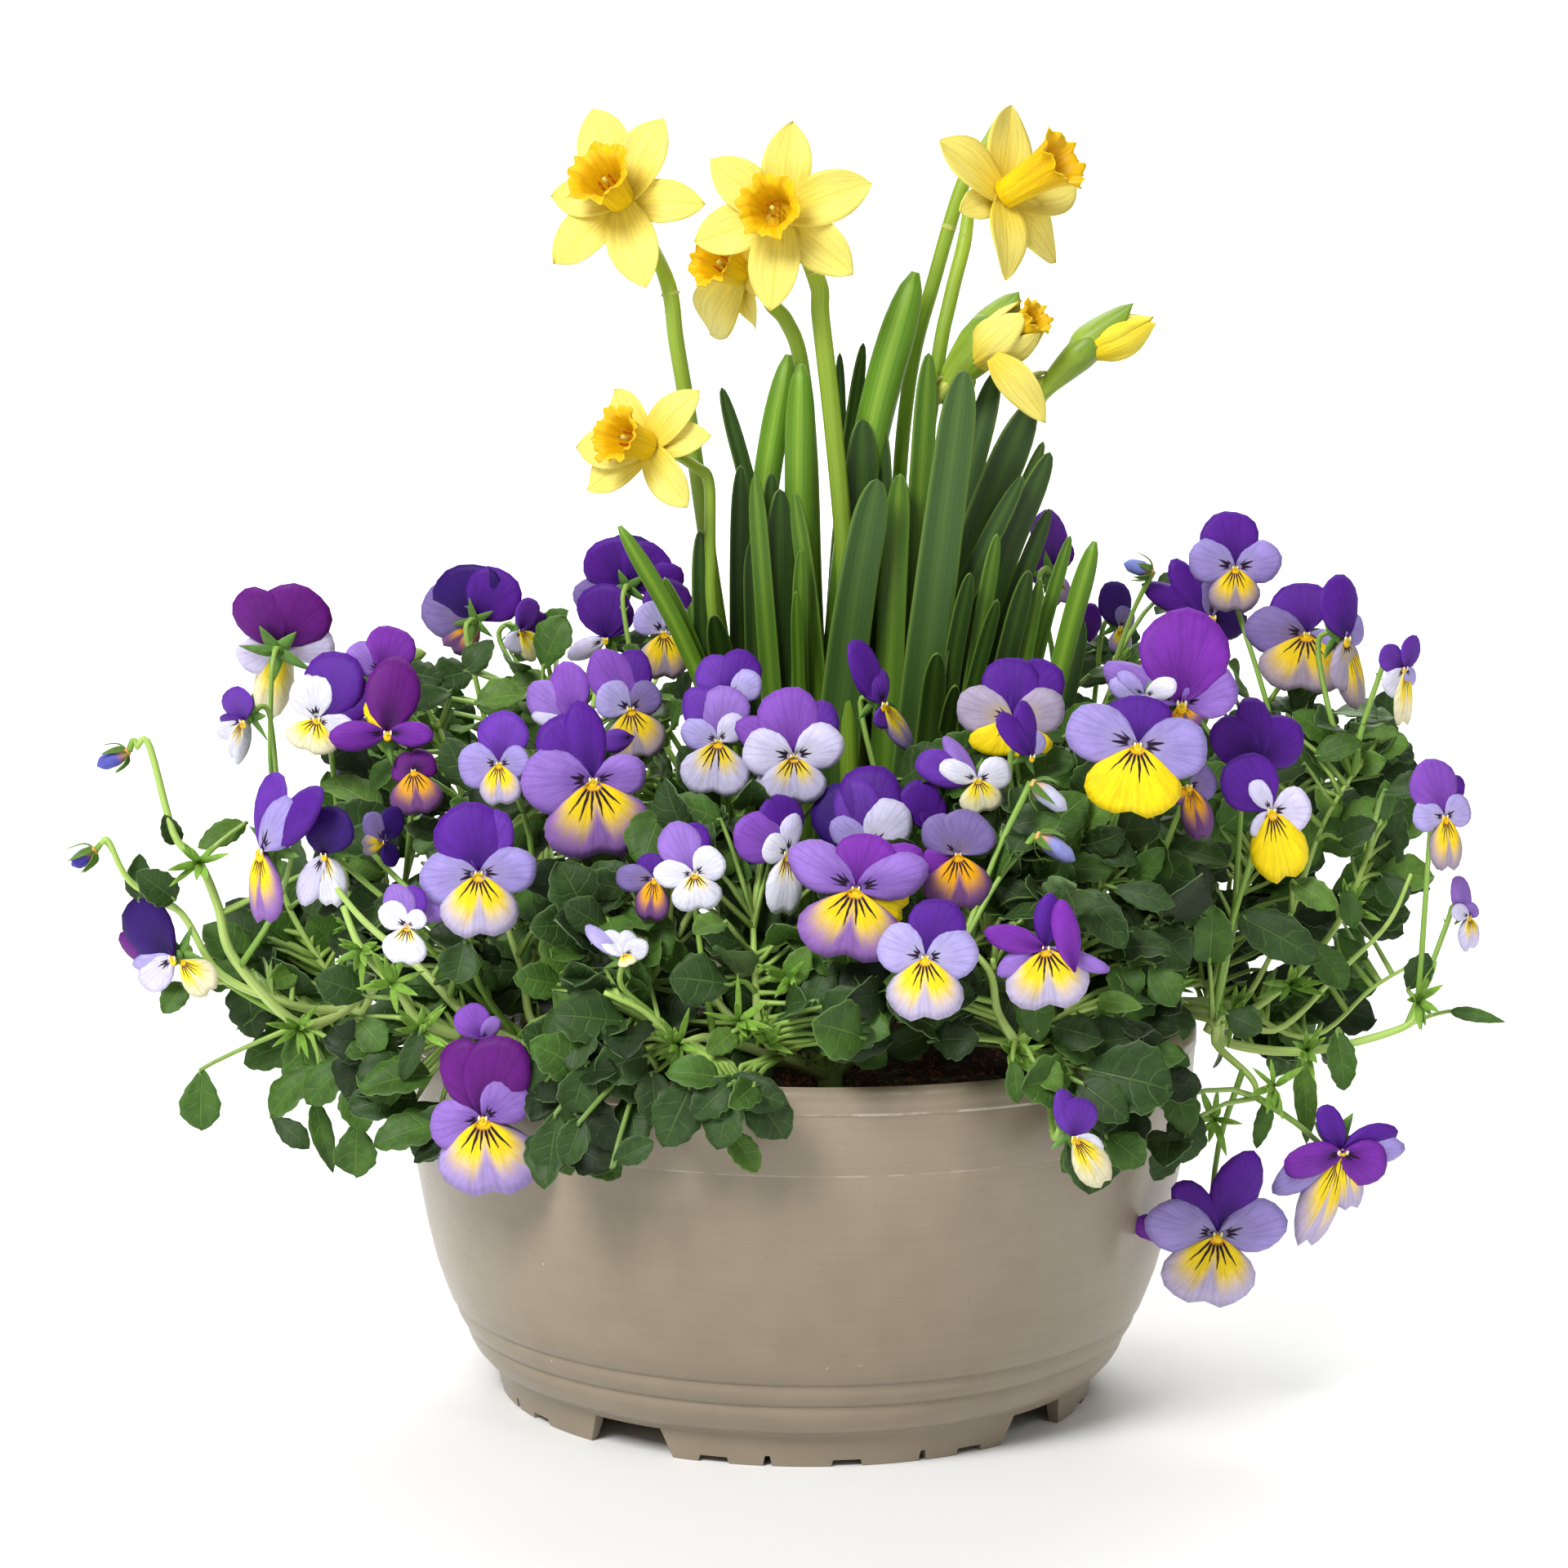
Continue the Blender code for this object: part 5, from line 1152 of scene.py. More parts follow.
STRAPS = [
    Strap((882, 474), (914, 545), (941, 766), 34, 5.5, 0, 0.3),
    Strap((925, 583), (925, 680), (952, 833), -4, 6.0, 1, -0.2),
    Strap((945, 579), (943, 690), (950, 811), 8, 7.0, 0, 0.3),
    Strap((956, 599), (952, 700), (957, 838), 1.5, 9.0, 0, 0.2),
    Strap((971, 603), (993, 690), (990, 842), -6, 6.0, 1, -0.3),
    Strap((981, 673), (977, 744), (983, 842), -10, 5.0, 1, 0.2),
    Strap((975, 724), (976, 780), (979, 842), -14, 4.0, 1, 0.0),
    Strap((1041, 557), (1044, 640), (1040, 800), 16, 4.5, 0, 0.3),
    Strap((1074, 587), (1060, 690), (1026, 833), -8, 12.0, 2, 0.15),
    Strap((1102, 580), (1096, 680), (1086, 880), 2, 8.5, 1, -0.2),
    Strap((1057, 513), (1052, 600), (1058, 780), 12, 11.0, 0, 0.3),
    Strap((1079, 516), (1084, 600), (1079, 780), 16, 6.0, 0, -0.3),
    Strap((1059, 420), (1040, 500), (1030, 720), 30, 5.0, 0, 0.5),
    Strap((1029, 432), (1028, 500), (1030, 690), 34, 4.0, 0, 0.2),
    Strap((1137, 432), (1133, 580), (1106, 840), 10, 7.5, 1, 0.2),
    Strap((1180, 453), (1162, 640), (1106, 945), -10, 12.0, 2, 0.1),
    Strap((1220, 454), (1196, 540), (1150, 760), 24, 9.0, 0, -0.3),
    Strap((1264, 492), (1215, 620), (1150, 800), 14, 12.0, 0, 0.25),
    Strap((1278, 541), (1250, 620), (1200, 760), 24, 5.5, 1, 0.4),
    Strap((1286, 554), (1244, 659), (1185, 811), 6, 8.5, 0, 0.3),
    Strap((1252, 583), (1207, 670), (1155, 800), 0, 6.5, 0, -0.2),
    Strap((1221, 654), (1212, 730), (1185, 840), -6, 5.5, 1, 0.2),
    Strap((1285, 623), (1258, 700), (1215, 811), 12, 6.0, 0, 0.2),
    Strap((1310, 656), (1293, 722), (1262, 820), 8, 4.5, 1, 0.0),
    Strap((1188, 702), (1179, 755), (1160, 840), -10, 6.0, 0, 0.2),
    Strap((1221, 735), (1212, 775), (1190, 840), -12, 5.0, 0, 0.0),
    Strap((1260, 699), (1248, 750), (1228, 820), -2, 7.0, 0, 0.2),
    Strap((1274, 708), (1268, 750), (1250, 830), 2, 4.5, 1, 0.0),
    Strap((1148, 800), (1143, 850), (1135, 920), -18, 8.0, 0, 0.2),
    Strap((1170, 840), (1166, 865), (1158, 900), -20, 5.5, 0, 0.0),
    Strap((758, 644), (798, 704), (848, 815), -14, 5.8, 2, 0.2, 0.5),
    Strap((814, 708), (830, 745), (862, 820), -8, 4.0, 1, 0.0),
    Strap((858, 650), (856, 720), (866, 810), -4, 6.0, 0, 0.2),
    Strap((874, 753), (878, 780), (888, 820), -16, 8.0, 0, 0.1),
    Strap((907, 570), (905, 680), (908, 800), 14, 6.0, 0, 0.1),
    Strap((923, 660), (925, 730), (930, 820), 8, 8.0, 0, -0.1),
    Strap((1340, 663), (1324, 733), (1292, 820), 0, 6.5, 1, 0.1, 0.6),
    Strap((1121, 333), (1094, 425), (1066, 530), 18, 11.4, 1, 0.0, 0.8),
    Strap((966, 434), (950, 500), (940, 600), 22, 8.6, 1, 0.0, 0.8),
    Strap((981, 446), (979, 515), (980, 620), 12, 9.4, 1, 0.0, 0.8),
]


class Scape(NamedTuple):
    """A round stem through points of the picture, top first, from one depth at its top to one at its foot."""

    route: tuple[Pair, ...]
    depth: float
    foot_depth: float
    width: float
    ring: float = 0.0


SCAPES = {
    "left": Scape(((817, 345), (828, 418), (845, 520), (862, 640), (886, 800)), 12, 14, 6.2, 0.20),
    "middle": Scape(((1001, 345), (1005, 390), (1020, 521), (1034, 679), (1036, 800)), 8, 6, 6.4, 0.14),
    "behind": Scape(((942, 365), (962, 392), (980, 440), (992, 560), (1000, 780)), 30, 26, 5.4),
    "low": Scape(((852, 572), (868, 592), (870, 680), (880, 810)), -4, -2, 4.6),
    "right": Scape(((1180, 300), (1164, 365), (1146, 460), (1110, 760)), 26, 18, 5.0, 0.16),
    "opening": Scape(((1186, 462), (1150, 560), (1120, 760)), 22, 18, 6.0),
    "bud": Scape(((1278, 474), (1230, 580), (1170, 780)), 22, 22, 6.0),
}
LONE_SCAPES = [
    Scape(((1222, 142), (1200, 190), (1178, 228), (1146, 335), (1113, 470), (1096, 700)), 36, 30, 5.0, 0.42),
    Scape(((1066, 505), (1052, 620), (1050, 790)), 18, 18, 6.0),
    Scape(((940, 590), (944, 700), (956, 800)), 22, 20, 5.0),
    Scape(((979, 600), (986, 700), (990, 800)), 12, 12, 5.6),
]


class Flower(NamedTuple):
    """An open daffodil: its middle, the way it faces, its tepals' tips, and its trumpet's mouth and sizes."""

    name: str
    seen: Pair
    depth: float
    turn: float
    nod: float
    tips: tuple[Pair, ...]
    mouth: Pair
    length: float
    radius: float


FLOWERS = [
    Flower("left", (762, 246), 10, -14, 14,
           ((724, 130), (814, 145), (861, 248), (792, 354), (676, 321), (675, 242)), (735, 212), 17, 10.4),
    Flower("middle", (956, 262), -6, -8, 4,
           ((971, 148), (1068, 224), (1044, 335), (944, 381), (848, 296), (870, 196)), (942, 252), 14, 9.6),
    Flower("behind", (908, 334), 20, -50, -20,
           ((930, 268), (962, 350), (919, 384), (863, 416), (846, 300), (880, 272)), (872, 316), 15, 8.6),
    Flower("low", (794, 547), -10, -30, 10,
           ((745, 476), (853, 477), (865, 531), (839, 620), (715, 598), (709, 550)), (755, 529), 16, 8.8),
    Flower("right", (1226, 240), 16, 40, 14,
           ((1243, 127), (1361, 222), (1299, 320), (1227, 345), (1182, 256), (1148, 172)), (1300, 194), 26,
           9.6),
]


@dataclass
class Daffodils:
    """The clump of daffodils: strap leaves and stems in one piece, and each flower's tepals and trumpet."""

    finishes: Finishes
    middle: Pair = (27, 20)
    half: Pair = (44, 16)
    ground: float = 117.0
    seed: int = 11
    petal_width: float = 0.54
    petal_length: Pair = (20, 36)
    inner_straps: int = 22
    bulb_tops: int = 26

    def foot(self, x: float, y: float) -> Array:
        """The point of the clump's foot that lies nearest to a place."""
        (cx, cy), (hx, hy) = self.middle, self.half
        x, y = min(max(x, cx - hx), cx + hx), min(max(y, cy - hy), cy + hy)
        return vec(x, y, self.ground) * MM

    def strap_path(self, leaf: Strap) -> list[Array]:
        """A leaf's middle line, from the clump's foot to its tip."""
        cx, cy = self.middle
        low = VIEW.at(*leaf.low, leaf.depth * 0.6 + cy * 0.4)
        foot = self.foot(cx + (low[0] / MM - cx) * 0.80, cy + (leaf.depth - 8) * 0.6)
        points = np.array((foot, low, VIEW.at(*leaf.half, leaf.depth * 0.85 + cy * 0.15),
                           VIEW.at(*leaf.tip, leaf.depth)))
        heights = np.linspace(foot[2], points[3][2], 7)
        bows = [np.polyfit(points[:, 2], points[:, k], 2, w=(0.5, 1, 1.6, 3)) for k in (0, 1)]
        return list(np.stack((*(np.polyval(bow, heights) for bow in bows), heights), axis=-1))

    def scape_path(self, scape: Scape) -> list[Array]:
        """A stem's points, from its top down into the clump's foot."""
        depths = np.linspace(scape.depth, scape.foot_depth, len(scape.route))
        points = [VIEW.at(*spot, depth) for spot, depth in zip(scape.route, depths)]
        cx = self.middle[0]
        return [*points, self.foot(cx + (points[-1][0] / MM - cx) * 0.6, scape.foot_depth)]

    def add_scape(self, pile: Pile, path: list[Array], radii: Sequence[float], ring: float) -> None:
        """Adds a stem, with the ring that its sheath left on it."""
        add_bar(pile, path, radii, SCAPE_SLOT, Look(SCAPE.outer, SCAPE.inner), 12, 40, 0.86)
        if ring:
            shares = np.array((ring - 0.006, ring, ring + 0.006))
            around = smooth(np.array(path), shares)
            radius = float(np.interp(ring, np.linspace(0, 1, len(radii)), radii))
            swelling = [radius * 0.9, radius * 1.12, radius * 0.9]
            add_bar(pile, around, swelling, SHEATH_SLOT, SHEATH, 12, 4, 0.9)

    def add_straps(self, clump: Pile, draw: Draw) -> None:
        """Adds the strap leaves that are seen, and the closed buds among them, which are thick."""
        for leaf in STRAPS:
            path = self.strap_path(leaf)
            width = leaf.width * MM
            if leaf.thick:
                shares = np.linspace(0, 1, 49)
                tip = np.sqrt(1 - np.clip((shares - 0.89) / 0.113, 0, 1) ** 2)
                radii = (0.42 + 0.16 * shares) * tip * width
                add_bar(clump, path, radii, STRAP_SLOT, STRAP_BUD, 12, 48, leaf.thick)
                continue
            facing = unit(vec(leaf.turn + draw.uniform(-0.1, 0.1), -1, 0.12))
            twist = draw.uniform(-0.15, 0.15)
            blade = Blade(strap_outline, 8, 24, 0.9, 0.10, 0.01, 1.4, twist=twist, crowd=1.6)
            add_blade(clump, path, width * 1.22, facing, blade, STRAP_SLOT, STRAP_TONES_AND_LIGHT[leaf.tone],
                      STRAP_UNDER, draw.uniform(0, 6))

    def add_inner_straps(self, clump: Pile, draw: Draw) -> None:
        """Adds the strap leaves inside the clump."""
        for _ in range(self.inner_straps):
            x, y = self.middle[0] + draw.uniform(-44, 44), self.middle[1] + draw.uniform(-6, 20)
            lean = (x - self.middle[0]) * draw.uniform(0.3, 0.7)
            foot = self.foot(x, y)
            tip = foot + vec(lean, draw.uniform(-6, 10), draw.uniform(90, 150)) * MM
            bend = foot * 0.5 + tip * 0.5 - vec(lean * 0.12, 0, 0) * MM
            facing = unit(vec(draw.uniform(-0.6, 0.6), -1, 0.1))
            twist = draw.uniform(-0.4, 0.4)
            blade = Blade(strap_outline, 4, 16, 0.8, 0.14, 0.01, 1.4, twist=twist, crowd=1.7)
            add_blade(clump, [foot, bend, tip], draw.uniform(7, 11) * MM, facing, blade, STRAP_SLOT,
                      STRAP_TONES_AND_LIGHT[draw.choice((0, 0, 1))], STRAP_UNDER, draw.uniform(0, 6))

    def add_bulb_tops(self, clump: Pile, draw: Draw) -> None:
        """Adds the papery tips of the bulbs at the clump's foot."""
        foot = self.foot(*self.middle)
        look = Look(srgb(170, 150, 100), srgb(120, 140, 70))
        for _ in range(self.bulb_tops):
            spot = foot + vec(draw.uniform(-38, 38), draw.uniform(-13, 13), 0) * MM
            tip = spot + vec(draw.uniform(-3, 3), draw.uniform(-3, 3), draw.uniform(8, 20)) * MM
            add_bar(clump, [spot, (spot + tip) / 2, tip], mm(3.4, 2.6, 0.6), SHEATH_SLOT, look, 7, 5)

    def build(self) -> None:
        """Every flower, and the leaves and stems."""
        draw = Draw(self.seed)
        clump = Pile()
        self.add_straps(clump, draw)
        self.add_inner_straps(clump, draw)
        for scape in LONE_SCAPES:
            half = scape.width / 2 * MM
            self.add_scape(clump, self.scape_path(scape), [0.4 * MM, half * 0.9] + [half] * 5, scape.ring)
        for flower in FLOWERS:
            socket, back = self.build_flower(flower, draw)
            self.add_flower_stem(clump, flower.name, socket, back)
        self.build_half_open(clump, draw)
        self.add_bulb_tops(clump, draw)
        kinds = [self.finishes.strap, self.finishes.stem, self.finishes.sheath]
        settle(clump.build("daffodil_leaves", kinds), "daffodil_clump")

    def add_flower_stem(self, pile: Pile, name: str, socket: Array, back: Array) -> None:
        """Adds the tube and the swelling behind a flower, and the stem that bends down from it."""
        scape = SCAPES[name]
        half = scape.width / 2 * MM
        path = [socket, socket + back * 8 * MM, socket + back * 15 * MM, *self.scape_path(scape)]
        add_bar(pile, path[:3], mm(1.9, 2.0, 2.4, 3.1, 3.0, 2.0), SCAPE_SLOT,
                Look(srgb(206, 206, 90), srgb(112, 152, 50)), 12, 14)
        self.add_scape(pile, path[2:], mm(2.0) + [half] * (len(path) - 3), scape.ring)
        tip = socket + back * 3 * MM + vec(0, 0, 2.2) * MM
        add_blade(pile, [socket + back * 17 * MM, socket + back * 10 * MM + UP * 3.4 * MM, tip], 7 * MM,
                  UP - back, Blade(lance_outline, 6, 10, 0.35, 0.5), SHEATH_SLOT, SHEATH)

    def build_flower(self, flower: Flower, draw: Draw) -> tuple[Array, Array]:
        """One open flower.

        Args:
            flower: which one.
            draw: the random draws.

        Returns:
            The point where its stem meets it, and the way that the stem leaves it.
        """
        middle = VIEW.at(*flower.seen, flower.depth)
        face = flower_axes(flower.turn, flower.nod)[2]
        pile = Pile()
        for index, tip_seen in enumerate(flower.tips):
            tip = VIEW.on_plane(*tip_seen, middle, face)
            spoke = tip - middle
            shortest, longest = mm(*self.petal_length)
            length = min(max(np.linalg.norm(spoke), shortest), longest)
            spoke = unit(spoke) * length
            front = 1.0 if index % 2 else -0.8
            lift = face * (front * MM)
            tip = middle + spoke + lift + face * draw.uniform(-3.0, 1.5) * MM
            arch = middle + spoke * 0.55 + lift + face * draw.uniform(0.2, 1.8) * MM
            blade = Blade(tepal_outline, 10, 14, 0.45, 0.20, draw.uniform(0.02, 0.06), draw.uniform(1.6, 2.6),
                          twist=draw.uniform(-0.35, 0.35))
            add_blade(pile, [middle + lift * 0.6, arch, tip], length * self.petal_width, face, blade, 0,
                      TEPAL, TEPAL_BACK, draw.uniform(0, 6))
        tepals = pile.build(f"daffodil_{flower.name}_tepals", [self.finishes.tepal])
        settle(tepals, f"daffodil_{flower.name}_petals")
        foot = middle + face * 0.8 * MM
        aim = VIEW.at(*flower.mouth, middle[1] / MM) - foot
        reach = flower.length * MM
        nearer = math.sqrt(max(reach ** 2 - float(aim @ aim), (0.3 * reach) ** 2))
        aim = unit(aim + vec(0, -1, 0) * nearer)
        self.build_trumpet(f"daffodil_{flower.name}", foot, axes_towards(aim), 5.0, flower.radius,
                           flower.length, draw)
        return middle - face * 1.2 * MM, -face

    def build_trumpet(self, name: str, middle: Array, axes: Array, low: float, high: float,
                      length: float, draw: Draw) -> None:
        """A trumpet with its frilled mouth, and the stamens inside.

        Args:
            name: the flower's name.
            middle: the middle of the trumpet's foot.
            axes: the flower's axes.
            low: the radius at its foot, in millimetres.
            high: the radius at its mouth.
            length: its length.
            draw: the random draws.
        """
        pile = Pile()
        phase = self.add_cup(pile, middle, axes, low, high, length, draw)
        style = Look(srgb(236, 226, 120), srgb(216, 200, 90))
        anther = Look(srgb(226, 140, 20), srgb(200, 110, 10))
        for k in range(6):
            out = heading(k * math.pi / 3 + phase)
            foot, top = (out * 1.6 + UP * 1.4) * MM, (out * 2.4 + UP * length * 0.62) * MM
            path = np.array((foot, (foot + top) / 2, top))
            add_bar(pile, middle + path @ axes, mm(0.3, 0.3), 1, style, 5, 4)
            add_ball(pile, middle + top @ axes, np.diag((0.5, 0.5, 2.0)) * MM @ axes, 1, anther)
        path = np.array(((0, 0, 1.4), (0, 0, length * 0.4), (0.3, 0, length * 0.78))) * MM
        add_bar(pile, middle + path @ axes, mm(0.45, 0.4, 0.8), 1, style, 6, 5)
        piece = pile.build(f"{name}_cup", [self.finishes.trumpet, self.finishes.heart])
        settle(piece, f"{name}_trumpet")

    def add_cup(self, pile: Pile, middle: Array, axes: Array, low: float, high: float, length: float,
                draw: Draw) -> float:
        """Adds the cup of a trumpet, and gives the angle at which its folds start."""
        outside = [(0, 0), (low * 0.8, 0), (low, 0.8)]
        outside += [(low + (high * 0.86 - low) * t ** 1.6, 0.8 + (length - 0.8) * t)
                    for t in (0.15, 0.3, 0.45, 0.6, 0.72, 0.82, 0.9)]
        outside += [(high * 0.94, length * 0.965), (high, length), (high * 0.985, length + 0.25)]
        inside = [(r - 0.5, z) for r, z in reversed(outside[3:-2])] + [(low - 0.6, 1.4), (0, 1.2)]
        template = Template.taken(spun("cup", [*outside, *inside], 72))
        points = template.points / MM
        radius = np.hypot(points[:, 0], points[:, 1])
        angle = np.arctan2(points[:, 1], points[:, 0])
        rise = np.clip(points[:, 2] / length, 0, 1)
        phase = draw.uniform(0, 6)
        frill = np.clip((rise - 0.45) / 0.55, 0, 1) ** 1.8
        fold = (np.sin(6 * angle + phase) + 0.55 * np.sin(13 * angle + 2 * phase)
                + 0.35 * np.sin(23 * angle + phase))
        ribs = 0.03 * np.sin(12 * angle + phase) * np.clip(rise * 3, 0, 1)
        scale = 1 + 0.085 * frill * fold + ribs + 0.10 * frill ** 3
        height = points[:, 2] + frill ** 2 * (0.8 * np.sin(9 * angle + phase) + 0.6 * np.sin(17 * angle))
        wide = radius * scale
        local = np.stack((wide * np.cos(angle), wide * np.sin(angle), height), axis=-1) * MM
        uvs = np.stack((0.5 + angle / (2 * math.pi), rise), axis=-1)
        pile.add(template, middle + local @ axes, uvs, 0, TRUMPET)
        return phase

    def add_spathe(self, clump: Pile, route: Sequence[Triple], radii: Sequence[float],
                   tip: Triple) -> None:
        """Adds the green sheath round a flower that is opening: a swollen tube and its pointed end."""
        path = [VIEW.at(*spot) for spot in route]
        look = Look(SCAPE.outer, SCAPE.inner)
        add_bar(clump, path, mm(*radii), SCAPE_SLOT, look, 16, 18, 0.85)
        end = VIEW.at(*tip)
        lift = UP * 2.4 * MM + vec(-0.0016, -0.003, 0)
        line = [path[-3] + lift, path[-2] + lift * 1.5, path[-1] * 0.5 + end * 0.5 + lift * 0.6, end]
        add_blade(clump, line, max(radii) * 1.7 * MM, vec(-0.4, -1, 0.6),
                  Blade(lance_outline, 8, 14, 0.5, -0.5), SCAPE_SLOT, look)

    def add_wrapped(self, pile: Pile, route: Sequence[Triple], radii: Sequence[float],
                    count: int, width: float, look: Look) -> None:
        """Adds tepals that still wrap one another round a line."""
        path = [VIEW.at(*spot) for spot in route]
        along = unit(path[-1] - path[0])
        across = unit(np.cross(along, (0.2, -1, 0.1)))
        for k in range(count):
            a = k * 2 * math.pi / count + 0.5
            out = across * math.cos(a) + np.cross(along, across) * math.sin(a)
            line = [p + out * r * (1 + 0.06 * (k % 2)) * MM for p, r in zip(path, radii)]
            add_blade(pile, line, width * MM, out, Blade(tepal_outline, 8, 14, 0.5, -0.42, 0.03), 0, look,
                      TEPAL_BACK, k)

    def build_half_open(self, clump: Pile, draw: Draw) -> None:
        """The daffodil that is opening, and the one that is still a bud."""
        pile = Pile()
        self.add_wrapped(pile, ((1190, 446, 12), (1212, 428, 10), (1240, 408, 8), (1266, 388, 6)),
                         (3.0, 8.0, 9.2, 7.0), 5, 15, TEPAL)
        add_blade(pile, [VIEW.at(1216, 436, 0), VIEW.at(1246, 470, -2), VIEW.at(1281, 517, 2)], 12 * MM,
                  vec(-0.25, -1, 0.25), Blade(tepal_outline, 10, 14, 0.45, 0.25, 0.07), 0, TEPAL,
                  TEPAL_BACK, 1.0)
        piece = pile.build("daffodil_opening_tepals", [self.finishes.tepal])
        settle(piece, "daffodil_opening_petals")
        foot = VIEW.at(1238, 410, 8)
        axes = axes_towards(unit(VIEW.at(1274, 384, 1) - foot))
        self.build_trumpet("daffodil_opening", foot, axes, 4.2, 5.8, 12.5, draw)
        self.add_flower_stem(clump, "opening", VIEW.at(1172, 458, 14), unit(VIEW.at(1150, 500, 16) - foot))
        route = ((1152, 492, 18), (1168, 462, 16), (1190, 436, 13), (1212, 410, 12), (1226, 392, 12))
        self.add_spathe(clump, route, (3.0, 4.4, 6.6, 8.2, 8.0, 5.0), (1248, 357, 10))
        pile = Pile()
        bud = ((1328, 432, 20), (1352, 420, 20), (1384, 406, 20), (1414, 392, 20))
        self.add_wrapped(pile, bud, (2.5, 6.4, 6.2, 1.6), 4, 13, Look(srgb(252, 218, 30), srgb(252, 226, 60)))
        core = [VIEW.at(*spot) for spot in bud]
        add_bar(pile, [core[0], core[1], core[2], core[2] * 0.4 + core[3] * 0.6],
                mm(3, 5.6, 5.4, 1.0), 0, TRUMPET, 12, 12)
        piece = pile.build("daffodil_bud_tepals", [self.finishes.tepal])
        settle(piece, "daffodil_bud_petals")
        self.add_flower_stem(clump, "bud", VIEW.at(1300, 458, 20), unit(core[0] - core[1]))
        route = ((1270, 490, 20), (1288, 468, 20), (1312, 444, 20), (1334, 424, 20), (1352, 408, 20))
        self.add_spathe(clump, route, (2.6, 3.6, 5.2, 6.4, 6.0, 3.6), (1388, 371, 16))


# Pansies


class Tint(Enum):
    """Petal colours: at the edge, and near the throat."""

    NIGHT = ((48, 16, 104), (34, 8, 82))
    DEEP = ((82, 28, 142), (62, 14, 122))
    ROYAL = ((99, 48, 162), (84, 32, 144))
    GRAPE = ((130, 76, 182), (116, 56, 170))
    PLUM = ((98, 22, 122), (66, 8, 88))
    MAGENTA = ((118, 44, 162), (98, 26, 142))
    ORCHID = ((146, 110, 196), (136, 96, 190))
    LAVENDER = ((156, 142, 207), (174, 162, 216))
    MIST = ((172, 162, 220), (192, 184, 230))
    PEARL = ((212, 206, 240), (228, 222, 246))
    SNOW = ((226, 224, 242), (238, 236, 248))
    BUFF = ((168, 156, 180), (206, 186, 150))
    SMOKE = ((124, 108, 166), (140, 120, 160))


class LipTint(Enum):
    """Lip colours: at the edge, in the middle, and how far the middle reaches."""

    CLASSIC = ((192, 182, 216), (255, 220, 30), 0.76)
    MAUVE = ((150, 108, 184), (255, 216, 24), 0.72)
    LILAC = ((170, 149, 211), (255, 220, 28), 0.70)
    PEARL = ((206, 200, 234), (255, 222, 34), 0.58)
    SNOW = ((228, 226, 244), (255, 222, 40), 0.44)
    SUN = ((255, 226, 44), (255, 220, 20), 1.20)
    CREAM = ((236, 228, 190), (255, 224, 40), 0.68)
    AMBER = ((122, 78, 138), (252, 178, 10), 0.70)
    OLIVE = ((164, 150, 168), (250, 210, 24), 0.76)


class Kind(Enum):
    """The kinds of petal: how far each fans out, how square its end is, and how it lies."""

    UPPER = (66.0, 2.3, 1.4, 0.05)
    WING = (66.0, 2.4, -0.4, 0.09)
    LIP = (62.0, 3.0, -1.6, 0.12)


class Petal(NamedTuple):
    """A petal: its kind, where its tip is seen, its seen width, its colours and how far back its tip lies."""

    kind: Kind
    tip: Pair
    width: float
    tint: Tint | LipTint
    back: float = 0.0


def up(u: float, v: float, width: float, tint: Tint, back: float = 0.0) -> Petal:
    """An upper petal."""
    return Petal(Kind.UPPER, (u, v), width, tint, back)


def wing(u: float, v: float, width: float, tint: Tint, back: float = 0.0) -> Petal:
    """A side petal."""
    return Petal(Kind.WING, (u, v), width, tint, back)


def lip(u: float, v: float, width: float, tint: LipTint, back: float = 0.0) -> Petal:
    """A lower petal."""
    return Petal(Kind.LIP, (u, v), width, tint, back)


class Bloom(NamedTuple):
    """A pansy bloom: where its throat is seen, its depth, the way it faces and its petals, rearmost first."""

    throat: Pair
    depth: float
    turn: float
    nod: float
    petals: tuple[Petal, ...]
    spot: Triple | None = None

    def middle(self) -> Array:
        """The throat's place."""
        return np.array(self.spot) * MM if self.spot else VIEW.at(*self.throat, self.depth)


def whole(spot: Triple, span: float, turn: float, nod: float, upper: Tint, side: Tint,
          low: LipTint) -> Bloom:
    """A regular bloom at a place in millimetres, for the side that the picture doesn't show.

    Its petals' tips are given in millimetres from the throat, to the right and down.
    """
    size = span / 42
    petals = (up(-9 * size, -19 * size, 21 * size, upper), up(9 * size, -19.5 * size, 22 * size, upper),
              wing(-19 * size, 3 * size, 19 * size, side), wing(19 * size, 3 * size, 19 * size, side),
              lip(0, 20 * size, 25 * size, low))
    return Bloom((0, 0), 0, turn, nod, petals, spot)


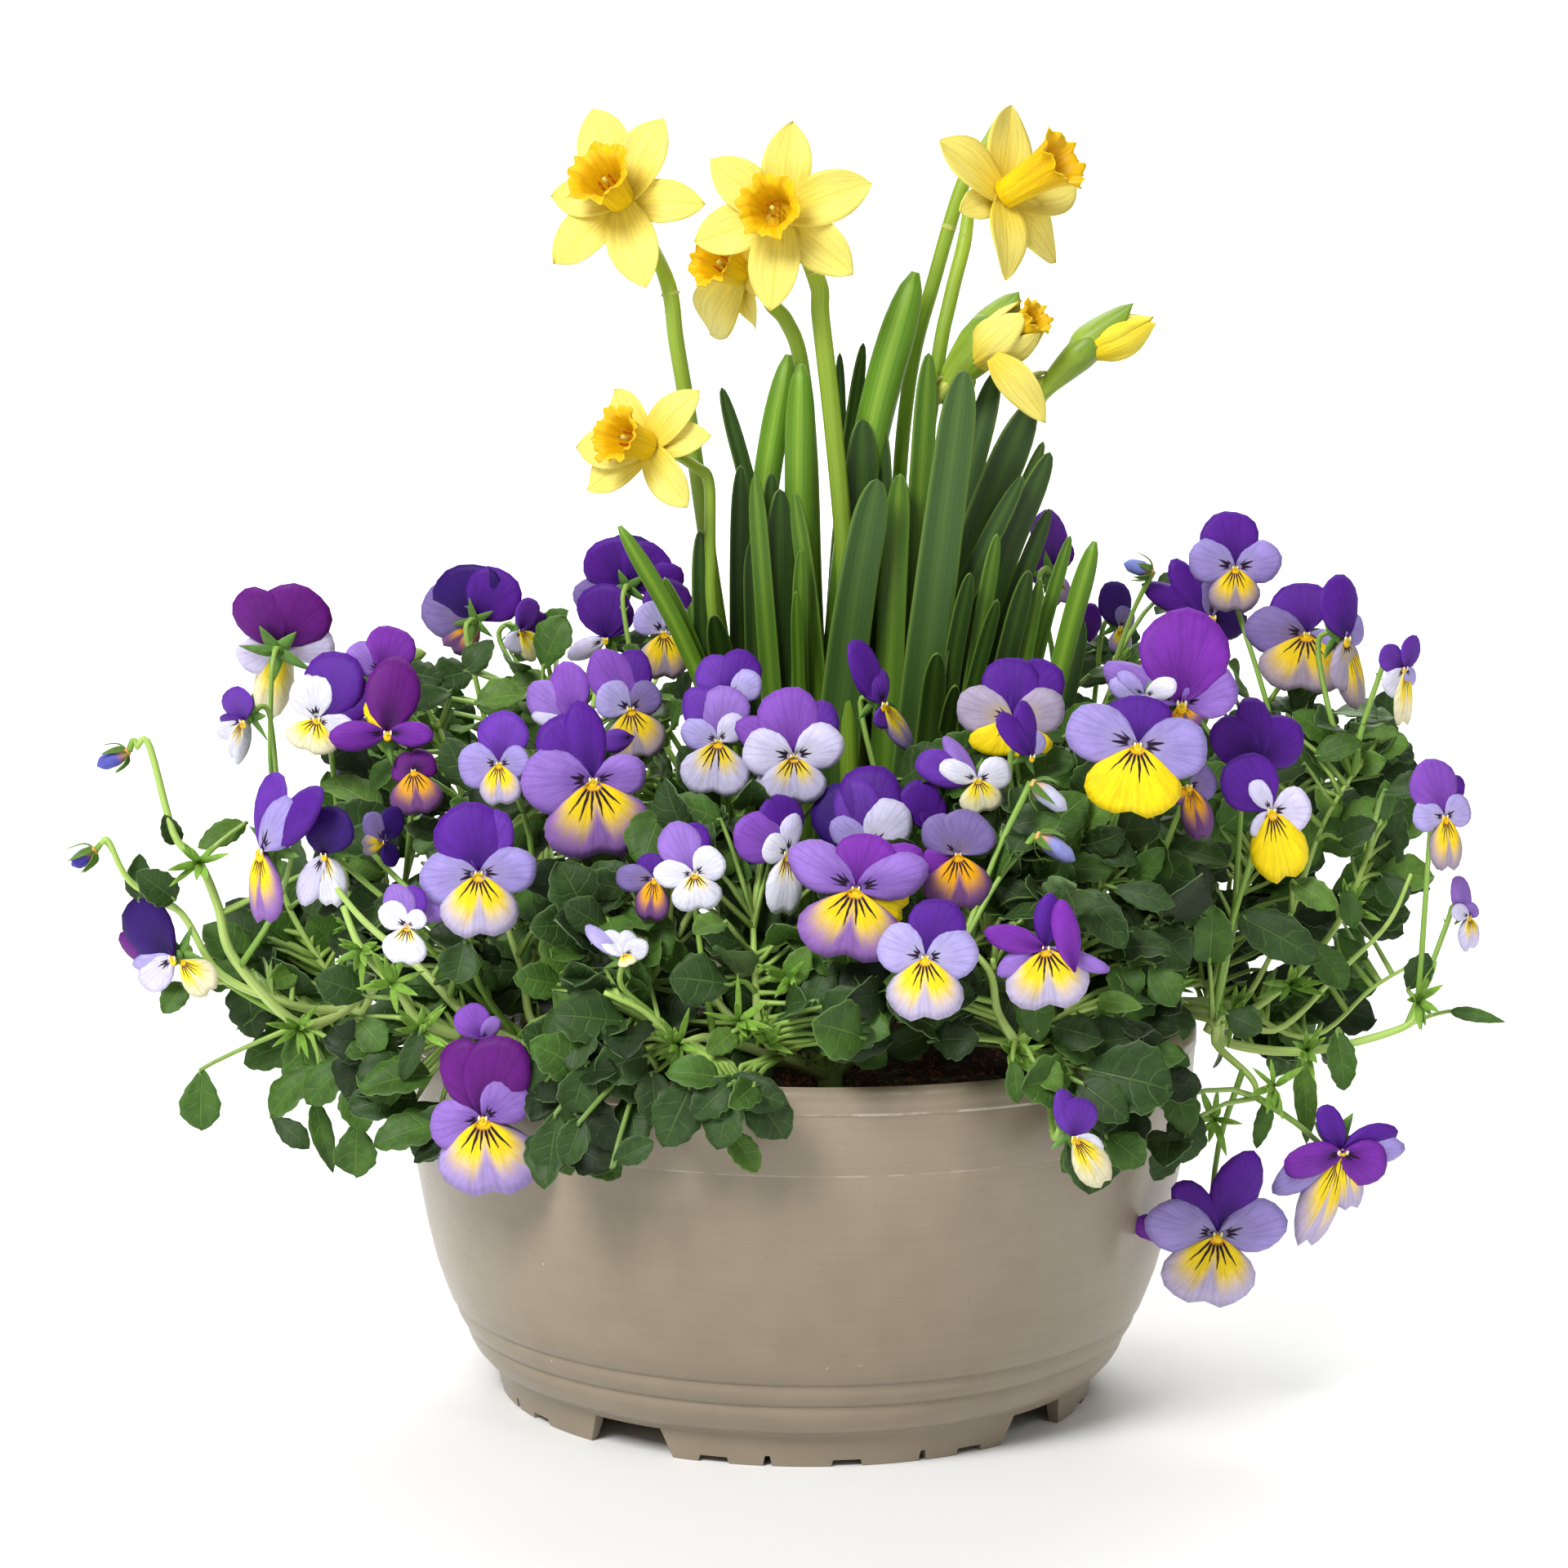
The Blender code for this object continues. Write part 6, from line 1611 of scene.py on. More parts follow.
T, Q = Tint, LipTint
BLOOMS: dict[str, tuple[str, list[Bloom]]] = {
    "01": ("plum", [
        Bloom((343, 790), 30, 172, 25, (
            lip(322, 888, 50, Q.CREAM), wing(292, 814, 50, T.PEARL), wing(409, 792, 52, T.PEARL),
            up(378, 720, 92, T.PLUM), up(300, 720, 62, T.PLUM)))]),
    "02": ("white", [
        Bloom((389, 881), -34, -12, 8, (
            up(452, 838, 60, T.DEEP), up(424, 799, 76, T.DEEP), wing(434, 904, 40, T.SNOW),
            wing(376, 825, 60, T.SNOW), lip(374, 922, 66, Q.CREAM))),
        Bloom((474, 898), -44, 12, 10, (
            lip(456, 850, 34, Q.SUN, 3), up(488, 804, 68, T.PLUM), wing(404, 903, 38, T.MAGENTA, -2),
            wing(531, 900, 32, T.MAGENTA, -2))),
        Bloom((468, 822), -30, 8, 8, (
            wing(426, 794, 44, T.ORCHID), up(488, 768, 64, T.MAGENTA)))]),
    "03": ("plum", [
        Bloom((584, 758), 62, 165, 12, (
            lip(545, 800, 46, Q.AMBER), wing(514, 744, 70, T.SMOKE), up(562, 692, 86, T.NIGHT),
            up(624, 702, 74, T.DEEP))),
        Bloom((636, 772), 52, 40, 0, (
            up(676, 768, 44, T.DEEP), wing(630, 800, 30, T.PEARL), lip(664, 806, 32, Q.CREAM),
            up(652, 732, 30, T.ROYAL, -3)))]),
    "04": ("plum", [
        Bloom((770, 716), 88, 172, 16, (
            up(770, 655, 70, T.NIGHT), wing(700, 738, 44, T.SMOKE), wing(838, 704, 44, T.DEEP),
            up(730, 664, 72, T.DEEP), up(812, 672, 70, T.DEEP))),
        Bloom((742, 782), 82, -10, -6, (
            up(764, 732, 44, T.DEEP), up(738, 714, 68, T.DEEP), wing(694, 806, 26, T.PEARL)))]),
    "05": ("white", [
        Bloom((812, 774), 30, 12, 4, (
            up(822, 708, 62, T.DEEP), wing(784, 742, 48, T.MIST), wing(842, 746, 44, T.MIST),
            lip(815, 834, 64, Q.OLIVE)))]),
    "06": ("lilac", [
        Bloom((322, 1042), -62, -40, 0, (
            up(338, 945, 42, T.ROYAL), up(394, 966, 44, T.DEEP), wing(352, 978, 48, T.LAVENDER),
            lip(320, 1134, 42, Q.MAUVE))),
        Bloom((398, 1046), -66, -20, -4, (
            lip(402, 1114, 42, Q.SNOW), wing(366, 1108, 36, T.PEARL), wing(386, 1002, 36, T.NIGHT),
            up(414, 988, 58, T.NIGHT)))]),
    "08": ("lilac", [
        Bloom((586, 1069), -110, 4, 4, (
            wing(515, 1126, 46, T.ORCHID, 3), up(610, 991, 62, T.ROYAL), up(568, 983, 92, T.DEEP),
            wing(514, 1082, 68, T.LAVENDER), wing(658, 1062, 58, T.LAVENDER), lip(588, 1151, 98, Q.CLASSIC))),
        Bloom((500, 1134), -114, -8, 0, (
            up(508, 1084, 36, T.ROYAL), up(480, 1083, 40, T.ORCHID), wing(466, 1110, 36, T.SNOW),
            wing(520, 1118, 26, T.SNOW), lip(492, 1182, 56, Q.SNOW)))]),
    "09": ("lilac", [
        Bloom((726, 955), -84, 6, 4, (
            up(672, 880, 80, T.DEEP), up(708, 858, 52, T.DEEP), wing(638, 958, 84, T.ORCHID),
            wing(792, 944, 52, T.ORCHID), lip(738, 1054, 134, Q.MAUVE))),
        Bloom((612, 935), -82, -14, 6, (
            up(618, 870, 64, T.ROYAL), wing(560, 940, 58, T.LAVENDER), wing(648, 930, 40, T.LAVENDER),
            lip(612, 988, 52, Q.CLASSIC)))]),
    "10": ("yellow", [
        Bloom((506, 944), -42, 6, 14, (
            up(482, 934, 40, T.PLUM), wing(530, 925, 40, T.PLUM), lip(513, 998, 66, Q.AMBER))),
        Bloom((470, 1030), -56, 30, 0, (
            lip(444, 1038, 26, Q.OLIVE), wing(450, 996, 30, T.SMOKE), up(486, 988, 32, T.NIGHT),
            up(482, 1060, 24, T.NIGHT)))]),
    "11": ("lilac", [
        Bloom((772, 868), -34, 4, 4, (
            up(776, 794, 50, T.DEEP), up(730, 797, 58, T.GRAPE), wing(806, 842, 44, T.SMOKE),
            wing(732, 846, 50, T.MIST), lip(784, 932, 76, Q.OLIVE))),
        Bloom((776, 902), -37, 0, 0, (wing(736, 912, 30, T.ROYAL, -2),)),
        Bloom((704, 882), -32, -18, 12, (
            wing(650, 876, 26, T.PEARL), up(646, 842, 52, T.ORCHID), up(690, 810, 52, T.GRAPE)))]),
    "12": ("white", [
        Bloom((895, 852), -56, 2, 10, (
            up(862, 806, 54, T.ROYAL), up(914, 796, 56, T.DEEP), wing(930, 828, 42, T.MIST))),
        Bloom((880, 907), -60, -6, 2, (
            up(846, 842, 52, T.ROYAL), up(893, 840, 64, T.ORCHID), wing(834, 890, 44, T.MIST),
            wing(910, 878, 36, T.PEARL), lip(872, 977, 88, Q.PEARL))),
        Bloom((972, 926), -66, 2, 4, (
            up(902, 884, 46, T.GRAPE), up(1018, 862, 58, T.ROYAL), up(962, 841, 80, T.GRAPE),
            lip(950, 992, 70, Q.PEARL, 3), wing(909, 918, 62, T.PEARL), wing(1032, 903, 58, T.PEARL),
            lip(972, 986, 82, Q.PEARL)))]),
    "13": ("violet", [
        Bloom((300, 882), -4, -40, -20, (
            up(282, 842, 38, T.ROYAL), wing(262, 902, 32, T.SNOW), up(270, 884, 22, T.DEEP),
            lip(278, 938, 28, Q.SNOW)))]),
    "14": ("white", [
        Bloom((962, 1044), -104, 24, 0, (
            up(952, 973, 60, T.DEEP), up(902, 1010, 66, T.GRAPE), wing(974, 996, 28, T.PEARL),
            lip(960, 1124, 46, Q.SNOW), wing(934, 1034, 40, T.SNOW)))]),
    "15": ("white", [
        Bloom((802, 1076), -116, -14, 0, (
            up(786, 1048, 40, T.DEEP), wing(752, 1076, 36, T.SMOKE), lip(794, 1130, 44, Q.AMBER))),
        Bloom((850, 1070), -122, 4, 4, (
            up(852, 1006, 40, T.DEEP), up(820, 1008, 56, T.ORCHID), wing(800, 1070, 36, T.SNOW),
            wing(884, 1046, 46, T.SNOW), lip(856, 1117, 64, Q.SNOW)))]),
    "16": ("white", [
        Bloom((764, 1172), -142, 6, 36, (
            up(717, 1132, 22, T.MIST), up(740, 1140, 28, T.SNOW), up(770, 1140, 28, T.SNOW),
            wing(792, 1154, 28, T.SNOW), lip(772, 1184, 24, Q.CREAM)))]),
    "17": ("violet", [
        Bloom((1064, 1036), -72, -4, 4, (
            up(1006, 968, 80, T.NIGHT), up(1066, 936, 84, T.DEEP), up(1042, 954, 62, T.ROYAL),
            wing(1018, 1006, 42, T.LAVENDER), wing(1106, 984, 64, T.PEARL))),
        Bloom((1134, 1014), -70, 12, 0, (up(1120, 956, 56, T.DEEP), up(1148, 974, 40, T.DEEP)))]),
    "18": ("violet", [
        Bloom((1172, 1046), -118, 12, 2, (
            wing(1132, 1060, 40, T.MAGENTA), wing(1138, 1002, 50, T.SMOKE), up(1198, 996, 70, T.SMOKE),
            lip(1176, 1118, 86, Q.AMBER))),
        Bloom((1048, 1088), -132, -2, 6, (
            lip(1112, 1118, 60, Q.SUN, 4), up(1128, 1040, 50, T.MAGENTA), up(1076, 1024, 84, T.MAGENTA),
            wing(968, 1040, 62, T.ORCHID), wing(1136, 1060, 60, T.ORCHID), lip(1034, 1179, 132, Q.MAUVE)))]),
    "19": ("lilac", [
        Bloom((1133, 1172), -152, -4, 4, (
            up(1160, 1102, 74, T.DEEP), wing(1076, 1152, 64, T.MIST), wing(1198, 1164, 64, T.MIST),
            lip(1132, 1253, 96, Q.CLASSIC)))]),
    "20": ("violet", [
        Bloom((1280, 1160), -146, 6, -4, (
            up(1286, 1094, 34, T.DEEP), wing(1222, 1194, 30, T.ORCHID), wing(1360, 1190, 22, T.ORCHID),
            lip(1287, 1240, 106, Q.CLASSIC), up(1205, 1140, 34, T.MAGENTA, -2))),
        Bloom((1316, 1190), -149, 6, -4, (up(1298, 1102, 34, T.MAGENTA),))]),
    "21": ("violet", [
        Bloom((1080, 862), -50, 40, 0, (
            up(1046, 784, 38, T.DEEP), wing(1072, 820, 34, T.ROYAL), wing(1084, 892, 26, T.ROYAL),
            lip(1120, 918, 28, Q.LILAC)))]),
    "22": ("white", [
        Bloom((1240, 880), -76, 0, 4, (
            up(1292, 812, 68, T.DEEP), up(1236, 804, 74, T.DEEP), wing(1172, 860, 62, T.BUFF),
            wing(1304, 862, 58, T.BUFF), lip(1236, 930, 104, Q.SUN))),
        Bloom((1262, 926), -94, 30, 0, (
            wing(1274, 896, 30, T.MIST), up(1252, 858, 30, T.DEEP), up(1222, 874, 30, T.DEEP))),
        Bloom((1196, 955), -92, 12, 8, (
            up(1122, 930, 46, T.ROYAL), up(1156, 902, 24, T.ORCHID), wing(1152, 936, 34, T.SNOW),
            wing(1238, 940, 42, T.SNOW), lip(1206, 997, 54, Q.CREAM)))]),
    "24": ("yellow", [
        Bloom((1446, 862), -76, 4, 8, (
            wing(1352, 816, 44, T.ORCHID), lip(1456, 894, 46, Q.AMBER), wing(1514, 832, 70, T.ORCHID),
            up(1454, 745, 112, T.MAGENTA))),
        Bloom((1402, 852), -86, -20, 0, (
            wing(1356, 838, 30, T.MIST), wing(1368, 824, 22, T.LAVENDER), wing(1440, 836, 28, T.SNOW))),
        Bloom((1393, 912), -96, 0, 8, (
            up(1384, 852, 94, T.DEEP), wing(1306, 886, 74, T.LAVENDER), wing(1480, 920, 78, T.LAVENDER),
            lip(1384, 1002, 120, Q.SUN)))]),
    "26": ("violet", [
        Bloom((1482, 756), 44, 20, 0, (
            wing(1528, 768, 44, T.NIGHT), up(1400, 716, 32, T.DEEP), up(1434, 686, 36, T.DEEP),
            wing(1480, 708, 26, T.SMOKE))),
        Bloom((1512, 695), 30, 4, 2, (
            up(1500, 626, 74, T.DEEP), wing(1457, 678, 58, T.LAVENDER), wing(1570, 682, 54, T.LAVENDER),
            lip(1513, 752, 64, Q.OLIVE))),
        Bloom((1600, 776), 22, -6, 4, (
            up(1584, 714, 78, T.DEEP), wing(1524, 768, 60, T.SMOKE), wing(1640, 800, 36, T.LAVENDER),
            lip(1592, 850, 112, Q.OLIVE))),
        Bloom((1646, 782), 2, 40, 0, (
            lip(1676, 870, 34, Q.OLIVE), wing(1656, 846, 40, T.BUFF), wing(1670, 762, 36, T.LAVENDER),
            up(1636, 704, 48, T.DEEP)))]),
    "28": ("white", [
        Bloom((1718, 818), -4, 40, -6, (
            up(1692, 796, 34, T.ROYAL), wing(1702, 852, 30, T.SNOW), lip(1722, 892, 24, Q.CREAM),
            up(1732, 778, 24, T.ROYAL), wing(1730, 838, 22, T.MIST)))]),
    "29": ("violet", [
        Bloom((1370, 768), 74, 30, 0, (
            up(1362, 711, 42, T.NIGHT), wing(1384, 745, 28, T.SMOKE), lip(1376, 800, 30, Q.LILAC)))]),
    "30": ("plum", [
        Bloom((1290, 700), 84, 150, 0, (
            up(1278, 624, 46, T.ROYAL), up(1306, 660, 34, T.DEEP), wing(1258, 700, 34, T.DEEP),
            lip(1300, 742, 32, Q.LILAC))),
        Bloom((1334, 786), 78, 20, 0, (up(1336, 738, 30, T.DEEP),))]),
    "31": ("plum", [
        Bloom((1456, 962), -60, 0, 0, (
            wing(1490, 956, 44, T.SMOKE), lip(1450, 988, 42, Q.AMBER), lip(1474, 1030, 40, Q.AMBER))),
        Bloom((1540, 932), -50, 20, 8, (
            up(1592, 888, 64, T.DEEP), up(1532, 852, 46, T.DEEP), up(1486, 886, 58, T.DEEP))),
        Bloom((1556, 992), -62, 6, 0, (
            up(1508, 930, 74, T.DEEP), wing(1534, 956, 28, T.PEARL), wing(1534, 1024, 22, T.PEARL),
            wing(1606, 992, 58, T.PEARL), lip(1578, 1082, 72, Q.SUN)))]),
    "33": ("lilac", [
        Bloom((1768, 1000), -44, 16, 2, (
            up(1790, 950, 26, T.DEEP), up(1746, 930, 60, T.GRAPE), wing(1731, 998, 42, T.MIST),
            wing(1800, 986, 42, T.MIST), lip(1776, 1069, 42, Q.OLIVE)))]),
    "34": ("lilac", [
        Bloom((1797, 1122), -20, 30, -6, (
            up(1785, 1073, 26, T.ORCHID), wing(1808, 1108, 22, T.ORCHID), wing(1778, 1112, 22, T.PEARL),
            lip(1803, 1166, 28, Q.PEARL)))]),
    "35": ("violet", [
        Bloom((1490, 1510), -66, 6, -4, (
            up(1384, 1502, 40, T.MAGENTA), up(1535, 1410, 58, T.DEEP), up(1440, 1448, 46, T.DEEP),
            wing(1402, 1494, 66, T.LAVENDER), wing(1577, 1496, 66, T.LAVENDER),
            lip(1474, 1602, 116, Q.CLASSIC))),
        Bloom((1642, 1408), -48, 12, -10, (
            wing(1722, 1410, 38, T.LAVENDER), up(1620, 1354, 34, T.DEEP), up(1712, 1386, 36, T.DEEP),
            wing(1560, 1462, 42, T.LAVENDER), lip(1600, 1534, 50, Q.CLASSIC), lip(1656, 1484, 44, Q.CLASSIC),
            wing(1571, 1430, 42, T.MAGENTA, -3), wing(1694, 1436, 60, T.MAGENTA, -3)))]),
    "36": ("lilac", [
        Bloom((590, 1272), -112, 0, 0, (up(568, 1231, 46, T.GRAPE), wing(610, 1246, 22, T.ORCHID))),
        Bloom((592, 1368), -118, -4, -6, (
            up(556, 1274, 66, T.PLUM), up(622, 1270, 86, T.PLUM), wing(529, 1392, 70, T.ORCHID),
            wing(640, 1330, 66, T.ORCHID), lip(602, 1471, 130, Q.LILAC)))]),
    "37": ("plum", [
        Bloom((214, 1172), -28, -30, -6, (
            up(142, 1152, 44, T.PLUM), up(152, 1108, 66, T.NIGHT), wing(162, 1182, 26, T.MIST),
            wing(172, 1208, 44, T.PEARL))),
        Bloom((222, 1176), -30, -10, -6, (lip(258, 1218, 46, Q.CREAM),))]),
    "38": ("violet", [
        Bloom((1314, 1392), -152, 24, -6, (
            up(1300, 1334, 30, T.ROYAL), up(1326, 1344, 48, T.ROYAL), wing(1350, 1408, 26, T.SNOW),
            lip(1356, 1452, 46, Q.CREAM)))]),
    "39": ("lilac", [whole((-160, 84, 196), 42, -108, 14, T.DEEP, T.LAVENDER, Q.CLASSIC),
                     whole((-150, 101, 178), 36, -134, -4, T.GRAPE, T.PEARL, Q.PEARL)]),
    "40": ("violet", [whole((-96, 136, 196), 42, -138, 14, T.ROYAL, T.ORCHID, Q.MAUVE),
                      whole((-77.5, 147, 180), 36, -160, -4, T.DEEP, T.LAVENDER, Q.CLASSIC)]),
    "41": ("yellow", [whole((-16, 158, 198), 42, -166, 12, T.DEEP, T.LAVENDER, Q.SUN),
                      whole((6, 158, 182), 36, 168, -4, T.ORCHID, T.SNOW, Q.SNOW)]),
    "42": ("lilac", [whole((74, 146, 200), 42, 146, 12, T.GRAPE, T.PEARL, Q.PEARL),
                     whole((94.6, 139, 182), 36, 162, -4, T.ROYAL, T.ORCHID, Q.MAUVE)]),
    "43": ("violet", [whole((158, 88, 196), 42, 110, 12, T.DEEP, T.LAVENDER, Q.CLASSIC),
                      whole((147, 110, 180), 36, 134, -4, T.DEEP, T.SNOW, Q.CREAM)]),
}


@dataclass
class Pansies:
    """Every pansy bloom: its petals, the heart, the green sepals behind and the start of the stalk."""

    finishes: Finishes
    thickness: float = 0.30
    layer: float = 0.35
    deepest: float = 16.0
    usual_length: float = 22.0
    least_shown: float = 17.0
    columns: int = 16
    rows: int = 8
    seed: int = 5

    def spoke(self, bloom: Bloom, petal: Petal, middle: Array, axes: Array) -> tuple[Array, float]:
        """The way from a bloom's throat to a petal's tip, and the petal's true width, in metres."""
        face = axes[2]
        if bloom.spot:
            u, v = petal.tip
            return (axes[0] * u - axes[1] * v) * MM + face * petal.back * MM * -1, petal.width * MM
        towards = face if face[1] < 0 else -face
        flat = VIEW.on_plane(*petal.tip, middle, towards)
        deepest = self.deepest * MM
        away = min(max(flat[1] - middle[1], -deepest), deepest) + (petal.back + petal.kind.value[2]) * MM
        tip = VIEW.at(*petal.tip, (middle[1] + away) / MM)
        spoke = tip - middle
        across = unit(np.cross(spoke, towards))
        probe = 0.01
        seen = VIEW.seen(np.array((middle, tip, middle + across * probe)))
        line, step = seen[1] - seen[0], seen[2] - seen[0]
        shown = abs(line[0] * step[1] - line[1] * step[0]) / max(np.linalg.norm(line), 1e-6)
        return spoke, petal.width / max(shown, self.least_shown) * probe

    def add_petal(self, pile: Pile, bloom: Bloom, petal: Petal, order: int, middle: Array,
                  axes: Array, draw: Draw) -> None:
        """Adds one petal, fanned out from the bloom's throat."""
        template = Template.sheet(self.columns, self.rows)
        fan, power, _, curl = petal.kind.value
        spoke, width = self.spoke(bloom, petal, middle, axes)
        length = float(np.linalg.norm(spoke))
        along = spoke / length
        face = axes[2] if axes[2][1] < 0 or bloom.spot else -axes[2]
        side = unit(np.cross(along, face))
        normal = np.cross(side, along)
        phase, ruffle = draw.uniform(0, 6), draw.uniform(0.3, 0.8)
        curl = curl * draw.uniform(0.6, 1.6)
        notch = 0.10 if petal.kind is Kind.LIP else 0.0
        sign = -1 if petal.kind is Kind.UPPER else 1
        fan = math.radians(fan)
        rim = np.linspace(-1, 1, 81)
        reach = np.sin(fan * rim) * (1 - np.abs(rim) ** power) ** (1 / power)
        widen = width / length / (reach.max() - reach.min())
        raised = self.layer * order * MM

        def surface(s: Array, t: Array) -> Array:
            c = np.sin(0.5 * math.pi * s)
            theta = fan * c
            edge = np.clip(1 - np.abs(c) ** power, 0, 1) ** (1 / power)
            edge = edge * (1 - notch * np.exp(-(c / 0.12) ** 2)) * (1 + 0.014 * np.sin(8 * theta + phase))
            radius = t * edge
            x, y = radius * np.sin(theta) * widen, radius * np.cos(theta)
            bulge = 0.10 * t * (1.1 - t) - curl * t ** 3
            bulge = bulge + 0.03 * ruffle * t ** 2 * np.sin(4 * theta + phase) - 0.06 * sign * x ** 2
            height = bulge * length + raised * np.clip(t * 6, 0, 1)
            return side * (x * length)[:, None] + along * (y * length)[:, None] + normal * height[:, None]

        across, share = template.points[:, 0], 0.5 + 0.5 * template.points[:, 1]
        local = surface(across, share)
        s, t, step = across * 0.90, 0.07 + share * 0.86, 0.02
        facing = unit(np.cross(surface(s + step, t) - surface(s - step, t),
                               surface(s, t + step) - surface(s, t - step)))
        local = local + facing * (template.points[:, 2] * self.thickness * MM)[:, None]
        centred = np.sin(0.5 * math.pi * across)
        outer, inner, *more = petal.tint.value
        seen_behind = abs(bloom.turn) > 90 and not bloom.spot
        marks = {Kind.UPPER: (0.35, 0.0, 0.0, 2.0), Kind.WING: (0.45, 1.0, 0.38, 2.0),
                 Kind.LIP: (0.6, 1.0, 0.54, 0.0)}[petal.kind]
        marks = np.tile(np.array(marks), (len(local), 1))
        marks[:, 3] += draw.random()
        if more:
            marks[:, 0] = more[0] - 0.34 * np.exp(-(centred / 0.11) ** 2)
        if seen_behind:
            marks[:, 1] = 0
        uvs = np.stack((0.5 + 0.5 * centred, share), axis=-1)
        pile.add(template, middle + local, uvs, 0, Look(srgb(*inner), srgb(*outer)), marks=marks)

    def add_heart(self, pile: Pile, size: float, middle: Array, axes: Array) -> None:
        """Adds the heart: a pale beard on each side, a green eye and the yellow throat."""
        scale = size * MM
        gold = Look(srgb(255, 190, 10), srgb(255, 206, 20))
        white = Look(srgb(250, 236, 150), srgb(252, 246, 200))
        green = Look(srgb(176, 160, 20), srgb(226, 196, 30))
        beard = (0.35, 0.75, 0.3)
        parts = ((0, -0.9, 1.0, (1.3, 1.5, 0.4), gold), (0.9, 0.1, 1.3, beard, white),
                 (-0.9, 0.1, 1.3, beard, white), (0, -0.4, 1.4, (0.5, 0.5, 0.3), green))
        for x, y, z, shape, look in parts:
            axis = np.diag(shape) @ axes * scale
            add_ball(pile, middle + vec(x, y, z) @ axes * scale, axis, 1, look)

    def add_sepals(self, pile: Pile, scale: float, middle: Array, axes: Array, draw: Draw) -> None:
        """Adds the five pointed sepals, and the cap where the stalk meets the bloom."""
        look = Look(srgb(150, 184, 96), srgb(96, 138, 60))
        for k in range(5):
            a = k * 2 * math.pi / 5 + draw.uniform(-0.2, 0.2)
            out = axes[0] * math.cos(a) + axes[1] * math.sin(a)
            back = -axes[2]
            path = [middle + back * 2.2 * scale, middle + (back * 3.2 + out * 3.5) * scale,
                    middle + (back * draw.uniform(2.4, 4.0) + out * draw.uniform(8, 10.5)) * scale]
            add_blade(pile, path, 3.4 * scale, back, Blade(lance_outline, 2, 5, 0.3, 0.2), 2, look)
        cap = [middle - axes[2] * back * scale for back in (1.0, 2.4, 4.2)]
        add_bar(pile, cap, [2.2 * scale, 1.9 * scale, 1.0 * scale], 2, look, 8, 4)

    def build(self) -> None:
        """Every bloom, a piece for each node."""
        draw = Draw(self.seed)
        for number, (slot, blooms) in BLOOMS.items():
            pile = Pile()
            for bloom in blooms:
                middle, axes = bloom.middle(), flower_axes(bloom.turn, bloom.nod)
                longest = 0.0
                for order, petal in enumerate(bloom.petals):
                    self.add_petal(pile, bloom, petal, order, middle, axes, draw)
                    longest = max(longest, float(np.linalg.norm(self.spoke(bloom, petal, middle, axes)[0])))
                size = longest / (self.usual_length * MM)
                if len(bloom.petals) > 2 and (abs(bloom.turn) < 90 or bloom.spot):
                    self.add_heart(pile, size, middle, axes)
                if len(bloom.petals) > 1:
                    self.add_sepals(pile, size * MM * 0.9, middle, axes, draw)
            kinds = [self.finishes.petal, self.finishes.heart, self.finishes.leaf]
            settle(pile.build(f"pansy_{number}", kinds), f"pansy_bloom_{number}")


# Foliage

CROWN_ANGLES = {"front_left": -128, "front": -84, "front_right": -38, "right": 12, "back": 88, "left": 172}
WIDE_PLANTS = ("left", "right")
STEM_SLOT, LEAF_SLOT, BUD_SLOT = range(3)
STEM = Look(srgb(196, 218, 132), srgb(170, 202, 98))
STALK = Look(srgb(164, 196, 98), srgb(128, 168, 66))
# Leaf colours from dark to light. Placed leaves and sepals take them as their own tone; close leaves take
# them through LIGHTS.
DARK_LEAF = Look(srgb(98, 128, 64), srgb(45, 70, 27))
SHADE_LEAF = Look(srgb(60, 84, 38), srgb(25, 44, 13))
MID_LEAF = Look(srgb(114, 148, 62), srgb(64, 98, 33))
FRESH_AND_LIT_LEAF = Look(srgb(138, 168, 78), srgb(86, 121, 44))
LEAF_UNDER = Look(srgb(132, 156, 104), srgb(104, 130, 82))
FRINGE = Look(srgb(166, 198, 94), srgb(128, 170, 66))
# Colours by how lit a close leaf is painted: the lowest values are painted shade, the highest painted light.
LIGHTS = ((0.30, SHADE_LEAF), (0.68, DARK_LEAF), (1.0, MID_LEAF), (9, FRESH_AND_LIT_LEAF))

# Where the leaves stand close together in the picture: at each u, their highest and lowest v
MASS = ((345, 1110, 1200), (380, 1040, 1300), (420, 980, 1340), (460, 940, 1330),
        (500, 920, 1350), (560, 930, 1400), (640, 950, 1420), (690, 950, 1400), (720, 950, 1340),
        (760, 960, 1330), (820, 960, 1335), (880, 950, 1335), (940, 945, 1330), (965, 940, 1285),
        (1220, 940, 1285), (1240, 950, 1310), (1300, 960, 1320), (1360, 950, 1400), (1420, 950, 1430),
        (1450, 940, 1400), (1480, 930, 1300), (1520, 900, 1290), (1580, 870, 1280), (1620, 900, 1260),
        (1650, 930, 1180), (1690, 950, 1040))
# The looser leaves that show above and behind the mass, in the same form, on the left and on the right
LOOSE = (((430, 880, 970), (480, 800, 970), (540, 790, 970), (600, 765, 970), (700, 760, 970),
          (760, 800, 960), (840, 880, 960)),
         ((1300, 800, 960), (1340, 740, 950), (1400, 710, 950), (1480, 770, 940), (1560, 830, 930),
          (1690, 880, 940)))


class Shoot(NamedTuple):
    """A leafy shoot of one pansy: its route in the picture, outwards from the crown, with depths."""

    plant: str
    width: float
    route: tuple[Triple, ...]


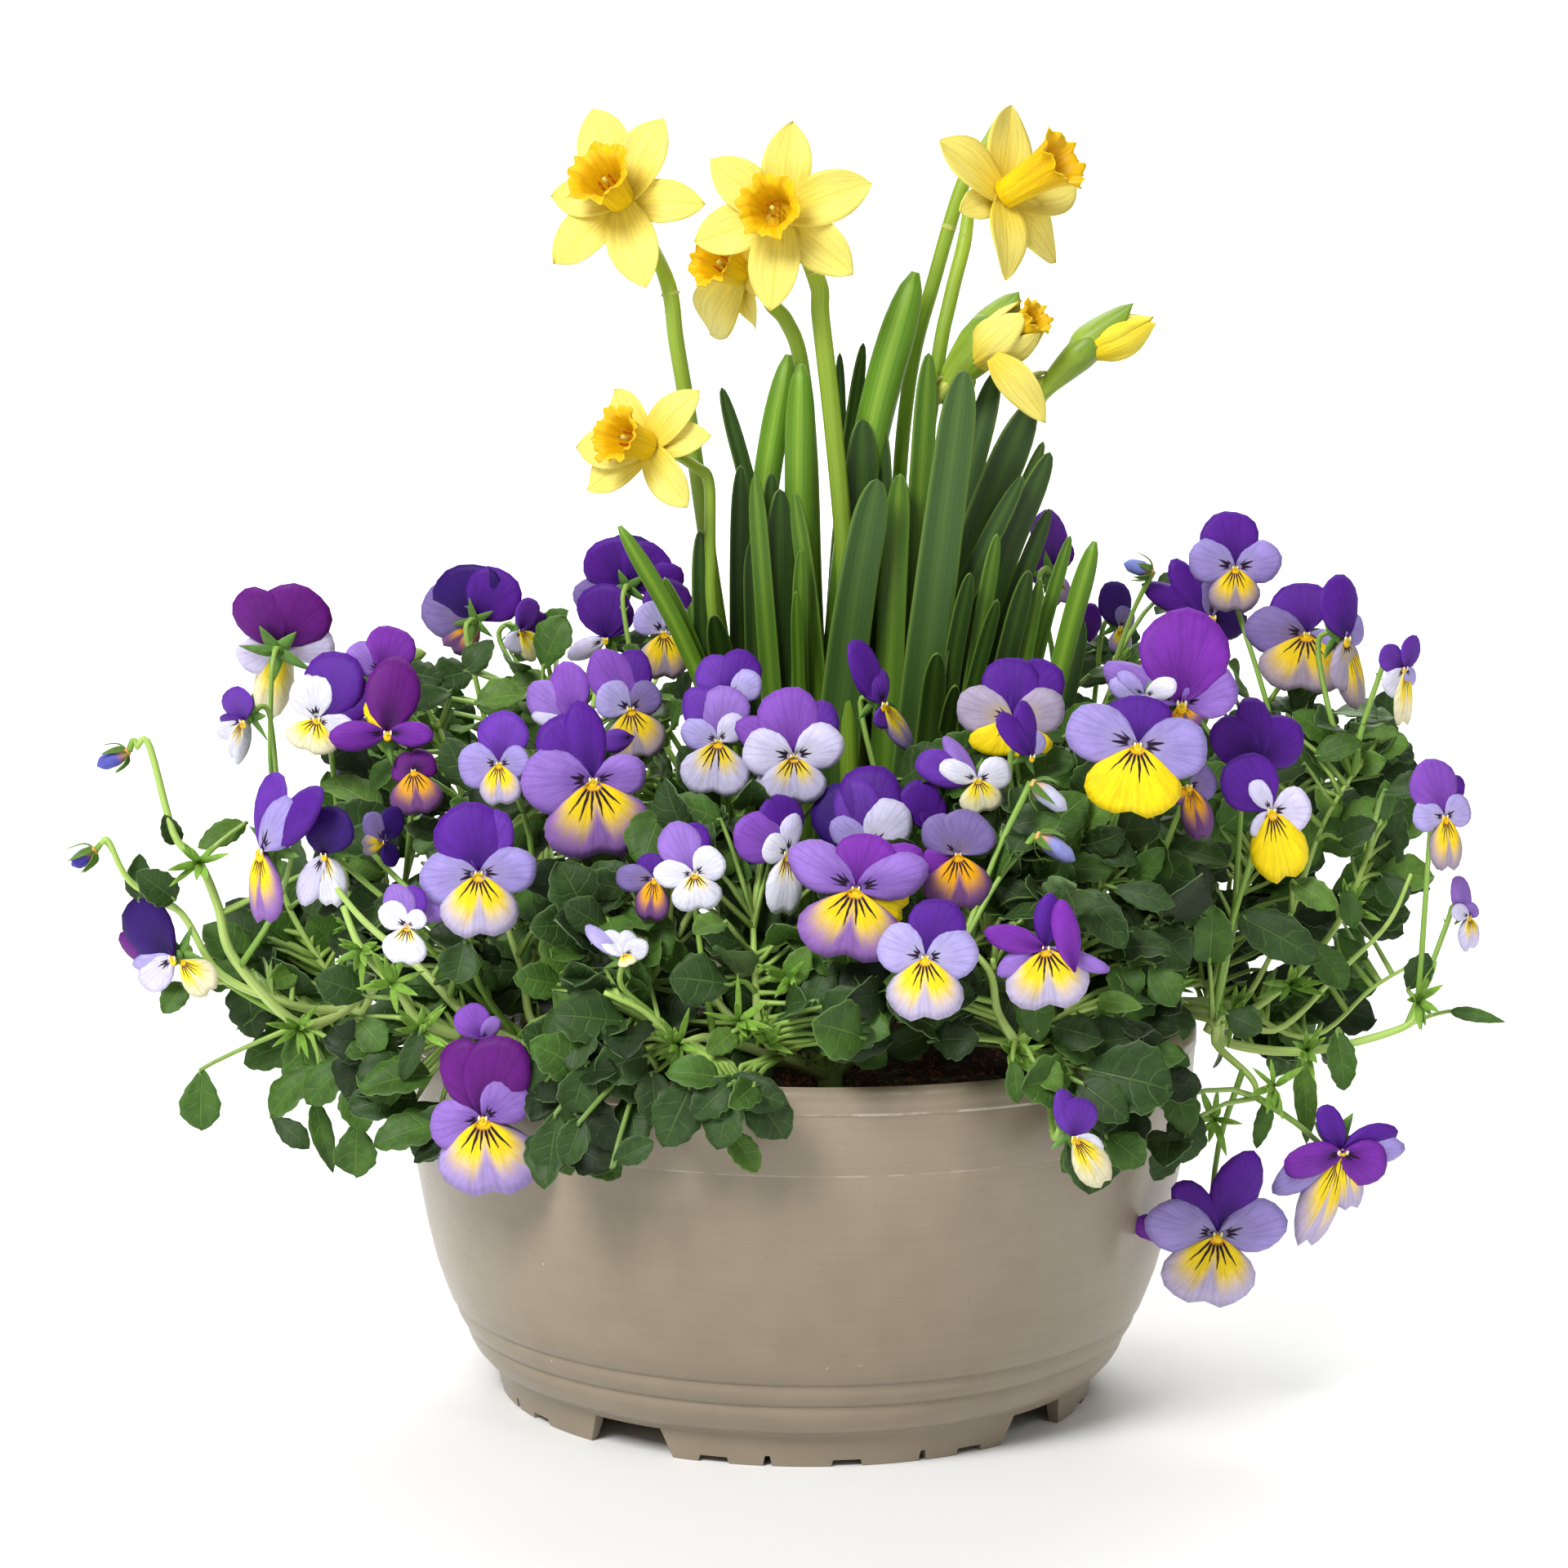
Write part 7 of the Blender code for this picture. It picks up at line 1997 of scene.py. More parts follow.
SHOOTS = [
    Shoot("left", 4.4, ((412, 1243, 0), (360, 1251, -12), (286, 1173, -22), (267, 1110, -26),
                        (244, 1056, -30), (213, 1021, -32), (182, 911, -34), (166, 916, -34))),
    Shoot("left", 3.6, ((412, 1236, 0), (340, 1225, -14), (267, 1190, -22), (221, 1117, -28),
                        (160, 1080, -34), (133, 1030, -38), (124, 1032, -38))),
    Shoot("left", 3.4, ((440, 1240, 10), (400, 1190, 14), (347, 1094, 20), (340, 1000, 26))),
    Shoot("front_left", 4.4, ((560, 1268, -92), (511, 1247, -96), (488, 1213, -96), (443, 1163, -90),
                              (420, 1110, -84))),
    Shoot("front_left", 3.6, ((600, 1262, -92), (515, 1186, -84), (443, 1125, -74), (392, 1060, -60))),
    Shoot("front_left", 3.4, ((660, 1262, -84), (640, 1190, -80), (618, 1120, -72), (604, 1020, -58))),
    Shoot("front", 3.6, ((938, 1276, -118), (925, 1200, -116), (922, 1120, -104))),
    Shoot("front", 3.4, ((880, 1272, -118), (831, 1276, -128), (790, 1240, -134), (740, 1215, -138))),
    Shoot("front", 3.4, ((900, 1250, -96), (850, 1180, -92), (800, 1120, -72))),
    Shoot("front_right", 3.8, ((1248, 1282, -120), (1222, 1240, -126), (1212, 1190, -126),
                               (1176, 1150, -118))),
    Shoot("front_right", 3.6, ((1300, 1262, -96), (1318, 1180, -84), (1350, 1090, -70))),
    Shoot("right", 4.4, ((1500, 1275, -30), (1600, 1287, -30), (1716, 1259, -30), (1738, 1230, -30))),
    Shoot("right", 3.8, ((1480, 1262, -20), (1540, 1232, -22), (1601, 1180, -20), (1650, 1110, -14),
                         (1680, 1030, -8))),
    Shoot("right", 3.4, ((1470, 1240, 16), (1500, 1160, 6), (1530, 1060, 8), (1580, 960, 22))),
    Shoot("right", 3.6, ((1490, 1280, -44), (1532, 1320, -52), (1540, 1346, -54))),
    Shoot("right", 2.8, ((1560, 1262, -26), (1640, 1190, -22), (1700, 1130, -20), (1728, 1070, -20))),
    Shoot("right", 2.6, ((1520, 1230, -24), (1580, 1120, -16), (1620, 1010, -6), (1668, 930, 6))),
    Shoot("right", 2.4, ((1600, 1270, -20), (1680, 1210, -16), (1730, 1180, -14))),
    Shoot("back", 3.6, ((930, 1190, 94), (860, 1060, 114), (800, 960, 104))),
    Shoot("back", 3.6, ((1150, 1190, 110), (1260, 1060, 128), (1330, 960, 112))),
    Shoot("back", 3.6, ((1010, 1190, 138), (1010, 1080, 158))),
]


class Leaf(NamedTuple):
    """A leaf: its blade's foot and tip as seen, its depth and width, and how much nearer its tip is."""

    foot: Pair
    tip: Pair
    depth: float
    width: float
    nearer: float = 6


LEAVES = {
    "left": (
        Leaf((248, 1308), (245, 1385), -20, 14.5, 2), Leaf((226, 1203), (200, 1241), -19, 9.5),
        Leaf((215, 1102), (168, 1068), -32, 12), Leaf((171, 1104), (171, 1046), -20, 9),
        Leaf((217, 1033), (201, 998), -28, 7), Leaf((301, 1008), (242, 1037), -10, 9),
        Leaf((366, 1259), (383, 1347), -14, 16, 2), Leaf((385, 1349), (408, 1437), 0, 8, 2),
        Leaf((333, 1366), (379, 1406), -12, 9), Leaf((366, 1163), (305, 1117), 24, 16),
        Leaf((421, 1167), (377, 1125), 25, 14), Leaf((410, 1265), (412, 1315), 0, 9, 2),
        Leaf((360, 1190), (330, 1206), -4, 9)),
    "front_left": (
        Leaf((450, 1220), (387, 1197), -96, 13.5), Leaf((437, 1247), (471, 1285), -92, 12),
        Leaf((458, 1285), (466, 1340), -72, 15, 2), Leaf((437, 1373), (435, 1442), -66, 15, 2),
        Leaf((423, 1331), (450, 1385), -74, 11, 2), Leaf((515, 1262), (492, 1324), -104, 7, 2),
        Leaf((570, 1151), (558, 1203), -109, 14), Leaf((692, 1190), (700, 1240), -104, 12),
        Leaf((686, 1206), (629, 1196), -112, 12), Leaf((770, 1252), (677, 1242), -132, 17.5),
        Leaf((793, 1292), (730, 1312), -138, 15.5), Leaf((692, 1285), (640, 1262), -113, 13),
        Leaf((720, 1300), (700, 1364), -140, 13, 2), Leaf((682, 1360), (672, 1438), -143, 14.5, 2),
        Leaf((712, 1370), (692, 1428), -156, 10, 2), Leaf((655, 1290), (650, 1350), -116, 12, 2)),
    "front": (
        Leaf((895, 1206), (820, 1196), -128, 17.5), Leaf((918, 1160), (856, 1136), -109, 10),
        Leaf((840, 1180), (790, 1160), -104, 11), Leaf((848, 1325), (812, 1405), -152, 16.5, 2),
        Leaf((750, 1424), (800, 1398), -152, 9, 2), Leaf((908, 1319), (962, 1395), -148, 15, 2),
        Leaf((895, 1388), (928, 1435), -146, 9, 2), Leaf((1000, 1225), (1014, 1275), -124, 12),
        Leaf((1033, 1263), (1085, 1304), -110, 13), Leaf((1031, 1246), (1091, 1222), -112, 12),
        Leaf((900, 1262), (866, 1290), -130, 9), Leaf((960, 1215), (990, 1160), -118, 9)),
    "front_right": (
        Leaf((1147, 1263), (1085, 1287), -100, 12.5), Leaf((1284, 1256), (1350, 1273), -126, 12.5),
        Leaf((1312, 1284), (1400, 1267), -118, 17), Leaf((1326, 1308), (1436, 1335), -127, 24),
        Leaf((1322, 1325), (1382, 1372), -136, 14), Leaf((1265, 1298), (1300, 1335), -136, 10),
        Leaf((1240, 1294), (1246, 1351), -142, 7, 2), Leaf((1450, 1377), (1412, 1446), -104, 10, 2),
        Leaf((1353, 1390), (1401, 1425), -127, 13), Leaf((1322, 1093), (1379, 1160), -104, 12.5),
        Leaf((1360, 1086), (1439, 1108), -92, 10), Leaf((1341, 1225), (1398, 1232), -124, 7),
        Leaf((1370, 1180), (1388, 1225), -96, 12.5), Leaf((1410, 1180), (1440, 1232), -96, 12.5)),
    "right": (
        Leaf((1481, 1180), (1485, 1109), -66, 15), Leaf((1516, 1121), (1615, 1176), -50, 16),
        Leaf((1582, 1079), (1637, 1113), -52, 10), Leaf((1639, 1028), (1686, 1008), -14, 11),
        Leaf((1696, 1008), (1696, 957), -6, 7), Leaf((1653, 939), (1696, 933), 10, 9),
        Leaf((1601, 892), (1645, 951), 14, 13), Leaf((1611, 963), (1639, 1000), 8, 9),
        Leaf((1690, 1070), (1716, 1110), -6, 13), Leaf((1649, 1085), (1657, 1137), -24, 8),
        Leaf((1724, 1212), (1748, 1168), -28, 10), Leaf((1775, 1238), (1843, 1251), -8, 5),
        Leaf((1637, 1263), (1647, 1336), -34, 10, 2), Leaf((1594, 1295), (1601, 1402), -30, 8, 2),
        Leaf((1554, 1346), (1538, 1406), -50, 6, 2), Leaf((1600, 1150), (1650, 1210), -30, 11),
        Leaf((1500, 1240), (1545, 1262), -56, 12)),
}


class Bud(NamedTuple):
    """A closed bud by its base and its tip in the picture, its depth, its width and its petals' colour."""

    plant: str
    base: Pair
    tip: Pair
    depth: float
    width: float
    colour: Colour


BUDS = [
    Bud("left", (158, 920), (119, 938), -34, 7.5, srgb(96, 96, 190)),
    Bud("left", (118, 1040), (88, 1060), -34, 7.5, srgb(70, 60, 160)),
    Bud("front_right", (1262, 958), (1306, 992), -108, 8, srgb(210, 212, 240)),
    Bud("front_right", (1268, 1022), (1316, 1054), -110, 8, srgb(150, 154, 220)),
    Bud("right", (1412, 700), (1376, 690), 34, 7, srgb(120, 130, 200)),
    Bud("left", (478, 806), (522, 800), 40, 7, srgb(150, 176, 90)),
]

FRINGES = [
    ("front", 831, 1279, -130), ("front", 938, 1276, -122), ("front", 967, 1196, -118),
    ("front_right", 1240, 1290, -124), ("right", 1736, 1224, -30), ("right", 1487, 1370, -62),
    ("left", 366, 1259, -14), ("front_left", 515, 1262, -100), ("right", 1560, 1330, -52),
    ("front_left", 443, 1163, -92), ("right", 1650, 1110, -16), ("left", 244, 1056, -32),
    ("right", 1600, 1286, -32), ("right", 1510, 1240, -30), ("front", 905, 1250, -126),
    ("front_left", 480, 1205, -98), ("right", 1580, 1205, -26),
]


class Filler(NamedTuple):
    """A leaf of the close mass: its blade's foot and tip, the way it faces, and how lit it is painted, which
    picks its colour.
    """

    foot: Array
    tip: Array
    facing: Array
    light: float


@dataclass
class Thicket:
    """What foliage keeps clear of: the solids of the blooms, the bowl and the daffodils.

    The window is the stretch of the picture, from left to right and from top to foot, where soil and wall lie
    bare. The petals' margin and the radii are points of the picture. The other lengths are metres.
    """

    nodes: dict[str, Thing]
    window: tuple[float, float, float, float] = (965, 1232, 1284, 1420)
    petal_margin: float = 3
    shoot_radius: float = 17
    fringe_radius: float = 30
    hiding: float = 0.010
    hidden: float = 0.011
    clearance: float = 0.013
    strip: Triple = (0.0009, 0.0004, 0.0006)

    def __post_init__(self) -> None:
        """Reads the frame's nodes, foliage apart, and what is seen in the picture."""
        self.trees = []
        for name, node in self.nodes.items():
            if not name.startswith("pansy_leaves"):
                mesh = node.data
                self.trees.append(BVHTree.FromPolygons([v.co for v in mesh.vertices],
                                                       [tuple(p.vertices) for p in mesh.polygons]))
        self.seen = []
        for _, blooms in BLOOMS.values():
            for bloom in blooms:
                for petal in bloom.petals if bloom.spot is None else ():
                    (u, v), (tip_u, tip_v) = bloom.throat, petal.tip
                    radius = max(math.hypot(tip_u - u, tip_v - v), petal.width) / 2
                    self.seen.append(((u + tip_u) / 2, (v + tip_v) / 2, bloom.depth * MM,
                                      radius + self.petal_margin))
        for shoot in SHOOTS:
            if shoot.plant != "back":
                route = np.array(shoot.route, dtype=float)
                spots = smooth(route, np.linspace(0, 1, 7 * len(route)))
                self.seen += [(u, v, depth * MM, self.shoot_radius) for u, v, depth in spots]
        self.seen += [(u, v, depth * MM, self.fringe_radius) for _, u, v, depth in FRINGES]
        self.seen = np.array(self.seen)

    def clear(self, points: Sequence[Array]) -> bool:
        """Whether a thin strip of triangles over a row of points meets nothing."""
        base = [Vector(p) for p in points]
        lifted = [p + Vector(self.strip) for p in base]
        count = len(base)
        faces = [(i, i + 1, count + i) for i in range(count - 1)]
        faces += [(i + 1, count + i + 1, count + i) for i in range(count - 1)]
        strip = BVHTree.FromPolygons(base + lifted, faces)
        return not any(strip.overlap(tree) for tree in self.trees)

    def before(self, u: float, v: float, depth: float, margin: float) -> Array:
        """The depths of what is seen at a point of the picture, or within a margin of it, behind a depth."""
        near = np.hypot(self.seen[:, 0] - u, self.seen[:, 1] - v) < self.seen[:, 3] + margin
        return self.seen[near & (self.seen[:, 2] > depth), 2]

    def hides(self, points: Array) -> bool:
        """Whether points stand before a bloom, a shoot, or the open soil and bare wall at the front."""
        left, right, top, foot = self.window
        return any(left < u < right and top < v < foot or len(self.before(u, v, depth - self.hiding, 0))
                   for (u, v), depth in zip(VIEW.seen(points), points[:, 1]))

    def behind(self, u: float, v: float, depth: float, margin: float) -> float:
        """The depth that takes a point of the picture behind all that would be hidden there."""
        covered = self.before(u, v, depth - self.hidden, margin)
        return float(covered.max()) + self.clearance if len(covered) else depth


class Fineness(NamedTuple):
    """How finely a leaf is made: its petiole's sides and rings, its blade's columns and rows, its teeth."""

    sides: int
    rings: int
    columns: int
    rows: int
    teeth: int


PLACED_LEAF = Fineness(5, 7, 6, 16, 5)
CLOSE_LEAF = Fineness(4, 4, 4, 12, 4)


class SprigEnds(NamedTuple):
    """Where sprigs end: in degrees to either side of their crown, and in millimetres out and up.

    Sprigs reach farther on the two wide plants, and less high the farther out they end. Upright ones stand
    closer in and higher, and have a span of degrees of their own.
    """

    spread: float = 34
    nearest: float = 46
    farthest: float = 140
    farthest_wide: float = 176
    lowest: float = 150
    highest: float = 196
    falls_from: float = 60
    fall: float = 0.28
    upright_out: Pair = (70, 136)
    upright_up: Pair = (206, 246)
    upright_spread: Pair = (-60, 60)
    upright_spread_wide: Pair = (-10, 62)


@dataclass
class Foliage:
    """The pansies' leafy shoots: stems, stalks to the blooms, leaves, fringed stipules and buds.

    Lengths, heights and depths are in millimetres, and a pair holds the ends of a random draw.
    """

    finishes: Finishes
    thicket: Thicket
    ring: float = 92.0
    crown_top: float = 129.0
    lip: float = 138.0
    lip_top: float = 136.5
    over_lip: float = 142.5
    wall_inside: float = 122.0
    wall_outside: float = 138.5
    wall_top: float = 134.5
    soil_top: float = 121.0
    widest: float = 205.0
    rearmost: float = 158.0
    farthest_root: float = 52.0
    mass_span: Pair = (300, 1740)
    sprigs: int = 12
    sprig_ends: SprigEnds = SprigEnds()
    sunk_above: float = 139
    sunk: Triple = (0, 44, 4)
    # light_from and light_span: the heights over which close leaves are painted from shaded to lit.
    light_from: float = 125
    light_span: float = 80
    long_leaf: Pair = (15, 25)
    loose_leaf: Pair = (11, 20)
    low_leaf: Pair = (15, 24)
    loose_depth: Pair = (0, 84)
    round_height: Pair = (126, 205)
    round_reach: float = 150
    low_out: Pair = (38, 88)
    low_up: Pair = (128, 150)
    front_leaves: int = 640
    loose_leaves: int = 80
    round_leaves: int = 50
    low_leaves: int = 70
    tries: int = 10
    longest_way: float = 45.0
    seed: int = 21
    piles: dict[str, Pile] = field(default_factory=dict)
    roots: dict[str, list[Array]] = field(default_factory=dict)

    def crown(self, plant: str) -> Array:
        """Where a pansy stands."""
        return heading(math.radians(CROWN_ANGLES[plant])) * self.ring * MM

    def over_the_lip(self, a: Array, b: Array) -> list[Array]:
        """The points of a way from a to b, led over the bowl's lip where b hangs outside it."""
        lip = self.lip * MM
        if math.hypot(*a[:2]) > lip or math.hypot(*b[:2]) < lip or b[2] > self.over_lip * MM:
            return [a, b]
        return [a, unit(vec(b[0], b[1], 0)) * lip + UP * self.lip_top * MM, b]

    def grow_shoots(self) -> None:
        """The crowns and the shoots, and the points along them that stalks and leaves can root on."""
        for plant in CROWN_ANGLES:
            self.piles[plant] = Pile()
            place = self.crown(plant)
            axis = [place + UP * h * MM for h in (112, 120, self.crown_top)]
            add_bar(self.piles[plant], axis, mm(5.2, 4.6, 3.0), STEM_SLOT, STEM, 9, 6)
            self.roots[plant] = [axis[-1] - UP * 2 * MM]
        for shoot in SHOOTS:
            start = self.crown(shoot.plant) + UP * (self.crown_top - 4) * MM
            route = [VIEW.at(*spot) for spot in shoot.route]
            path = np.array([*self.over_the_lip(start, route[0]), *route[1:]])
            radii = np.linspace(shoot.width / 2, shoot.width * 0.24, 6) * MM
            add_bar(self.piles[shoot.plant], path, radii, STEM_SLOT, STEM, 8, 5 * len(path))
            shares = np.linspace(0.08, 0.98, 5 * len(path))
            self.roots[shoot.plant] += list(smooth(path, shares))

    def nearest_roots(self, target: Array, plants: Iterable[str], count: int,
                      level: float = 1.0) -> list[tuple[str, Array]]:
        """The root points nearest to a target, with those below it preferred.

        Args:
            target: the place to start from.
            plants: the plants whose roots may serve.
            count: how many to give.
            level: how much a step sideways counts against a step down.

        Returns:
            Each root with its plant, the best first.
        """
        found = []
        for plant in plants:
            points = np.array(self.roots[plant])
            away = points - target
            cost = np.sqrt((away[:, :2] ** 2).sum(axis=1) * level ** 2 + away[:, 2] ** 2)
            cost = cost + np.maximum(0, away[:, 2]) * 1.5
            found += [(float(c), plant, tuple(p)) for c, p in zip(cost, points)]
        found.sort()
        return [(plant, np.array(point)) for _, plant, point in found[:count]]

    def sprig_end(self, plant: str, upright: bool, draw: Draw) -> Array:
        """Where one of a plant's sprigs ends."""
        ends, angle, wide = self.sprig_ends, CROWN_ANGLES[plant], plant in WIDE_PLANTS
        around = math.radians(angle + draw.uniform(-ends.spread, ends.spread))
        radius = draw.uniform(ends.nearest, ends.farthest_wide if wide else ends.farthest)
        height = draw.uniform(ends.lowest, ends.highest - ends.fall * max(0, radius - ends.falls_from))
        if upright:
            radius, height = draw.uniform(*ends.upright_out), draw.uniform(*ends.upright_up)
            away = draw.uniform(*(ends.upright_spread_wide if wide else ends.upright_spread))
            around = math.radians(angle - away if plant == "left" else angle + away)
        return (heading(around) * radius + UP * height) * MM

    def grow_sprigs(self, draw: Draw) -> None:
        """The short shoots that fan out from each crown and carry most leaves and stalks."""
        for plant in CROWN_ANGLES:
            start = self.crown(plant) + UP * (self.crown_top - 5) * MM
            wide = plant in WIDE_PLANTS
            upright = 8 if wide or plant == "back" else 0
            wanted = self.sprigs + 4 * wide + upright
            grown = 0
            for _ in range(wanted * 8):
                if grown == wanted:
                    break
                end = self.sprig_end(plant, grown < upright, draw)
                mid = start * 0.5 + end * 0.5 + UP * draw.uniform(-4, 10) * MM
                path = np.array((start, mid, end))
                way = smooth(path, np.linspace(0.3, 1, 8))
                if not self.thicket.clear(list(way)) or self.thicket.hides(way):
                    continue
                add_bar(self.piles[plant], path, mm(1.7, 1.5, 1.2, 0.8), STEM_SLOT, STEM, 6, 9)
                self.roots[plant] += list(smooth(path, np.linspace(0.3, 0.97, 8)))
                grown += 1
            LOG.info("%s: %d sprigs", plant, grown)

    def grow_stalks(self, draw: Draw) -> None:
        """A stalk from the back of each bloom, hooked over and led down to a shoot near it."""
        for _, blooms in BLOOMS.values():
            for bloom in blooms:
                if len(bloom.petals) < 2:
                    continue
                middle, axes = bloom.middle(), flower_axes(bloom.turn, bloom.nod)
                back = -axes[2]
                start = middle + back * 2.5 * MM
                hook = start + back * 5 * MM + UP * 1.5 * MM
                best = None
                below = start + back * 8 * MM - UP * 40 * MM
                for attempt, (plant, root) in enumerate(self.nearest_roots(below, self.roots, 40, 1.6)):
                    sway = vec(draw.uniform(-1, 1), draw.uniform(-1, 1), draw.uniform(-0.2, 0.2))
                    bend = hook + back * draw.uniform(2, 5) * MM - UP * 6 * MM
                    half = bend * 0.45 + root * 0.55 + sway * (3 + attempt * 0.4) * MM
                    path = np.array((start, hook, bend, half, root))
                    way = smooth(path, np.linspace(0.3, 0.95, 9))
                    if self.thicket.clear(list(way)) and not self.thicket.hides(way[2:]):
                        best = (plant, path)
                        break
                    if best is None:
                        best = (plant, path)
                plant, path = best
                radii = mm(1.5, 1.0, 0.95, 1.0, 1.25)
                add_bar(self.piles[plant], path, radii, STEM_SLOT, STALK, 6, 16)
                middle_way = smooth(path, np.array((0.52, 0.54, 0.56)))
                for sign in (1, -1):
                    tip = middle_way[0] + (UP * 2.5 + axes[0] * sign * 1.6) * MM
                    add_bar(self.piles[plant], [middle_way[0], (middle_way[0] + tip) / 2, tip],
                            mm(0.5, 0.1), STEM_SLOT, FRINGE, 4, 3)

    def grow_buds(self, draw: Draw) -> None:
        """The closed buds, each with its sepals and its stalk."""
        for bud in BUDS:
            base, tip = (VIEW.at(*spot, bud.depth) for spot in (bud.base, bud.tip))
            _, root = self.nearest_roots(base, [bud.plant], 1)[0]
            pile = self.piles[bud.plant]
            arch = (root + base) / 2 + UP * 3 * MM
            add_bar(pile, [root, arch, base], mm(1.1, 0.9, 1.2), STEM_SLOT, STALK, 6, 10)
            look = Look(srgb(226, 226, 190), bud.colour)
            width = bud.width * MM
            add_bar(pile, [base, base * 0.6 + tip * 0.4, base * 0.2 + tip * 0.8, tip],
                    [width * 0.22, width * 0.5, width * 0.42, width * 0.06], BUD_SLOT, look, 10, 10, 0.8)
            along = unit(tip - base)
            across = unit(np.cross(along, (0.1, -1, 0.2)))
            for k in range(5):
                a = k * 2 * math.pi / 5 + draw.uniform(-0.2, 0.2)
                out = across * math.cos(a) + np.cross(along, across) * math.sin(a)
                path = [base, base + out * width * 0.5 + along * width * 0.3,
                        base + out * width * 0.75 + along * width * draw.uniform(0.8, 1.2)]
                add_blade(pile, path, 2.6 * MM, out, Blade(lance_outline, 4, 6, 0.3, 0.2), LEAF_SLOT,
                          FRESH_AND_LIT_LEAF)

    def add_leaf(self, plant: str, root: Array, foot: Array, tip: Array, width: float,
                 facing: Array, look: Look, draw: Draw, made: Fineness = PLACED_LEAF) -> None:
        """Adds a leaf: its petiole from the root to the blade's foot, then the blade to its tip."""
        pile = self.piles[plant]
        way = self.over_the_lip(root, foot)
        along = tip - foot
        length = float(np.linalg.norm(along))
        if len(way) == 2:
            sag = (way[0] + way[1]) / 2 + UP * draw.uniform(-1, 3) * MM
            way = [way[0], sag, way[1]]
        way = [*way, foot + along * 0.12]
        add_bar(pile, way, mm(1.15, 0.85, 0.8, 0.55), STEM_SLOT,
                Look(STALK.inner, look.inner), made.sides, made.rings)
        normal = unit(facing - unit(along) * np.dot(facing, unit(along)))
        path = [foot, foot + along * 0.35 + normal * length * 0.06,
                foot + along * 0.7 + normal * length * 0.05, tip - normal * length * draw.uniform(0.0, 0.08)]
        outline = spoon_outline if draw.random() < 0.55 else oval_outline
        if width < length * 0.36:
            outline = lance_outline
        blade = Blade(outline, made.columns, made.rows, 0.32, draw.uniform(0.05, 0.40),
                      draw.uniform(0.02, 0.07), draw.uniform(1.5, 3.0), made.teeth, draw.uniform(0.10, 0.18),
                      draw.uniform(-0.5, 0.5))
        add_blade(pile, path, width, facing, blade, LEAF_SLOT, look, LEAF_UNDER, draw.uniform(0, 6))

    def grow_leaves(self, draw: Draw) -> None:
        """The leaves that stand out, each at its place."""
        eye_side = vec(0, -1, 0.35)
        for plant, leaf in ((plant, leaf) for plant, leaves in LEAVES.items() for leaf in leaves):
            foot = VIEW.at(*leaf.foot, leaf.depth)
            tip = VIEW.at(*leaf.tip, leaf.depth - leaf.nearer)
            _, root = self.nearest_roots(foot, [plant], 1)[0]
            look = draw.choice((DARK_LEAF, DARK_LEAF, MID_LEAF, FRESH_AND_LIT_LEAF if leaf.width < 11 else MID_LEAF))
            self.add_leaf(plant, root, foot, tip, leaf.width * MM, eye_side, look, draw)

    def mound(self, height: float) -> float:
        """How far out the close leaves reach at a height, both in millimetres."""
        return 153 - 0.55 * max(0.0, height - 146) - 0.2 * max(0.0, 130 - height)

    def fits(self, foot: Array, tip: Array) -> bool:
        """Whether a close leaf stays out of the bowl's wall and the soil, and within the planter's width."""
        near, far = sorted((math.hypot(*foot[:2]) / MM, math.hypot(*tip[:2]) / MM))
        low = min(foot[2], tip[2]) / MM
        in_wall = low < self.wall_top and near < self.wall_outside and far > self.wall_inside
        in_soil = low < self.soil_top and far < self.wall_outside
        return not (in_wall or in_soil or abs(foot[0]) > self.widest * MM)

    def add_filler(self, filler: Filler, plants: Iterable[str], draw: Draw) -> bool:
        """Adds a leaf of the close mass if there is room and a root near; tells whether it did."""
        foot, tip = filler.foot, filler.tip
        line = foot + (tip - foot) * np.linspace(0, 1, 4)[:, None]
        if not self.fits(foot, tip) or self.thicket.hides(line):
            return False
        plant, root = self.nearest_roots(foot - UP * 6 * MM, plants, 2)[draw.randrange(2)]
        way = self.over_the_lip(root, foot)
        longest = max(np.linalg.norm(b - a) for a, b in zip(way, way[1:]))
        too_long = len(way) > 2 and longest > self.longest_way * MM
        if too_long or np.linalg.norm(root - foot) > self.farthest_root * MM:
            return False
        if not self.thicket.clear([root * 0.15 + foot * 0.85, foot, (foot + tip) / 2, tip]):
            return False
        length = float(np.linalg.norm(tip - foot))
        # The leaf's painted light picks its colour.
        look = next(look for limit, look in LIGHTS if filler.light < limit)
        width = length * draw.uniform(0.58, 0.78)
        self.add_leaf(plant, root, foot, tip, width, filler.facing, look, draw, CLOSE_LEAF)
        return True

    def fill(self, name: str, wanted: int, plants: Sequence[str], draw: Draw,
             propose: Callable[[], Filler | None]) -> None:
        """Adds leaves of the close mass until enough have found room.

        Args:
            name: what the log calls them.
            wanted: how many are enough.
            plants: the plants that they may grow on.
            draw: the random numbers.
            propose: gives a leaf, or nothing where one would be too many.
        """
        grown = 0
        for _ in range(wanted * self.tries):
            filler = propose()
            grown += bool(filler and self.add_filler(filler, plants, draw))
            if grown == wanted:
                break
        LOG.info("%s: %d close leaves", name, grown)

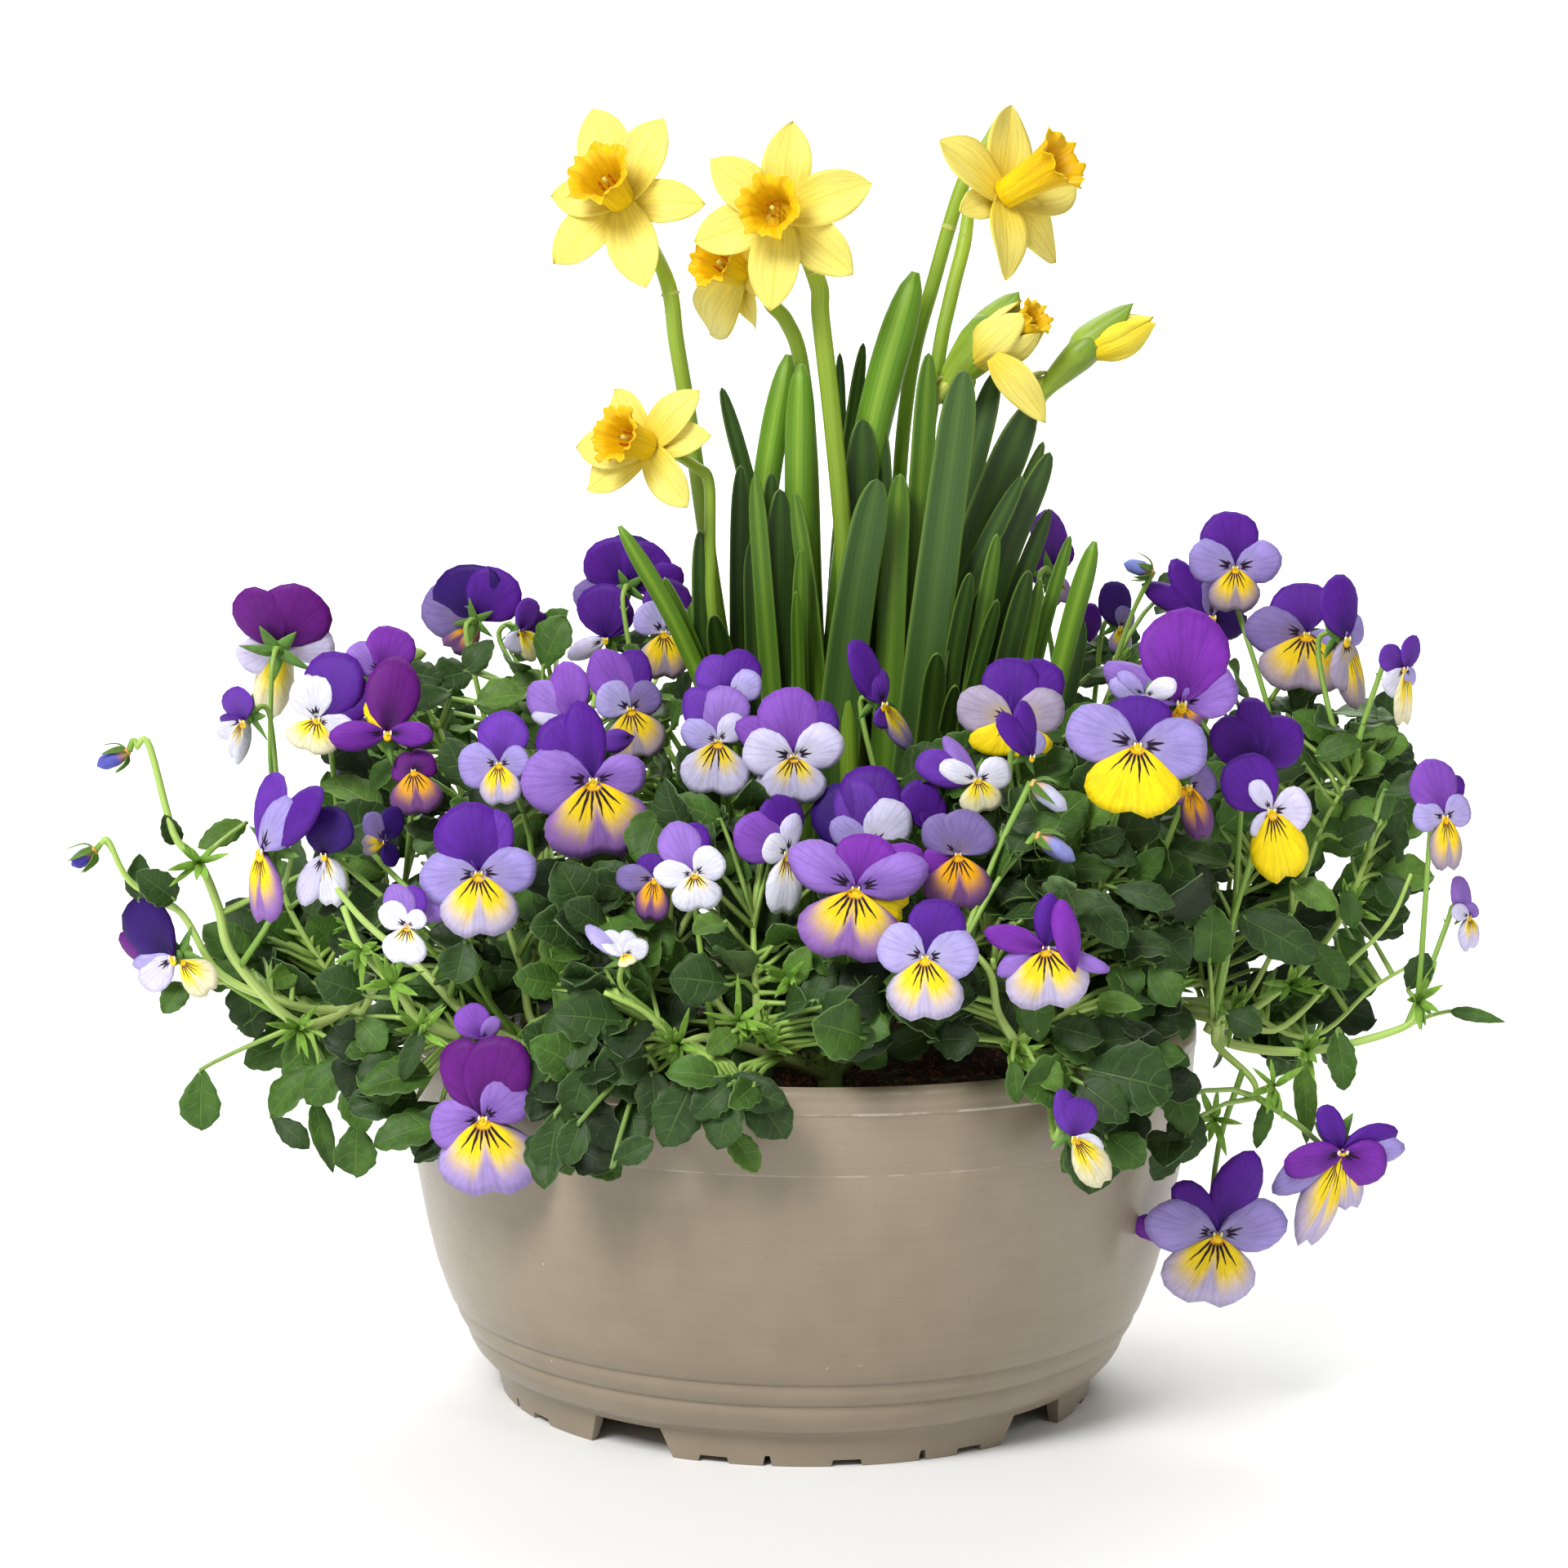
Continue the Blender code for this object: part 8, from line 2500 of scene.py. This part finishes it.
    def front_filler(self, outline: Array, draw: Draw) -> Filler | None:
        """A leaf on the side that the picture shows, within the mass's outline there."""
        u = draw.uniform(*self.mass_span)
        top, foot_v = (float(np.interp(u, outline[:, 0], outline[:, k])) for k in (1, 2))
        v = top + (foot_v - top) * draw.random() ** 0.9
        depth = -130.0
        for _ in range(2):
            x, _, z = VIEW.at(u, v, depth) / MM
            reach = self.mound(z)
            depth = -math.sqrt(reach ** 2 - x ** 2) if abs(x) < reach - 6 else draw.uniform(-45, 30)
        sunk = draw.triangular(*self.sunk) if z > self.sunk_above else draw.uniform(-3, 3)
        depth = max(depth + sunk, self.thicket.behind(u, v, (depth + sunk) * MM, 12) / MM)
        foot = VIEW.at(u, v, depth)
        high = min(max((foot[2] / MM - self.light_from) / self.light_span, 0), 1)
        outward = unit(vec(foot[0], foot[1], 0))
        way = unit(outward * draw.uniform(0.0, 0.7) + vec(draw.uniform(-1, 1), 0, 0)
                   + UP * draw.uniform(-1.1 + high * 0.6, 0.2 + high * 0.9))
        tip = foot + way * draw.uniform(*self.long_leaf) * MM
        facing = unit(outward * 0.35 + UP * draw.uniform(0.1, 0.9)
                      + vec(draw.uniform(-0.5, 0.5), draw.uniform(-1.0, -0.4), 0))
        side = max(0.0, (420 - u) / 100, (u - 1500) / 160)
        if draw.random() < side * 0.45:
            return None
        # Painted light and shade: a leaf is painted lighter the higher (high) and the farther to the side it
        # stands, and darker the deeper it is sunk into the mass.
        light = draw.random() * 0.85 + high * 0.30 + min(side, 1) * 0.18 + 0.10 - sunk * 0.012
        return Filler(foot, tip, facing, light)

    def loose_filler(self, edge: Array, draw: Draw) -> Filler:
        """A smaller leaf above the mass, between the stalks of the rear blooms."""
        u = draw.uniform(edge[0, 0], edge[-1, 0])
        top, low = (float(np.interp(u, edge[:, 0], edge[:, k])) for k in (1, 2))
        v, depth = draw.uniform(top, low), draw.uniform(*self.loose_depth)
        foot = VIEW.at(u, v, max(depth, self.thicket.behind(u, v, depth * MM, 8) / MM))
        way = unit(vec(draw.uniform(-1, 1), draw.uniform(-0.8, 0.3), draw.uniform(-0.3, 1.0)))
        facing = unit(vec(draw.uniform(-0.7, 0.7), -0.6, draw.uniform(0.3, 1.0)))
        tip = foot + way * draw.uniform(*self.loose_leaf) * MM
        return Filler(foot, tip, facing, 0.35 + draw.random() * 0.75)

    def round_filler(self, plant: str, draw: Draw) -> Filler | None:
        """A leaf on any side of the mass, over one plant."""
        around = math.radians(CROWN_ANGLES[plant] + draw.uniform(-46, 46) * (1.3 if plant == "back" else 1))
        height = draw.uniform(*self.round_height)
        radius = min(self.mound(height) - draw.triangular(0, 60, 6), self.round_reach)
        if plant in WIDE_PLANTS:
            radius += draw.uniform(0, 24)
        outward = heading(around)
        foot = outward * radius * MM + UP * height * MM
        swing = vec(-outward[1], outward[0], 0) * draw.uniform(-0.9, 0.9)
        way = unit(outward * draw.uniform(0.2, 1.0) + swing + UP * draw.uniform(-0.7, 0.6))
        tip = foot + way * draw.uniform(*self.long_leaf) * MM
        if tip[1] > self.rearmost * MM:
            return None
        # Painted light: higher leaves take lighter colours.
        return Filler(foot, tip, unit(outward * 0.7 + UP * 0.8 + swing * 0.3),
                      draw.random() * 0.8 + (height - self.round_height[0]) / 250)

    def low_filler(self, draw: Draw) -> Filler:
        """A leaf close over the soil between the daffodils and the crowns."""
        outward = heading(draw.uniform(0, 2 * math.pi))
        foot = outward * draw.uniform(*self.low_out) * MM + UP * draw.uniform(*self.low_up) * MM
        swing = vec(-outward[1], outward[0], 0) * draw.uniform(-1.2, 1.2)
        way = unit(outward * draw.uniform(-0.8, 0.8) + swing + UP * draw.uniform(-0.1, 0.5))
        facing = unit(UP + outward * draw.uniform(-0.3, 0.6))
        # Painted shade: these low leaves over the soil take darker colours.
        return Filler(foot, foot + way * draw.uniform(*self.low_leaf) * MM, facing, draw.random() * 0.75)

    def fill_all(self, draw: Draw) -> None:
        """The close leaves: those in front, the loose ones above them, those all round and the low ones."""
        outline = np.array(MASS, dtype=float)
        front = [plant for plant in CROWN_ANGLES if plant != "back"]
        self.fill("front", self.front_leaves, front, draw, lambda: self.front_filler(outline, draw))
        for spots, plants in zip(LOOSE, (("left", "back"), ("right", "back"))):
            edge = np.array(spots, dtype=float)
            self.fill(f"above {plants[0]}", self.loose_leaves, plants, draw,
                      lambda: self.loose_filler(edge, draw))
        for plant in CROWN_ANGLES:
            wanted = self.round_leaves * (3 if plant == "back" else 1)
            self.fill(f"round {plant}", wanted, [plant], draw, lambda: self.round_filler(plant, draw))
        self.fill("low", self.low_leaves, list(CROWN_ANGLES), draw, lambda: self.low_filler(draw))

    def add_fringe(self, pile: Pile, place: Array, out: Array, size: float, draw: Draw) -> None:
        """Adds fringed stipules: narrow lobes fanned about one point."""
        side = unit(np.cross(out, (0.1, 0.2, 1)))
        up = np.cross(side, out)
        for k in range(11):
            a = draw.uniform(0, 2 * math.pi)
            tilt = draw.uniform(0.3, 1.25)
            way = unit(out * math.cos(tilt) + (side * math.cos(a) + up * math.sin(a)) * math.sin(tilt))
            length = size * draw.uniform(0.55, 1.1) * MM
            curve = out * length * draw.uniform(0.05, 0.3)
            path = [place - way * 0.6 * MM, place + way * length * 0.55 + curve * 0.5,
                    place + way * length + curve]
            add_blade(pile, path, draw.uniform(1.5, 2.6) * MM, out + way * 0.1,
                      Blade(lance_outline, 2, 4, 0.3, 0.3), LEAF_SLOT, FRINGE, None, k)

    def grow_fringes(self, draw: Draw) -> None:
        """Stipules at the joints of the shoots."""
        for plant, u, v, depth in FRINGES:
            place = VIEW.at(u, v, depth)
            self.add_fringe(self.piles[plant], place, unit(vec(0, -1, 0.25)), 14, draw)
        for plant, points in self.roots.items():
            for place in points[5::9]:
                outward = unit(vec(place[0], place[1], 0.02))
                if self.thicket.clear([place, place + outward * 6 * MM]) and not \
                        self.thicket.hides(np.array((place, place + outward * 8 * MM))):
                    self.add_fringe(self.piles[plant], place, outward, draw.uniform(7, 10), draw)

    def build(self) -> None:
        """Every plant's foliage, a piece for each node."""
        draw = Draw(self.seed)
        self.grow_shoots()
        self.grow_sprigs(draw)
        self.grow_stalks(draw)
        self.grow_buds(draw)
        self.grow_leaves(draw)
        self.grow_fringes(draw)
        self.fill_all(draw)
        for plant, pile in self.piles.items():
            kinds = [self.finishes.stem, self.finishes.leaf, self.finishes.petal]
            settle(pile.build(f"foliage_{plant}", kinds), f"pansy_leaves_{plant}")


# Floor, backdrop and lights


@dataclass
class Studio:
    """A pale floor that sweeps up into a backdrop, and soft lights."""

    front: float = 4.0
    depth: float = 3.0
    width: float = 12.0
    wall: float = 5.0
    bend: float = 0.9
    floor_colour: Colour = (0.93, 0.93, 0.93)
    glow: float = 0.27

    def build_floor(self) -> None:
        """The floor and its sweep."""
        start_modelling()
        bpy.ops.mesh.primitive_grid_add(x_subdivisions=2, y_subdivisions=40, size=2)
        floor = bpy.context.object
        floor.name = "floor"
        flat = self.depth + self.front
        arc = self.bend * math.pi / 2
        whole = flat + arc + self.wall
        for vertex in floor.data.vertices:
            along = (vertex.co.y + 1) / 2 * whole
            x = vertex.co.x * self.width / 2
            if along < flat:
                spot = (x, along - self.front, 0)
            elif along < flat + arc:
                a = (along - flat) / self.bend
                spot = (x, self.depth + self.bend * math.sin(a), self.bend * (1 - math.cos(a)))
            else:
                spot = (x, self.depth + self.bend, self.bend + along - flat - arc)
            vertex.co = spot
        material = bpy.data.materials.new("Studio floor")
        material.use_nodes = True
        shader = material.node_tree.nodes["Principled BSDF"]
        shader.inputs["Base Color"].default_value = (*self.floor_colour, 1)
        shader.inputs["Roughness"].default_value = 0.9
        shader.inputs["Specular IOR Level"].default_value = 0.1
        floor.data.materials.append(material)
        floor.data.shade_smooth()

    def add_light(self, name: str, place: Triple, size: float, power: float,
                  target: Triple = (0, 0, 0.18)) -> None:
        """A square area light that looks at the planter, or at another target."""
        data = bpy.data.lights.new(name, "AREA")
        data.shape = "SQUARE"
        data.size = size
        data.energy = power
        light = bpy.data.objects.new(name, data)
        aim = Vector(target) - Vector(place)
        light.matrix_world = Matrix.Translation(place) @ aim.to_track_quat("-Z", "Y").to_matrix().to_4x4()
        bpy.context.scene.collection.objects.link(light)

    def build(self) -> None:
        """The floor, the lights and the pale surroundings."""
        self.build_floor()
        self.add_light("key", (-1.1, -1.85, 2.0), 1.0, 80)
        self.add_light("fill", (1.1, -1.5, 1.5), 0.35, 4)
        self.add_light("back", (0.5, 1.6, 2.2), 1.4, 16)
        self.add_light("backdrop", (0, 2.5, 2.6), 3.0, 122, (0, 2.9, 0))
        world = bpy.data.worlds.new("Surroundings")
        world.use_nodes = True
        around = world.node_tree.nodes["Background"].inputs
        around["Color"].default_value = (1, 1, 1, 1)
        around["Strength"].default_value = self.glow
        bpy.context.scene.world = world
        bpy.context.scene.view_settings.view_transform = "Standard"


def main() -> None:
    """Builds the planter's looks in order."""
    logging.basicConfig(level=logging.INFO, format="%(name)s: %(message)s")
    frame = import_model()
    VIEW.add_camera()
    finishes = Finishes()
    Bowl().build(finishes)
    Soil().build(finishes)
    Daffodils(finishes).build()
    Pansies(finishes).build()
    Foliage(finishes, Thicket(frame["nodes"])).build()
    Studio().build()
    start_modelling()


if __name__ == "__main__":
    main()
